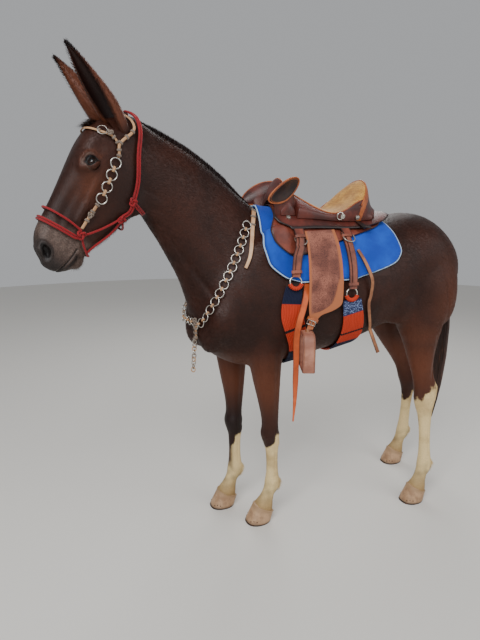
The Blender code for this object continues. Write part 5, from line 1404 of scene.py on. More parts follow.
at, out, up, share = drawn(True, EDGE_HAIRS)
at += rng.normal(0, 0.0022, at.shape) * 0.5
strands("ear_edge_hair", at, out, up + rng.normal(0, 0.25, up.shape), 0.010 + 0.006 * rng.random(EDGE_HAIRS),
        0.0011,
        0.20 + 0.3 * rng.random(EDGE_HAIRS), {"red": 0.7 * (1 - share), "dark": 0.35 + 0.6 * (share > 0.8)},
        "short_coat")
at, out, up, share = drawn(False, SHELL_HAIRS)
at += up * rng.normal(0, 0.004, (SHELL_HAIRS, 1)) + np.cross(out, up) * rng.normal(0, 0.002, (SHELL_HAIRS, 1))
strands("ear_coat", at, out, up + rng.normal(0, 0.15, up.shape), 0.006 + 0.004 * rng.random(SHELL_HAIRS),
        0.0011,
        0.08 + 0.08 * rng.random(SHELL_HAIRS), {"red": np.full(SHELL_HAIRS, 0.8),
                                                "dark": smoothstep(0.80, 0.97, share)},
        "short_coat")

roots, normals, ways, lengths = [], [], [], []
for side in SIDES:
    centre, out, toward, up = eye_frame(side)
    for k in range(LASHES):
        a = LID_HALF_LENGTH * (-0.85 + 1.7 * k / (LASHES - 1))
        b = LID_RISE["upper"] * (1 - (a / LID_HALF_LENGTH) ** 2) ** 0.75
        way = unit((out * 0.9 * EYE_RADIUS + toward * a + up * b)[None])[0]
        roots.append(centre + way * (EYE_RADIUS + 0.0030))
        normals.append(unit((up + out * 0.3)[None])[0])
        ways.append(out * 1.0 + toward * (a * 8) - up * 0.25 + rng.normal(0, 0.06, 3))
        lengths.append(0.009 + 0.005 * rng.random())
count = len(roots)
strands("lashes", roots, normals, ways, lengths, 0.0006, np.full(count, 0.1), {"bare": np.ones(count)})

low = (face_middles[:, 2] < 0.215) & (face_middles[:, 2] > 0.145)
behind = np.zeros(len(low))
crown_hair = np.zeros(len(low))
for leg in STANCE:
    mine = on_leg(leg, face_middles)
    line_y = leg_place(leg, 0.17)[1]
    behind[mine & low & (face_middles[:, 1] > line_y + 0.022)] = 1.0
    near_top = face_middles[:, 2] - coronet_height(leg, face_middles[:, 1])
    crown_hair[mine & (near_top > 0.001) & (near_top < 0.008) & (face_middles[:, 2] < 0.12)] = 1.0
down, depth, side_of = in_head_frame(face_middles)
jaw_hair = ((down > 0.30) & (down < 0.58) & (depth > 0.045) & (np.abs(side_of) < 0.03)
            & (face_middles[:, 1] < -0.93) & (face_middles[:, 2] > 1.1)) * 1.0
for name, weight, count, size, width, rise, pull in (
    ("fetlock_hair", behind, 3200, 0.019, 0.0011, 0.30, (0.0, 0.35, -1.0)),
    ("coronet_hair", crown_hair, 5200, 0.0085, 0.0010, 0.18, (0.0, 0.0, -1.0)),
    ("jaw_hair", jaw_hair, 900, 0.013, 0.0006, 0.45, (0.0, 0.2, -1.0)),
):
    roots, normals = draw_roots(count, weight)
    ways = np.array(pull) + rng.normal(0, 0.12, (count, 3))
    strands(name, roots, normals, ways, size * (0.6 + 0.8 * rng.random(count)), width,
            rise * (0.5 + rng.random(count)), markings(roots), "short_coat")
print("ear edges, lashes, fetlocks, coronets and jaw")

# %% [markdown]
# The mane is clipped to a brush about 2 cm high that thins towards the withers, and the tail hangs in locks
# to below the hocks. A lock is a curved ribbon with a ridge, bundled from many hairs, so it can be coarse.

# %% Mane and forelock
long_hair, shader = finish("long_dark_hair", Roughness=0.40, IOR=HAIR_IOR)
place = add("TexCoord")
streak = add("TexNoise", add("Mapping", place, Scale=(1.0, 1.0, 0.06)), Scale=260.0, Detail=4.0,
             Roughness=0.7)
patchy = add("TexNoise", place, Scale=9.0, Detail=3.0)
colour = add("ValToRGB", streak)
stops = colour.node.color_ramp.elements
stops.new(0.5)
for stop, (position, code) in zip(stops, ((0.28, "#1A100D"), (0.52, "#3A2017"), (0.72, "#5E3420"))):
    stop.position, stop.color = position, linear(code)
colour = add("Mix", add("MULTIPLY", add("MapRange", patchy, 0.4, 0.7), 0.6), colour, "#2A1712")
paint(shader, Base_Color=colour, Normal=add("Bump", streak, Strength=0.5, Distance=0.0010))

MANE_FROM, MANE_TO, MANE_HEIGHT = -0.915, -0.440, 0.021
MANE_TUFTS, FORELOCK_HAIRS = 9000, 420
count = int(MANE_TUFTS * (1.0))
along = rng.random(count)
ys = MANE_FROM + (MANE_TO - MANE_FROM) * along
offsets = rng.normal(0, 0.0050, count)
roots, normals = [], []
for y, offset in zip(ys, offsets):
    top = bent(Vector((offset, y, 2.2)))
    hit, normal, _, _ = skin_tree.ray_cast(top, Vector((0, 0, -1)))
    roots.append(hit)
    normals.append(normal)
roots = np.array(roots)
taper = np.minimum(1.0, 0.35 + 4 * np.minimum(along, (1 - along) * 0.8))
heights = MANE_HEIGHT * taper * (0.75 + 0.4 * rng.random(count))
upright = np.stack([offsets * 22, rng.normal(-0.10, 0.10, count), np.ones(count)], axis=1)
sideways = np.stack([rng.normal(0, 1, count), rng.normal(0, 1, count), np.zeros(count)], axis=1)
dark = 0.6 + 0.4 * rng.random(count)
mane = strands("clipped_mane", roots - np.array([0, 0, 0.001]), sideways, upright, heights, 0.0016,
               rng.normal(0, 0.06, count), {"dark": dark})
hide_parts("mane")

count = FORELOCK_HAIRS
down = 0.075 + 0.035 * rng.random(count)
side_at = rng.normal(0, 0.010, count)
roots, normals = [], []
for d, s in zip(down, side_at):
    far = bent(head_point(d, -0.35, s))
    near = bent(head_point(d, 0.0, s))
    hit, normal, _, _ = skin_tree.ray_cast(far, (near - far).normalized())
    roots.append(hit)
    normals.append(normal)
ways = np.stack([side_at * 26 + 0.25, rng.normal(-0.45, 0.2, count), rng.normal(-0.75, 0.25, count)], axis=1)
mealy = 0.85 * (rng.random(count) > 0.35)
strands("forelock", roots, normals, ways, 0.026 + 0.020 * rng.random(count), 0.0013,
        0.30 + 0.35 * rng.random(count), {"mealy": mealy}, bow=0.10)
print("mane of", len(ys), "tufts and a short forelock")

# %% Tail
TAIL = (
    (1.262, 0.610, 0.020, 0.020),
    (1.240, 0.645, 0.026, 0.024),
    (1.190, 0.668, 0.028, 0.023),
    (1.100, 0.680, 0.030, 0.020),
    (0.980, 0.684, 0.036, 0.020),
    (0.840, 0.687, 0.041, 0.022),
    (0.690, 0.684, 0.041, 0.022),
    (0.550, 0.678, 0.032, 0.020),
    (0.430, 0.668, 0.020, 0.014),
    (0.345, 0.660, 0.005, 0.005),
)
tail_rows = np.array(TAIL)


def tail_at(z):
    """Y of the middle, half width and half depth of the tail at a height."""
    rows = tail_rows[::-1]
    return [float(np.interp(z, rows[:, 0], rows[:, column])) for column in (1, 2, 3)]


pile = Pile()
dock = [(Vector((0, tail_at(z)[0], z)), Vector((0, 1, 0.2)),
         tail_at(z)) for z in np.linspace(1.262, 0.95, 16)]
pile.sweep([(p, o) for p, o, _ in dock], disc(14), 0,
           [(max(w * 0.80, 0.004), max(d * 0.75, 0.004)) for _, _, (_, w, d) in dock])
lock_count, steps = 760, 10
for _ in range(lock_count):
    angle, spread = rng.random() * math.tau, 0.55 + 0.45 * math.sqrt(rng.random())
    start = 1.255 - 0.40 * rng.random() ** 1.3
    end = max(0.335, start - 0.34 - 0.62 * rng.random() ** 0.55)
    drift, wave = rng.normal(0, 0.14), rng.random() * math.tau
    path, widths = [], []
    for k in range(steps + 1):
        share = k / steps
        z = start + (end - start) * share
        y, half_width, half_depth = tail_at(z)
        turn = angle + drift * share + 0.10 * math.sin(wave + share * 5)
        away = spread * (0.90 + 0.10 * share) * min(1.0, 0.55 + 2.2 * share)
        point = Vector((math.sin(turn) * half_width * away, y + math.cos(turn) * half_depth * away, z))
        path.append((point, Vector((math.sin(turn), math.cos(turn), 0.05))))
        wide = 0.0046 * (1 - share ** 3) * min(1.0, 0.4 + 3 * share) + 0.0003
        widths.append((wide, wide * 0.35))
    pile.sweep(path, [(-1, 0), (0, 1), (1, 0)], 0, widths, caps=False)
tail = pile.build("tail_locks", long_hair, sharp=0)
wear(tail, "long_hair", "tail")
print("tail of", lock_count, "locks")

# %% [markdown]
# ## Leather, felt and metal of the tack
# Vegetable-tanned leather is half glossy (IOR 1.5, roughness 0.4 to 0.6) with pores and pull-up marks of a
# few millimetres, and darker, burnished edges. Rough-out leather shows the flesh side: matt and speckled.
# Pores of 0.3 mm are too fine to show, so they are drawn 2 mm wide.

# %% Leathers
LEATHER_IOR = 1.5


def leather(name, light, dark, edge, roughness=0.45, pore=0.0020, speckle=0.0, depth=0.0006):
    """A leather with mottled colour, pores, and a border where the mesh's edge values say so."""
    made, shader = finish(name, Roughness=roughness, IOR=LEATHER_IOR)
    place = add("TexCoord")
    cloud = add("TexNoise", place, Scale=14.0, Detail=5.0, Roughness=0.62)
    pores = add("TexVoronoi", place, Scale=1 / pore)
    colour = add("Mix", add("MapRange", cloud, 0.34, 0.68), dark, light)
    if speckle:
        grit = add("TexNoise", place, Scale=300.0, Detail=2.0, Roughness=0.8)
        spots = add("MULTIPLY", add("MapRange", grit, 0.50, 0.62), speckle)
        colour = add("Mix", spots, colour, dark, blend_type="MULTIPLY")
    colour = add("Mix", add("Attribute", attribute_name="edge"), colour, edge)
    relief = add("MULTIPLY_ADD", cloud, 1.5, pores)
    paint(shader, Base_Color=colour, Roughness=add("MULTIPLY_ADD", cloud, 0.30, roughness - 0.15),
          Normal=add("Bump", relief, Strength=0.5, Distance=depth))
    return made


mahogany = leather("oiled_mahogany_leather", "#63291F", "#3A1813", "#1C0B09", 0.42)
skirting = leather("red_brown_skirting", "#86402E", "#5C271C", "#2A110C", 0.48)
dark_wing = leather("dark_wing_leather", "#33201B", "#170D0B", "#0E0807", 0.38)
binding = leather("orange_brown_binding", "#B4622F", "#8A421D", "#6E3216", 0.45)
rough_out = leather("rough_out_leather", "#9C6250", "#6B3B2F", "#A8623C", 0.78, 0.0016, 0.75, 0.0010)
strap_leather = leather("worn_strap_leather", "#8E4E3A", "#5E3024", "#3A1C14", 0.55)
latigo_leather = leather("orange_latigo_leather", "#D5622A", "#B04A1C", "#8C3A16", 0.52)
tan_thong = leather("tan_thong_leather", "#A8704A", "#7A4A2E", "#3A2218", 0.60)
rawhide = leather("braided_rawhide", "#DDB791", "#B98C66", "#8E6444", 0.50, 0.0030)
print("nine leathers made")

# %% [markdown]
# Nickel plate is a soft warm grey metal with fine scratches. The pad is wool felt, matt with a little sheen
# from its fibres, and its edge is bound with a corded cloth. Suede is the napped side of leather: almost no
# gloss, in patches that lie different ways, and perforated here by holes drawn 2 to 3 mm wide, 9 mm apart,
# each painted dark brown as the shade inside it.

# %% Nickel, felt, piping and suede
HOLE_PITCH = 0.009

nickel, shader = finish("dull_nickel", Roughness=0.27, Metallic=1.0)
scratch = add("TexNoise", add("TexCoord"), Scale=380.0, Detail=3.0)
paint(shader, Base_Color=add("Mix", scratch, "#B7B2A6", "#DAD6CC"),
      Roughness=add("MULTIPLY_ADD", scratch, 0.20, 0.16))

felt, shader = finish("blue_felt_pad", Roughness=0.88, IOR=1.46, Sheen_Weight=0.25, Sheen_Tint="#6F9BE8")
place = add("TexCoord")
fibre = add("TexNoise", place, Scale=520.0, Detail=4.0, Roughness=0.7)
cloud = add("TexNoise", place, Scale=11.0, Detail=4.0)
colour = add("Mix", add("MapRange", cloud, 0.35, 0.70), "#0A3BA6", "#1552C4")
colour = add("Mix", add("MULTIPLY", fibre, 0.35), colour, "#0A3384")
paint(shader, Base_Color=add("Mix", add("Attribute", attribute_name="edge"), colour, "#0B3A93"),
      Normal=add("Bump", fibre, Strength=0.7, Distance=0.0012))

piping, shader = finish("pale_blue_piping", Roughness=0.6, IOR=1.5)
twill = add("TexWave", add("TexCoord"), Scale=160.0, Distortion=1.0)
paint(shader, Base_Color=add("Mix", twill, "#86A9CF", "#BBD3E9"),
      Normal=add("Bump", twill, Strength=0.4, Distance=0.0006))

suede, shader = finish("tan_seat_suede", Roughness=0.86, IOR=1.46, Sheen_Weight=0.2)
nap = add("TexNoise", add("TexCoord"), Scale=30.0, Detail=6.0, Roughness=0.7)
cells = add("VectorMath", add("UVMap"), operation="SCALE", Scale=1 / HOLE_PITCH)
cell = add("VectorMath", cells, operation="FRACTION")
from_hole = add("VectorMath", cell, (0.5, 0.5, 0.0), operation="DISTANCE", out="Value")
hole = add("SUBTRACT", 1.0, add("MapRange", from_hole, 0.10, 0.17))
colour = add("Mix", add("MapRange", nap, 0.36, 0.66), "#A8732E", "#CB9846")
# painted shade: each hole is coloured dark brown for the shade inside it
colour = add("Mix", add("MULTIPLY", hole, 0.8), colour, "#4A2F14")
paint(shader, Base_Color=colour, Normal=add("Bump", add("SUBTRACT", nap, hole), Strength=0.5,
                                            Distance=0.0010))
print("seat holes every", HOLE_PITCH * 1000, "mm")

# %% [markdown]
# ## Draping
# Every leather sheet lies on the hide as in the solids: a ray from outside towards an axis inside the
# barrel gives the place, and a height above it gives the layer. The same is done round the head.

# %% Reading places off the hide
BARREL_AXIS_Z = 1.12


def table(rows, value):
    return float(np.interp(value, [r[0] for r in rows], [r[1] for r in rows]))


def soft_table(rows, value, spread):
    """The table's value with its corners rounded over a spread."""
    return sum(table(rows, value + spread * k / 3) * (4 - abs(k)) for k in range(-3, 4)) / 16


def towards(start, target, tree=hide_tree):
    way = (Vector(target) - Vector(start)).normalized()
    point, normal, _, _ = tree.ray_cast(Vector(start), way)
    return point, normal


def barrel(y, degrees):
    way = Vector((math.sin(math.radians(degrees)), 0, math.cos(math.radians(degrees))))
    axis = Vector((0, y, BARREL_AXIS_Z))
    point, normal = towards(axis + way, axis)
    return point, way, normal


def flank_side(y, z, sign=1):
    return towards((sign * 0.8, y, z), (0, y, z))


def face_place(down, degrees):
    angle = math.radians(degrees)
    near = bent(head_point(down, HEAD_AXIS_DEPTH))
    far = bent(head_point(down, HEAD_AXIS_DEPTH - 0.2 * math.cos(angle), 0.2 * math.sin(angle)))
    return towards(far, near)


def closed_sheet(inner, outer, wide, lay, edge, slots):
    """Two grids of points, joined round their edge, and the loop of that edge."""
    pile, count, rows = Pile(), len(inner), len(inner) // wide
    faces, face_slots = [], []
    for r in range(rows - 1):
        for c in range(wide - 1):
            a = r * wide + c
            faces += [(a, a + 1, a + wide + 1, a + wide),
                      (count + a, count + a + wide, count + a + wide + 1, count + a + 1)]
            face_slots += [slots[a], slots[a]]
    rim = list(range(wide)) + [r * wide + wide - 1 for r in range(1, rows)]
    rim += [(rows - 1) * wide + c for c in range(wide - 2, -1,
                                                 -1)] + [r * wide for r in range(rows - 2, 0, -1)]
    for a, b in zip(rim, rim[1:] + rim[:1]):
        faces.append((b, a, count + a, count + b))
        face_slots.append(slots[a])
    pile.add(inner + outer, faces, face_slots, lay + lay, edge + edge)
    return pile, rim


def drape(name, front, back, widest, low, high, rows, columns, materials, slot_of=None, round_edge=0.006,
          border=0.012, spread=3.0):
    """A sheet over the back. low and high give the heights of its sides at a Y and an angle, and its edge is
    rounded. Returns the object and the loop of its edge."""
    angles = np.linspace(-widest, widest, rows + 1)
    inner, outer, edge, lay, slots = [], [], [], [], []
    for degrees in angles:
        y0 = soft_table(front, abs(degrees), spread)
        y1 = soft_table(back, abs(degrees), spread)
        for c in range(columns + 1):
            share = 0.5 - 0.5 * math.cos(math.pi * c / columns)
            share = 0.5 * share + 0.5 * c / columns
            y = y0 + (y1 - y0) * share
            point, way, _ = barrel(y, float(degrees))
            around = math.radians(widest - abs(degrees)) * (point - Vector((0, y, BARREL_AXIS_Z))).length
            inset = min(y - y0, y1 - y, around)
            lift = math.sqrt(max(0.0, 1 - max(0.0, 1 - inset / round_edge) ** 2)) if round_edge else 1.0
            bottom, top = low(y, degrees), high(y, degrees)
            inner.append(point + way * bottom)
            outer.append(point + way * (bottom + (top - bottom) * (0.30 + 0.70 * lift)))
            edge.append(1.0 - float(smoothstep(border * 0.4, border, inset)) if border else 0.0)
            lay.append((math.radians(float(degrees)) * 0.30, y))
            slots.append(slot_of(y, float(degrees)) if slot_of else 0)
    pile, rim = closed_sheet(inner, outer, columns + 1, lay, edge, slots)
    made = pile.build(name, *materials, sharp=60)
    loop = [(inner[i].lerp(outer[i], 0.5), (outer[i] - inner[i]).normalized()) for i in rim]
    return made, loop


print("draping ready")

# %% [markdown]
# ## Saddle pad
# The pad is felt between two cloths, 16 mm thick, bound with pale piping. It sags a little between the
# saddle's panels, so its outer side gets a low, soft unevenness, and its edge is turned round.

# %% Saddle pad
# Y of the front and the back edge at degrees from the top
PAD_FRONT = ((0, -0.405), (15, -0.414), (43, -0.435), (60, -0.406), (68, -0.373), (77, -0.331), (81, -0.260))
PAD_BACK = ((0, 0.190), (27, 0.188), (44, 0.196), (56, 0.204), (66, 0.172), (72, 0.095), (81, -0.060))


def pad_top(y, degrees):
    puff = 0.0012 * math.sin(y * 55 + degrees * 0.10) * math.sin(degrees * 0.16 + 1.0)
    return 0.0160 + puff


pad, pad_rim = drape("blue_saddle_pad", PAD_FRONT, PAD_BACK, 81, lambda y, d: 0.0010, pad_top, 120, 64,
                     [felt],
                     round_edge=0.012, border=0.010, spread=4.0)
wear(pad, "felt_pad", "saddle_pad")
pile = Pile()
pile.sweep([(p + o * 0.0052, o) for p, o in pad_rim], disc(10, 0.0032), 0, closed_path=True)
wear(pile.build("pad_piping", piping, sharp=0), "felt_pad")
print("pad edge of", len(pad_rim), "points")

# %% [markdown]
# ## Skirt, flaps and seat
# The skirt and the flaps are single sheets of 4 mm skirting leather, cut with a knife, so their edges are
# square and dyed dark. The flap lies over the fender's top. The seat is suede over a foam that rises to the
# cantle.

# %% Skirt and flaps
SKIRT_FRONT = ((0, -0.345), (15, -0.352), (36, -0.410), (44, -0.396), (50, -0.350), (53, -0.300))
SKIRT_BACK = ((0, 0.175), (20, 0.170), (28, 0.130), (38, -0.020), (46, -0.130), (53, -0.215))
FLAP_FRONT = ((0, -0.330), (10, -0.340), (20, -0.362), (25, -0.345), (29, -0.300))
FLAP_BACK = ((0, 0.200), (12, 0.212), (20, 0.207), (26, 0.165), (29, 0.080))
PAD_TOP, FLAP_WIDEST = 0.0165, 31.0


def flat_sheet(low, high):
    return (lambda y, d: PAD_TOP + low), (lambda y, d: PAD_TOP + high)


skirt, _ = drape("leather_skirt", SKIRT_FRONT, SKIRT_BACK, 53, *flat_sheet(0.0060, 0.0102), 96, 56,
                 [skirting], round_edge=0.002, border=0.009)
wear(skirt, "mahogany_leather", "saddle_skirt")


def flap_low(y, degrees):
    return PAD_TOP + 0.0222 - 0.0012 * float(smoothstep(22, 29, abs(degrees)))


def flap_high(y, degrees):
    return flap_low(y, degrees) + 0.0042


flaps, _ = drape("leather_flaps", FLAP_FRONT, FLAP_BACK, FLAP_WIDEST, flap_low, flap_high, 96, 72, [mahogany],
                 round_edge=0.002, border=0.012, spread=1.6)
wear(flaps, "mahogany_leather", "saddle_flaps")
print("skirt and flaps draped")

# %% Seat, cantle and pommel
SEAT_WIDEST, POMMEL_WIDEST, SEAT_INSIDE = 22.8, 20.0, 0.0300
BINDING_WIDTH = 0.020


def ridge_y(degrees):
    bend = abs(degrees) / SEAT_WIDEST
    return 0.112 - 0.078 * bend * bend


def seat_height(y, degrees):
    bend = abs(degrees) / SEAT_WIDEST
    rise = 0.132 * max(0.0, 1 - 0.62 * bend * bend)
    slope = 0.082 if y < ridge_y(degrees) else 0.034
    cantle = rise * math.exp(-(((y - ridge_y(degrees)) / slope) ** 2))
    front = 0.040 * math.exp(-(((y + 0.280) / 0.130) ** 2)) * max(0.0, 1 - 0.5 * bend)
    return PAD_TOP + 0.047 + cantle + front


SUEDE_EDGE = ((-0.262, 7.0), (-0.220, 11.0), (-0.160, 15.5), (-0.090, 19.0), (-0.020, 20.6), (0.034, 19.6),
              (0.060, 19.0))


def seat_part(y, degrees):
    behind = y - ridge_y(degrees)
    if behind >= -0.001:
        return 1 if behind < BINDING_WIDTH else 2
    return 0 if abs(degrees) < table(SUEDE_EDGE, y) else 2


SEAT_BACK = ((0, 0.172), (12, 0.160), (SEAT_WIDEST, 0.110))
seat, _ = drape("suede_seat", ((0, -0.262), (SEAT_WIDEST, -0.262)), SEAT_BACK, SEAT_WIDEST,
                lambda y, d: PAD_TOP + SEAT_INSIDE, seat_height, 112, 120, [suede, binding, mahogany],
                seat_part, round_edge=0.010, border=0.0, spread=1.0)
wear(seat, "seat_suede", "saddle_seat")


def pommel_height(y, degrees):
    bend = abs(degrees) / POMMEL_WIDEST
    return PAD_TOP + 0.041 + 0.082 * max(0.0,
                                         1 - 0.75 * bend * bend) * math.exp(-(((y + 0.300) / 0.030) ** 2))


pommel, _ = drape("leather_pommel", ((0, -0.338), (POMMEL_WIDEST, -0.332)),
                  ((0, -0.264), (POMMEL_WIDEST, -0.264)), POMMEL_WIDEST,
                  lambda y, d: PAD_TOP + SEAT_INSIDE, pommel_height, 60, 30, [mahogany],
                  round_edge=0.010, border=0.0, spread=1.0)
wear(pommel, "mahogany_leather", "pommel")

def welt(places, height, above, radius):
    """Adds a round welt to the pile, a little above a height, through places of Y and degrees."""
    path = []
    for y, degrees in places:
        point, way, _ = barrel(y, float(degrees))
        path.append((point + way * (height(y, degrees) + above), way))
    pile.sweep(path, disc(8, radius))


pile = Pile()
front_y, back_y = -0.258, ridge_y(SEAT_WIDEST)
for sign in (1, -1):
    line = [front_y + (back_y - front_y) * share for share in np.linspace(0, 1, 60)]
    welt([(y, soft_table(SUEDE_EDGE, y, 0.02) * sign) for y in line], seat_height, 0.0008, 0.0030)
across = np.linspace(-SEAT_WIDEST + 0.3, SEAT_WIDEST - 0.3, 70)
welt([(ridge_y(degrees) + 0.0005, degrees) for degrees in across], seat_height, 0.0010, 0.0030)
across = np.linspace(-POMMEL_WIDEST * 0.7, POMMEL_WIDEST * 0.7, 50)
welt([(-0.300, degrees) for degrees in across], pommel_height, 0.0005, 0.0028)
wear(pile.build("seat_welts", binding, sharp=0), "mahogany_leather")
print("seat rises", round(seat_height(0.112, 0) - seat_height(-0.05, 0), 3), "m to the cantle")

# %% [markdown]
# ## Knee wings
# Two padded leaves flare from the pommel, one at each side. Each is lofted in rings from its middle to its
# edge: dished outside, round inside, with a welt along the edge and a gusset down to the flap.

# %% Knee wings
WING_CENTRE, WING_HALF = Vector((0.128, -0.328, 1.520)), (0.080, 0.042)
for side, sign in SIDES.items():
    turn = (Matrix.Rotation(math.radians(8 * sign), 4, "Z") @ Matrix.Rotation(math.radians(28), 4, "X")
            @ Matrix.Rotation(math.radians(24 * sign), 4, "Y"))
    centre = Vector((WING_CENTRE.x * sign, WING_CENTRE.y, WING_CENTRE.z))

    def wing_point(r, angle, lift):
        leaf = 1.0 + 0.10 * math.cos(2 * angle + 0.6)
        flat = Vector((lift * sign, r * math.cos(angle) * WING_HALF[0] * leaf,
                       r * math.sin(angle) * WING_HALF[1]))
        flat.x += sign * (0.010 * (r * math.sin(angle)) ** 2 - 0.006 * r * math.cos(angle))
        return centre + (turn @ flat)

    pile, count, rings = Pile(), 64, 14
    for face in (1, -1):
        points = []
        for r in range(rings + 1):
            share = r / rings
            swell = (1 - share ** 2.6) ** 0.5
            lift = face * (0.0095 * swell) - (0.0030 * (1 - share ** 2) if face == 1 else 0.0)
            points += [wing_point(share, math.tau * k / count, lift) for k in range(count)]
        faces = [quad[::face * sign] for quad in ring_faces(rings + 1, count)]
        pile.add(points, faces, 0 if face == 1 else 2)
    loop = [(wing_point(1.0, math.tau * k / count, 0.0), turn @ Vector((sign, 0, 0))) for k in range(count)]
    pile.sweep(loop, disc(8, 0.0036), 1, closed_path=True)
    stitches = [(wing_point(0.90, math.tau * k / count, 0.0045),
                 turn @ Vector((sign, 0, 0))) for k in range(count)]
    pile.sweep(stitches, disc(4, 0.0008), 1, closed_path=True)
    gusset = []
    for share in np.linspace(0, 1, 12):
        top = wing_point(0.55, math.radians(268), -0.009)
        foot, way, _ = barrel(-0.296, 16.5 * sign)
        foot = foot + way * (PAD_TOP + 0.018)
        gusset.append((foot.lerp(top, float(share)), Vector((sign, -0.1, 0.5))))
    pile.sweep(gusset, disc(20, 1.0), 2, [(0.060 - 0.014 * s, 0.012) for s in np.linspace(0, 1, 12)])
    wing = pile.build(f"wing_{side}", dark_wing, binding, mahogany, sharp=50)
    wear(wing, "mahogany_leather", f"knee_wing_{side}")
print("wings", [round(v * 2000) for v in WING_HALF], "mm")

# %% [markdown]
# ## Straps and metal
# A strap is a thin rounded rectangle carried along its path. Edge values let its material darken the cut
# edges. Conchos are spun nickel domes on leather rosettes, and the rings are 6 mm wire.


# %% Strap, ring and dome
def strap_outline(thickness, steps=7, rounding=0.0012):
    """Across runs from -0.5 to 0.5 and is scaled by the width."""
    top = [(-0.5 + k / (steps - 1), thickness) for k in range(steps)]
    top[0], top[-1] = (-0.5, thickness - rounding), (0.5, thickness - rounding)
    return [(-0.5, 0.0)] + top[:1] + [(-0.48,
                                       thickness)] + top[1:-1] + [(0.48, thickness)] + top[-1:] + [(0.5, 0.0)]


def widths_along(widths, count):
    """A scale across and out for each of the points of a path, from widths evenly spaced along it."""
    rows = [(i / (len(widths) - 1), width) for i, width in enumerate(widths)]
    return [(table(rows, k / (count - 1)), 1.0) for k in range(count)]


def strap(pile, path, widths, thickness, slot=0):
    outline = strap_outline(thickness)
    edge = [1.0 if abs(a) > 0.45 else 0.0 for a, _ in outline]
    pile.sweep(path, outline, slot, widths_along(widths, len(path)), edge=edge)


def smooth_path(points, spacing):
    rows = between([tuple(p) for p in points], 16)
    path = [Vector(rows[0])]
    for row in rows[1:]:
        if (Vector(row) - path[-1]).length >= spacing:
            path.append(Vector(row))
    path[-1] = Vector(rows[-1])
    return path


def ring_of(pile, centre, normal, radius, wire, slot=0, count=36, sides=10, squash=1.0, up=None):
    normal = Vector(normal).normalized()
    u = normal.orthogonal() if up is None else Vector(up) - normal * Vector(up).dot(normal)
    u.normalize()
    v = normal.cross(u)
    path = []
    for k in range(count):
        angle = math.tau * k / count
        out = u * math.cos(angle) * squash + v * math.sin(angle)
        path.append((Vector(centre) + out * radius, normal))
    pile.sweep(path, disc(sides, wire), slot, closed_path=True)


def dome(pile, centre, normal, radius, height, slot=0, count=24, rings=8, lip=0.0):
    """A domed button with a rim."""
    normal = Vector(normal).normalized()
    u = normal.orthogonal().normalized()
    v = normal.cross(u)
    points, faces = [], []
    for r in range(rings + 1):
        share = r / rings
        rise = height * math.sqrt(max(0.0, 1 - share * share)) if share < 1 else -0.002
        rise += lip * math.exp(-((share - 0.86) / 0.06) ** 2)
        points += [Vector(centre) + (u * math.cos(math.tau * k / count) + v * math.sin(math.tau * k / count))
                   * radius * max(share, 0.02) + normal * rise for k in range(count)]
    for r in range(rings):
        faces += [(r * count + k, (r + 1) * count + k, (r + 1) * count + (k + 1) % count,
                   r * count + (k + 1) % count)
                  for k in range(count)]
    faces.append(tuple(range(count)))
    pile.add(points, faces, slot)


# %% Conchos, dees and keepers on the flaps
def at_height(y, z, height, sign=1):
    """The place a height above the hide whose Z is the one wanted, found by halving the angle's range."""
    low, high = 0.0, 90.0
    for _ in range(18):
        middle = (low + high) / 2
        point, way, _ = barrel(y, middle * sign)
        if (point + way * height).z > z:
            low = middle
        else:
            high = middle
    return point + way * height, way


pieces, base = ([], []), 0
for worn in (seat, flaps, pommel):
    pieces[0].extend(vertex.co.copy() for vertex in worn.data.vertices)
    pieces[1].extend(tuple(base + i for i in face.vertices) for face in worn.data.polygons)
    base = len(pieces[0])
saddle_tree = BVHTree.FromPolygons(*pieces)
pile = Pile()
for sign in (1, -1):
    for y, z, radius, ringed in ((-0.300, 1.411, 0.0105, False), (-0.045, 1.416, 0.0120, True),
                                 (0.030, 1.412, 0.0105, False)):
        seat_at, normal = towards((sign * 0.8, y, z), (0, y, z), saddle_tree)
        dome(pile, seat_at - normal * 0.0005, normal, radius * 1.35, 0.0022, 1)
        dome(pile, seat_at + normal * 0.0018, normal, radius, 0.0048, 0, lip=0.0012)
        if ringed:
            ring_of(pile, seat_at + normal * 0.003 + Vector((0, -0.012, 0.002)), normal, 0.0155, 0.0022)
    for y, z in ((-0.270, 1.322), (-0.048, 1.330)):
        ring_of(pile, *at_height(y, z, PAD_TOP + 0.0200, sign), 0.0265, 0.0030)
wear(pile.build("flap_conchos", nickel, mahogany), "nickel")

pile = Pile()
for sign in (1, -1):
    for y, z0, z1, width in ((-0.268, 1.362, 1.322, 0.046), (-0.046, 1.368, 1.332, 0.044)):
        path = [at_height(y, z, PAD_TOP + 0.0148, sign) for z in np.linspace(z0, z1, 6)]
        strap(pile, path, (width, width * 0.94), 0.0075)
    path = [at_height(y, z, PAD_TOP + 0.0272, sign) for y, z in
            ((0.034, 1.400), (0.037, 1.390), (0.044, 1.378), (0.052, 1.366))]
    strap(pile, path, (0.020, 0.024, 0.034), 0.0030, 1)
    path = [at_height(y, z, PAD_TOP + 0.0292, sign) for y,
            z in ((0.034, 1.372), (0.055, 1.369), (0.075, 1.367))]
    strap(pile, path, (0.010, 0.010), 0.0030, 1)
wear(pile.build("flap_keepers", skirting, dark_wing, sharp=50), "mahogany_leather")
print("conchos, dees and keepers")

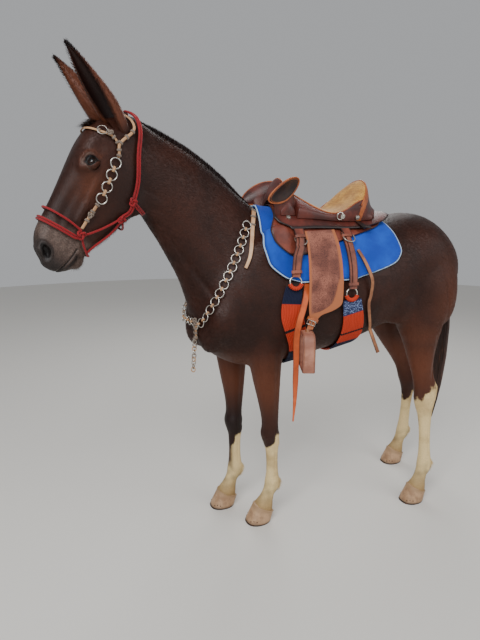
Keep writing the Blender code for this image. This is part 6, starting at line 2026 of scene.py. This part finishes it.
# %% Fenders
FENDER = ((-0.172, 1.335, 0.0315, 0.140), (-0.173, 1.290, 0.0310, 0.140), (-0.175, 1.230, 0.0285, 0.142),
          (-0.177, 1.175, 0.0235, 0.144), (-0.178, 1.148, 0.0230, 0.145), (-0.181, 1.090, 0.0185, 0.146),
          (-0.184, 1.058, 0.0175, 0.140), (-0.201, 1.036, 0.0175, 0.104), (-0.224, 1.020, 0.0180, 0.054),
          (-0.234, 1.000, 0.0190, 0.032))
FENDER_END = ((0.246, -0.250, 0.980, 0.030), (0.272, -0.272, 0.966, 0.030))
FENDER_THICKNESS = 0.0042
FENDER_COLUMNS = 24
for side, sign in SIDES.items():
    inner_columns, outer_columns = [], []
    for c in range(FENDER_COLUMNS + 1):
        share = c / FENDER_COLUMNS - 0.5
        inner_line, outer_line = [], []
        for y, z, height, width in FENDER:
            point, normal = flank_side(y + share * width, z, sign)
            inner_line.append(tuple(point + normal * height))
            outer_line.append(tuple(point + normal * (height + FENDER_THICKNESS)))
        for x, y, z, width in FENDER_END:
            normal = Vector((sign, -0.4, 0.9)).normalized()
            point = Vector((x * sign, y + share * width, z))
            inner_line.append(tuple(point))
            outer_line.append(tuple(point + normal * FENDER_THICKNESS))
        inner_columns.append([Vector(p) for p in between(inner_line, 6)])
        outer_columns.append([Vector(p) for p in between(outer_line, 6)])
    rows = len(inner_columns[0])
    inner = [inner_columns[c][r] for r in range(rows) for c in range(FENDER_COLUMNS + 1)]
    outer = [outer_columns[c][r] for r in range(rows) for c in range(FENDER_COLUMNS + 1)]
    edge = []
    for r in range(rows):
        width = (inner_columns[-1][r] - inner_columns[0][r]).length
        low_share = float(smoothstep(0.62, 0.74, r / rows))
        wide = 0.010 + 0.040 * float(smoothstep(0.25, 0.60, r / rows))
        for c in range(FENDER_COLUMNS + 1):
            from_front = c / FENDER_COLUMNS * width
            from_back = width - from_front
            edge.append(max(low_share, 1 - float(smoothstep(0.006, 0.012, from_front)),
                            1 - float(smoothstep(wide, wide + 0.006, from_back))))
    pile, _ = closed_sheet(inner, outer, FENDER_COLUMNS + 1, [(p.y, p.z) for p in inner], edge,
                           [0] * len(inner))
    if sign > 0:
        pile.faces = [face[::-1] for face in pile.faces]
    wear(pile.build(f"rough_fender_{side}", rough_out, sharp=50), "rough_out_leather", f"fender_{side}")
print("fenders of", rows, "rows")

# %% Stirrups
STIRRUP_TOP, STIRRUP_HEIGHT, STIRRUP_TURN = (0.288, -0.290, 0.964), 0.155, math.radians(-21)
STIRRUP_LOOP = ((-1.0, -1.0), (-1.0, -0.55), (-0.95, -0.25), (-0.72, -0.04), (-0.3, 0.0),
                (0.3, 0.0), (0.72, -0.04), (0.95, -0.25), (1.0, -0.55), (1.0, -1.0))
stirrup_leather = leather("pinkish_stirrup_leather", "#B8806A", "#8E5A48", "#6A3C2E", 0.55)
for side, sign in SIDES.items():
    along = Vector((math.cos(STIRRUP_TURN) * sign, math.sin(STIRRUP_TURN), 0))
    forward = Vector((-math.sin(STIRRUP_TURN) * sign, math.cos(STIRRUP_TURN), 0))
    top = Vector((STIRRUP_TOP[0] * sign, STIRRUP_TOP[1], STIRRUP_TOP[2]))
    half, wall, depth = 0.0625, 0.0055, 0.050
    loop = between([(x * half, -wall + z * (STIRRUP_HEIGHT - 2 * wall)) for x, z in STIRRUP_LOOP], 6)
    floor_z = loop[0][1]
    loop = [(x, z) for x, z in loop] + [(half - half * 2 * k / 16, floor_z) for k in range(1, 16)]
    centre_z = -STIRRUP_HEIGHT / 2
    path = []
    for x, z in loop:
        point = top + along * x + Vector((0, 0, z))
        path.append((point, (along * x + Vector((0, 0, (z - centre_z) * 0.8))).normalized()))
    outline = [(math.copysign(abs(math.sin(t)) ** 0.35, math.sin(t)) * depth / 2,
                math.copysign(abs(math.cos(t)) ** 0.5, math.cos(t)) * wall)
               for t in (math.tau * (k + 0.5) / 20 for k in range(20))]
    edge = [float(smoothstep(0.40, 0.48, abs(a) / depth)) for a, _ in outline]
    pile = Pile()
    pile.sweep(path, outline, 0, closed_path=True, edge=edge)
    for shift in (-0.019, 0.019):
        line = [(p + forward * shift + o * (wall + 0.0002), o) for p, o in path]
        pile.sweep(line, disc(4, 0.0009), 1, closed_path=True)
    hanger = [(top + Vector((0, 0, -0.010)) + Vector((0, 0, 0.004 * k)) + along * -0.002 * k, forward * -1)
              for k in range(5)]
    pile.sweep(hanger, disc(14, 1.0), 1, [(0.016, 0.009)] * 5)
    wear(pile.build(f"covered_stirrup_{side}", stirrup_leather, tan_thong, sharp=50), "rough_out_leather",
         f"stirrup_{side}")

pile = Pile()
for sign in (1, -1):
    centre = Vector((0.234 * sign, -0.238, 0.998))
    out = Vector((sign, -0.35, 0.75)).normalized()
    along = Vector((0.58 * sign, -0.60, -0.50)).normalized()
    across = along.cross(out).normalized()
    band_path = []
    for k in range(28):
        turn = math.tau * k / 28
        reach = across * (0.0215 * math.copysign(abs(math.cos(turn)) ** 0.5, math.cos(turn))) + out * (
            0.0075 * math.copysign(abs(math.sin(turn)) ** 0.7, math.sin(turn)))
        band_path.append((centre + reach, reach.normalized()))
    pile.sweep(band_path, [(-0.007, 0.0), (-0.007, 0.0025), (0.007, 0.0025), (0.007, 0.0)], 0,
               closed_path=True)
    buckle = centre + along * 0.024 + out * 0.009
    for a, b in (((-0.017, -0.012), (0.017, -0.012)), ((0.017, -0.012), (0.017, 0.012)),
                 ((0.017, 0.012), (-0.017, 0.012)), ((-0.017, 0.012),
                                                     (-0.017, -0.012)), ((0.0, -0.012), (0.0, 0.012))):
        start, end = buckle + across * a[0] + along * a[1], buckle + across * b[0] + along * b[1]
        pile.sweep([(start, out), (end, out)], disc(8, 0.0017), 1)
wear(pile.build("fender_keeper_belts", binding, nickel, sharp=50), "rough_out_leather")
print("stirrups", STIRRUP_HEIGHT, "m high, and keeper belts")

# %% [markdown]
# ## Girths
# String girths are rows of mohair cord. Each cord is a ridge of the cross section, and bars of cord in
# other colours are woven across, so the colour changes along the girth. The loops round the rings are
# thicker.

# %% Girth material
CORD_COUNT = 13
ORANGE, NAVY, BLACK = "#D8401C", "#141B3C", "#0E0B10"


def girth_wool(name, stops, speckled=False):
    """Cord whose colour follows the distance from the ring, in metres, through (distance, colour) stops."""
    made, shader = finish(name, Roughness=0.92, IOR=1.5)
    lay, place = add("UVMap"), add("TexCoord")
    across, along = add("SeparateXYZ", lay, out="X"), add("SeparateXYZ", lay, out="Y")
    fuzz = add("TexNoise", place, Scale=340.0, Detail=3.0, Roughness=0.7)
    colour = stops[0][1]
    for start, code in stops[1:]:
        colour = add("Mix", add("MapRange", along, start - 0.001, start + 0.001), colour, code)
    if speckled:
        flecks = add("MapRange", add("TexVoronoi", place, Scale=190.0), 0.50, 0.75)
        here = add("MULTIPLY", add("MapRange", along, 0.003, 0.006),
                   add("SUBTRACT", 1.0, add("MapRange", along, 0.056, 0.058)))
        colour = add("Mix", add("MULTIPLY", here, flecks), colour, "#8FA0CC")
    colour = add("Mix", add("MULTIPLY", fuzz, 0.45), colour, "#1A0D0A", blend_type="MULTIPLY")
    twist = add("SINE", add("MULTIPLY_ADD", along, math.tau / 0.005, add("MULTIPLY", across, 900.0)))
    relief = add("ADD", add("MULTIPLY", twist, 0.3), fuzz)
    paint(shader, Base_Color=colour, Normal=add("Bump", relief, Strength=0.8, Distance=0.0012))
    return made


front_wool = girth_wool("front_girth_mohair", (
    (0.0, NAVY), (0.066, ORANGE), (0.168, BLACK), (0.180, ORANGE), (0.290, BLACK), (0.305, NAVY)))
rear_wool = girth_wool("rear_girth_mohair", (
    (0.0, "#27335F"), (0.060, ORANGE), (0.152, BLACK), (0.163, ORANGE), (0.225, NAVY), (0.300, ORANGE)), True)
loop_wool = girth_wool("girth_loop_mohair", ((0.0, ORANGE),))
print("girth wool made")

# %% [markdown]
# The girth's path is found by rays towards the barrel's middle, from one ring under the belly to the other.
# A strip is swept along it whose outer side has a ridge for each cord, and its width swells between the
# rings.

# %% Girths
FRONT_GIRTH_Y = ((70, -0.300), (85, -0.308), (100, -0.322), (115, -0.325), (128, -0.305), (145, -0.268),
                 (180, -0.245))
REAR_GIRTH_Y = ((70, -0.055), (95, -0.058), (105, -0.058), (120, -0.040), (140, -0.020), (180, -0.015))
CINCH_HEIGHT, CORD_POINTS = 0.0068, 5
GIRTHS = (
    ("front_cinch", FRONT_GIRTH_Y, 1.130, (0.070, 0.095, 0.080, 0.070, 0.080, 0.095, 0.070), front_wool),
    ("rear_cinch", REAR_GIRTH_Y, 1.075, (0.085, 0.115, 0.110, 0.115, 0.085), rear_wool),
)


def girth_path(centre_y, top_z, spacing=2.0):
    first = 60.0
    while barrel(table(centre_y, first), first)[0].z > top_z:
        first += 0.5
    path, degrees = [], first
    while degrees <= 360 - first:
        y = soft_table(centre_y, degrees if degrees <= 180 else 360 - degrees, 8)
        point, _, normal = barrel(y, degrees)
        path.append((point + normal * CINCH_HEIGHT, normal))
        degrees += spacing
    return path


cord_outline = [(-0.5, 0.0)]
for cord in range(CORD_COUNT):
    for share in (j / CORD_POINTS for j in range(CORD_POINTS)):
        ridge = 0.0022 + 0.0052 * abs(math.sin(math.pi * share)) ** 0.6
        cord_outline.append((-0.5 + (cord + share) / CORD_COUNT, ridge))
cord_outline += [(0.5, 0.0022), (0.5, 0.0)]
for name, centre_y, top_z, widths, wool in GIRTHS:
    path = girth_path(centre_y, top_z)
    pile = Pile()
    pile.sweep(path, cord_outline, 0, widths_along(widths, len(path)))
    length = max(v for _, v in pile.lay)
    pile.lay = [(u, min(v, length - v)) for u, v in pile.lay]
    wear(pile.build(f"{name}_cords", wool, sharp=0), "cinch_wool", name)
print("girths of", CORD_COUNT, "cords")

# %% Rings, loops and billets
FRONT_BILLET = ((-0.280, 1.318), (-0.286, 1.290), (-0.296, 1.230), (-0.305, 1.170))
REAR_BILLET = ((-0.054, 1.325), (-0.054, 1.290), (-0.056, 1.200), (-0.062, 1.118))
for side, sign in SIDES.items():
    for which, billet, heights, (ring_y, ring_z), lift in (
        ("front", FRONT_BILLET, (0.0440, 0.0440, 0.0360, 0.0270), (-0.307, 1.151), 0.0235),
        ("rear", REAR_BILLET, (0.0310, 0.0280, 0.0245, 0.0200), (-0.065, 1.099), 0.0165),
    ):
        places = [(y, z, table([(i / 3, h) for i, h in enumerate(heights)], i / 3)) for i,
                  (y, z) in enumerate(billet)]
        path = []
        for y, z, height in smooth_path(places, 0.006):
            point, normal = flank_side(y, z, sign)
            path.append((point + normal * height, normal))
        pile = Pile()
        strap(pile, path, (0.040, 0.038), 0.0042)
        over = [(p + o * 0.0044 + Vector((0, 0.004, 0)), o) for p, o in path[1:-1]]
        strap(pile, over, (0.022, 0.024, 0.022), 0.0038)
        for share in (0.10, 0.92):
            point, out = path[int(share * (len(path) - 1))]
            wrap = [(point + Vector((0, 0.022 * math.cos(t), 0)) + out * (0.0045 + 0.0068 * math.sin(t)),
                     Vector((0, math.cos(t), 0)) + out * math.sin(t)) for t in
                    (math.tau * k / 24 for k in range(24))]
            pile.sweep(wrap, [(-0.006, 0.0), (-0.006, 0.0022), (0.006, 0.0022), (0.006, 0.0)], 0,
                       closed_path=True)
        wear(pile.build(f"{which}_billet_strap_{side}", strap_leather, sharp=50), "rough_out_leather",
             f"{which}_billet_{side}")
        point, normal = flank_side(ring_y, ring_z, sign)
        centre = point + normal * lift
        pile = Pile()
        ring_of(pile, centre, normal, 0.0245, 0.0031, 0)
        down_way = Vector((0, 0, -1)) - normal * normal.dot(Vector((0, 0, -1)))
        down_way.normalize()
        level = normal.cross(down_way)
        for k in range(11):
            turn = math.radians(-68 + 136 * k / 10)
            way = down_way * math.cos(turn) + level * math.sin(turn)
            spot = centre + way * 0.0262
            wrap = []
            for j in range(12):
                angle = math.tau * j / 12
                wrap.append((spot + way * 0.0062 * math.cos(angle) + normal * 0.0062 * math.sin(angle),
                             way * math.cos(angle) + normal * math.sin(angle)))
            pile.sweep(wrap, disc(6, 0.0030), 1, closed_path=True)
        wear(pile.build(f"{which}_ring_{side}", nickel, loop_wool, sharp=0), "nickel",
             f"{which}_cinch_ring_{side}")
print("four rings with their cord loops")

# %% Latigo end and saddle string
LATIGO = ((0.186, -0.238, 1.200), (0.200, -0.250, 1.150), (0.224, -0.266, 1.100), (0.237, -0.284, 1.050),
          (0.239, -0.300, 1.000), (0.238, -0.312, 0.930), (0.240, -0.313, 0.850), (0.245, -0.316, 0.760),
          (0.256, -0.323, 0.660), (0.262, -0.332, 0.575))
REAR_TIE = ((-0.018, 1.265), (0.005, 1.215), (0.028, 1.150), (0.034, 1.094), (0.026, 1.050), (0.045, 0.990),
            (0.080, 0.930))
points = smooth_path(LATIGO, 0.010)
path = [(point, Vector((1, -0.25 + 0.10 * math.sin(k * 0.22), 0))) for k, point in enumerate(points)]
pile = Pile()
strap(pile, path, (0.026, 0.026, 0.026, 0.024, 0.006), 0.0034)
wear(pile.build("latigo_tail", latigo_leather, sharp=50), "latigo_leather", "latigo_end")

path = []
for y, z, _ in smooth_path([(y, z, 0.0) for y, z in REAR_TIE], 0.008):
    point, normal = flank_side(y, z, 1)
    on_pad = float(smoothstep(1.09, 1.16, z))
    path.append((point + normal * (0.0065 + (PAD_TOP + 0.002) * on_pad), normal))
last, out = path[-1]
path += [(last + Vector((0.001 * k, 0.0042 * k, -0.0105 * k)), out) for k in range(1, 12)]
pile = Pile()
strap(pile, path, (0.015, 0.018, 0.016, 0.017), 0.0030)
wear(pile.build("saddle_thong", tan_thong, sharp=50), "rough_out_leather", "saddle_string")
print("latigo and string hang on the left")

# %% [markdown]
# ## Breast chain
# The breast piece is a row of thin iron rings joined by small rawhide loops. Every loop is a flat band bent
# round both wires. Its upper end is tied by a strap with two keepers, and small links hang from the middle.


# %% Braided materials
def braided(name, light, dark, pitch, roughness, depth, sheen=0.0):
    """Two sets of strands crossing at a pitch along the strip, with fibres over them. The dark colour is
    painted shade in the grooves where the strands meet, and also the colour of dirt and fibres.
    """
    made, shader = finish(name, Roughness=roughness, IOR=LEATHER_IOR, Sheen_Weight=sheen,
                          Specular_IOR_Level=0.3)
    lay, place = add("UVMap"), add("TexCoord")
    across, along = add("SeparateXYZ", lay, out="X"), add("SeparateXYZ", lay, out="Y")
    slopes = add("ADD", across, along), add("SUBTRACT", along, across)
    one, two = (add("SINE", add("MULTIPLY", slope, math.tau / 2 / pitch)) for slope in slopes)
    weave = add("ABSOLUTE", add("MULTIPLY", one, two))
    fibre = add("TexNoise", place, Scale=260.0, Detail=3.0)
    dirt = add("TexNoise", place, Scale=22.0, Detail=4.0)
    # painted shade: the grooves where the strands meet get the dark colour, and the strand tops get the light
    # one
    colour = add("Mix", add("MapRange", weave, 0.02, 0.45), dark, light)
    colour = add("Mix", add("MULTIPLY", add("MapRange", dirt, 0.45, 0.75), 0.5), colour, dark)
    colour = add("Mix", add("MULTIPLY", fibre, 0.25), colour, dark)
    relief = add("ADD", weave, add("MULTIPLY", fibre, 0.4))
    paint(shader, Base_Color=colour, Normal=add("Bump", relief, Strength=0.7, Distance=depth))
    return made


# the second colour of each braid is its painted groove shade, and also the colour of its dirt and fibres
halter_rope = braided("red_halter_rope", "#A80A16", "#54050B", 0.0050, 0.62, 0.0010, 0.15)
plaited_rawhide = braided("plaited_rawhide", "#D8AE84", "#8A6042", 0.0045, 0.52, 0.0008)
grey_knots = braided("grey_hide_knots", "#9C8C7E", "#4A3E38", 0.0030, 0.60, 0.0008)

chain_iron, shader = finish("polished_iron", Roughness=0.25, Metallic=1.0)
rust = add("TexNoise", add("TexCoord"), Scale=90.0, Detail=5.0, Roughness=0.7)
paint(shader, Base_Color=add("Mix", add("MapRange", rust, 0.52, 0.72), "#C8C4BC", "#7E6A5C"),
      Roughness=add("MULTIPLY_ADD", rust, 0.35, 0.10))
print("braids and chain iron made")

# %% [markdown]
# Rope and thong are tubes or flat strips along paths that follow the hide. A knot drawn strand by strand
# would cost many points, so a trefoil curve stands in: it has the lobes and crossings of a pulled knot.


# %% Loops, knots and ropes
def evened(path, rounds=4):
    """Draped points follow the hide's small faces, so places and directions are averaged along the strip."""
    for _ in range(rounds):
        inner = [((a[0] + b[0] * 2 + c[0]) / 4, (a[1] + b[1] * 2 + c[1]).normalized())
                 for a, b, c in zip(path, path[1:], path[2:])]
        path = [path[0]] + inner + [path[-1]]
    return path


def spaced(path, count):
    """Equally spaced places along a draped path."""
    gone = np.concatenate([[0], np.cumsum([(b[0] - a[0]).length for a, b in zip(path, path[1:])])])
    picked = []
    for far in np.linspace(0, gone[-1], count):
        k = min(int(np.searchsorted(gone, far, side="right")) - 1, len(path) - 2)
        share = (far - gone[k]) / max(gone[k + 1] - gone[k], 1e-9)
        picked.append((path[k][0].lerp(path[k + 1][0], share),
                       path[k][1].lerp(path[k + 1][1], share).normalized()))
    return picked


def tie_loop(pile, centre, along, normal, half, high, width, thickness, slot):
    """A flat band bent round two wires."""
    along, normal = along.normalized(), normal.normalized()
    loop = []
    for k in range(20):
        turn = math.tau * k / 20
        reach = (along * half * math.copysign(abs(math.cos(turn)) ** 0.6, math.cos(turn))
                 + normal * high * math.sin(turn))
        loop.append((centre + reach, (along * math.cos(turn) + normal * math.sin(turn) * 2).normalized()))
    wide = width / 2
    pile.sweep(loop, [(-wide, 0.0), (-wide * 0.8, thickness), (wide * 0.8, thickness), (wide, 0.0)], slot,
               closed_path=True)


def knot(pile, centre, normal, along, size, radius, slot=0):
    """A trefoil pressed a little flat, which reads as a pulled knot with three lobes."""
    normal = normal.normalized()
    along = (along - normal * normal.dot(along)).normalized()
    across = normal.cross(along)
    path = []
    for k in range(48):
        t = math.tau * k / 48
        point = (centre + along * size * (math.sin(t) + 2 * math.sin(2 * t)) / 3
                 + across * size * (math.cos(t) - 2 * math.cos(2 * t)) / 3
                 - normal * radius * 1.1 * math.sin(3 * t))
        path.append((point, normal))
    pile.sweep(path, disc(8, radius), slot, closed_path=True)


def rope(pile, path, radius, slot=0, beside=0.0, sides=10):
    """One rope, or with an offset two ropes side by side."""
    for flip in ((-1, 1) if beside else (0,)):
        line = []
        for k, (point, out) in enumerate(path):
            along = path[min(k + 1, len(path) - 1)][0] - path[max(k - 1, 0)][0]
            line.append((point + along.cross(out).normalized() * beside * flip, out))
        pile.sweep(line, disc(sides, radius), slot)


def ring_chain(pile, places, radius, wire, link_width):
    for k, (point, out) in enumerate(places):
        along = places[min(k + 1, len(places) - 1)][0] - places[max(k - 1, 0)][0]
        tilt = Matrix.Rotation(math.radians(7 * math.sin(k * 2.4)), 3, along)
        ring_of(pile, point, tilt @ out, radius, wire, 0, count=32, sides=8)
        if k:
            before = places[k - 1]
            middle, way = (point + before[0]) / 2, point - before[0]
            half = max(way.length / 2 - radius + wire * 2.4, wire * 2.2)
            tie_loop(pile, middle, way, (out + before[1]), half, wire * 1.9, link_width, 0.0018, 1)

# %% Breast chain, ties and pendant
BREAST_AXIS_Y, BREAST_CENTRE_X = -0.40, 0.070
BREAST_CHAIN = ((49, 1.377), (47, 1.307), (43.4, 1.233), (38.6, 1.161), (33, 1.086), (29.5, 1.040),
                (24, 1.002),
                (18, 0.982))
BREAST_RINGS = {"left": 14, "right": 17}
BREAST_TIE = ((57, 1.437), (60, 1.402), (61, 1.355), (63, 1.310), (61, 1.260), (56, 1.214))


def breast_path(rows, sign, height):
    path = []
    for degrees, z in between(rows, 10):
        way = Vector((math.sin(math.radians(degrees)) * sign, -math.cos(math.radians(degrees)), 0))
        axis = Vector((0, BREAST_AXIS_Y, z))
        point, normal = towards(axis + way * 0.8, axis)
        path.append((point + normal * height, normal))
    return evened(path)


for side, sign in SIDES.items():
    pile = Pile()
    across = ((15.5, 0.980),) if sign > 0 else ((10, 0.985), (0, 0.988), (-9.5, 0.988))
    places = spaced(breast_path(BREAST_CHAIN + across, sign, 0.0095), BREAST_RINGS[side])
    ring_chain(pile, places, 0.0178, 0.0022, 0.0085)
    wear(pile.build(f"breast_rings_{side}", chain_iron, plaited_rawhide, sharp=0), "nickel",
         f"breast_chain_{side}")
    path = breast_path(BREAST_TIE, sign, 0.0050)
    pile = Pile()
    strap(pile, path, (0.020, 0.018, 0.016, 0.013), 0.0034)
    for share in (0.03, 0.16, 0.30):
        k = int(share * (len(path) - 1))
        point, out = path[k]
        way = path[k + 1][0] - point
        tie_loop(pile, point + out * 0.0017, way.cross(out), out, 0.0105, 0.0040, 0.009, 0.0020, 1)
    wear(pile.build(f"breast_strap_{side}", rawhide, grey_knots, sharp=50), "rawhide", f"breast_tie_{side}")

places = []
for z in np.linspace(0.992, 0.920, 9):
    point, normal = towards((BREAST_CENTRE_X, -1.5, z), (BREAST_CENTRE_X, 0, z))
    places.append((point + normal * 0.004, normal))
places = evened(places)
pile = Pile()
strap(pile, places, (0.022, 0.018, 0.014), 0.0050)
for k in (1, 3, 5, 7):
    point, out = places[k]
    tie_loop(pile, point + out * 0.0030, (places[k + 1][0] - point).cross(out), out, 0.0115, 0.0055, 0.010,
             0.0025, 1)
knot(pile, places[0][0] + places[0][1] * 0.007, places[0][1], Vector((0, 0, 1)), 0.014, 0.0040, 1)
wear(pile.build("breast_centre_knots", plaited_rawhide, grey_knots, sharp=50), "rawhide", "breast_centre")
low_end = places[-1][0] + Vector((0, -0.010, -0.012))
pile = Pile()
for k in range(9):
    point = low_end + Vector((0.001 * math.sin(k * 2.1), -0.001 * k, -0.015 * k))
    face = Vector((math.sin(k * math.pi / 2) * 0.9, -1, 0)) if k % 2 else Vector((1, -0.3, 0))
    ring_of(pile, point, face, 0.0078, 0.0023, k % 3, count=20, sides=6, squash=1.30, up=(0, 0, 1))
knot(pile, low_end + Vector((0, 0, 0.008)), Vector((0.3, -1, 0)), Vector((0, 0, 1)), 0.009, 0.0028, 1)
wear(pile.build("breast_pendant_links", chain_iron, grey_knots, plaited_rawhide, sharp=0), "rawhide",
     "breast_pendant")
print("breast chain of", *BREAST_RINGS.values(), "rings")

# %% [markdown]
# ## Rope halter and rawhide bridle
# The halter is one braided red rope, doubled behind the ears and over the nose and tied in three-lobed
# knots at the joints. The bridle is plaited rawhide with thin knots, and iron rings run down the cheek.


# %% Halter
def head_path(rows, height, sign=1):
    rows = list(rows)
    if rows[-1][1] == 0:
        rows += [(down, -degrees) for down, degrees in rows[-2::-1]]
    elif rows[-1][1] == 180:
        rows += [(down, 360 - degrees) for down, degrees in rows[-2::-1]]
    path = []
    for down, degrees in between(rows, 9):
        point, normal = face_place(down, degrees * sign)
        path.append((point + normal * height, normal))
    return evened(path)


def head_spot(down, degrees, height, sign=1):
    point, normal = face_place(down, degrees * sign)
    return point + normal * height, normal


HALTER_CROWN = ((0.262, 143), (0.200, 134), (0.110, 112), (0.040, 100), (0.006, 76), (-0.004, 35),
                (-0.006, 0))
HALTER_CHEEK = ((0.458, 82), (0.440, 105), (0.411, 128), (0.375, 142), (0.343, 148))
HALTER_JOIN = ((0.343, 148), (0.310, 149), (0.284, 146), (0.262, 143))
HALTER_NOSE_UPPER = ((0.449, 72), (0.444, 62), (0.436, 40), (0.430, 18), (0.429, 0))
HALTER_NOSE_LOWER = ((0.472, 72), (0.476, 60), (0.474, 40), (0.471, 18), (0.470, 0))
HALTER_CHIN = ((0.462, 80), (0.474, 88), (0.486, 99), (0.500, 118), (0.512, 145), (0.512, 180))
HALTER_JAW = ((0.343, 152), (0.402, 157), (0.455, 150), (0.505, 136))
HALTER_THROAT = ((0.352, 158), (0.362, 168), (0.366, 180))
ROPE_RADIUS, ROPE_LIFT = 0.0041, 0.0085


def halter_piece(name, nodes, ropes, knots=()):
    pile = Pile()
    for path, beside in ropes:
        rope(pile, path, ROPE_RADIUS, 0, beside)
    for (point, normal), along, size in knots:
        knot(pile, point, normal, along, size, ROPE_RADIUS * 1.05)
    wear(pile.build(name, halter_rope, sharp=0), "halter_rope", *nodes)


halter_piece("halter_rope_crown", ["halter_crown"], [(head_path(HALTER_CROWN, 0.0100), 0.0043)])
for side, sign in SIDES.items():
    knot_one, knot_two = head_spot(0.271, 143, 0.012, sign), head_spot(0.340, 150, 0.012, sign)
    nose_knot = head_spot(0.461, 76, 0.011, sign)
    tail_end = bent(head_point(0.283, 0.193, 0.036 * sign))
    out = Vector((sign, -0.3, 0)).normalized()
    tail = [(knot_one[0].lerp(tail_end, k / 8) + out * 0.006 * math.sin(math.pi * k / 8),
             out) for k in range(9)]
    halter_piece(f"halter_rope_cheek_{side}", [f"halter_cheek_{side}"],
                 [(head_path(HALTER_CHEEK, ROPE_LIFT, sign), 0.0),
                  (head_path(HALTER_JOIN, ROPE_LIFT, sign), 0.0043),
                  (tail, 0.0043)],
                 [(knot_one, Vector((0, 0, 1)), 0.0135), (knot_two, Vector((0, 0.5, 1)), 0.0135),
                  (nose_knot, Vector((0, 1, -0.3)), 0.0150)])
halter_piece("halter_rope_nose_upper", ["halter_nose_upper"], [(head_path(HALTER_NOSE_UPPER, 0.0075), 0.0)])
halter_piece("halter_rope_nose_lower", ["halter_nose_lower"],
             [(head_path(HALTER_NOSE_LOWER, 0.0075), 0.0043)])
jaws = [(head_path(HALTER_JAW, ROPE_LIFT, sign), 0.0) for sign in SIDES.values()]
halter_piece("halter_rope_chin", ["halter_chin"], [(head_path(HALTER_CHIN, 0.0080), 0.0)] + jaws)
halter_piece("halter_rope_throat", ["halter_throat"], [(head_path(HALTER_THROAT, 0.0105), 0.0)])
print("halter tied")

# %% Bridle
BRIDLE_CROWN = ((0.166, 77), (0.150, 74), (0.128, 68), (0.100, 71), (0.066, 80), (0.040, 80), (0.022, 62),
                (0.015, 30), (0.014, 0))
BRIDLE_BROWBAND = ((0.130, 69), (0.116, 58), (0.113, 48), (0.120, 35), (0.124, 18), (0.124, 0))
BRIDLE_RINGS = ((0.188, 77), (0.229, 80), (0.272, 83), (0.316, 84))
BRIDLE_STRAP = ((0.340, 82), (0.362, 79), (0.386, 76), (0.412, 73), (0.440, 70))


def plait(pile, path, width, thickness, slot=0):
    """A plaited strip with a rounded section."""
    pile.sweep(path, [(a * width / 2, o * thickness / 2 + thickness / 2) for a, o in disc(12)], slot)


def keepers(pile, path, shares, width, slot=1):
    """Knots of thin hide wound round a plait."""
    for share in shares:
        k = min(int(share * (len(path) - 1)), len(path) - 2)
        point, out = path[k]
        way = path[k + 1][0] - point
        tie_loop(pile, point + out * 0.0025, way.cross(out), out, width / 2 + 0.0015, 0.0042, 0.0085, 0.0022,
                 slot)


path = head_path(BRIDLE_CROWN, 0.0045)
pile = Pile()
plait(pile, path, 0.0105, 0.0050)
keepers(pile, path, (0.03, 0.09, 0.15, 0.21, 0.27, 0.73, 0.79, 0.85, 0.91, 0.97), 0.0105)
wear(pile.build("bridle_rawhide_crown", plaited_rawhide, grey_knots, sharp=0), "rawhide", "bridle_crown")
path = head_path(BRIDLE_BROWBAND, 0.0012)
pile = Pile()
plait(pile, path, 0.0085, 0.0050)
keepers(pile, path, (0.06, 0.14, 0.30, 0.70, 0.86, 0.94), 0.0090)
for sign in (1, -1):
    spot, normal = head_spot(0.108, 47, 0.0090, sign)
    knot(pile, spot, normal, Vector((0, 0, 1)), 0.0095, 0.0030, 1)
    spot, normal = head_spot(0.115, 38, 0.0085, sign)
    ring_of(pile, spot, normal, 0.0165, 0.0014, 2)
wear(pile.build("bridle_rawhide_browband", plaited_rawhide, grey_knots, chain_iron, sharp=0), "rawhide",
     "bridle_browband")
for side, sign in SIDES.items():
    pile = Pile()
    ring_chain(pile, [head_spot(down, degrees, 0.0070, sign) for down, degrees in BRIDLE_RINGS], 0.0182,
               0.0024,
               0.0095)
    wear(pile.build(f"bridle_rings_{side}", chain_iron, plaited_rawhide, sharp=0), "nickel",
         f"bridle_chain_{side}")
    path = head_path(BRIDLE_STRAP, 0.0035, sign)
    pile = Pile()
    plait(pile, path, 0.0110, 0.0050)
    keepers(pile, path, (0.04, 0.36, 0.70), 0.0110)
    spot, normal = head_spot(0.384, 76, 0.0085, sign)
    knot(pile, spot, normal, Vector((0, 0, 1)), 0.0100, 0.0030, 1)
    wear(pile.build(f"bridle_rawhide_strap_{side}", plaited_rawhide, grey_knots, sharp=0), "rawhide",
         f"bridle_strap_{side}")
print("bridle laid")
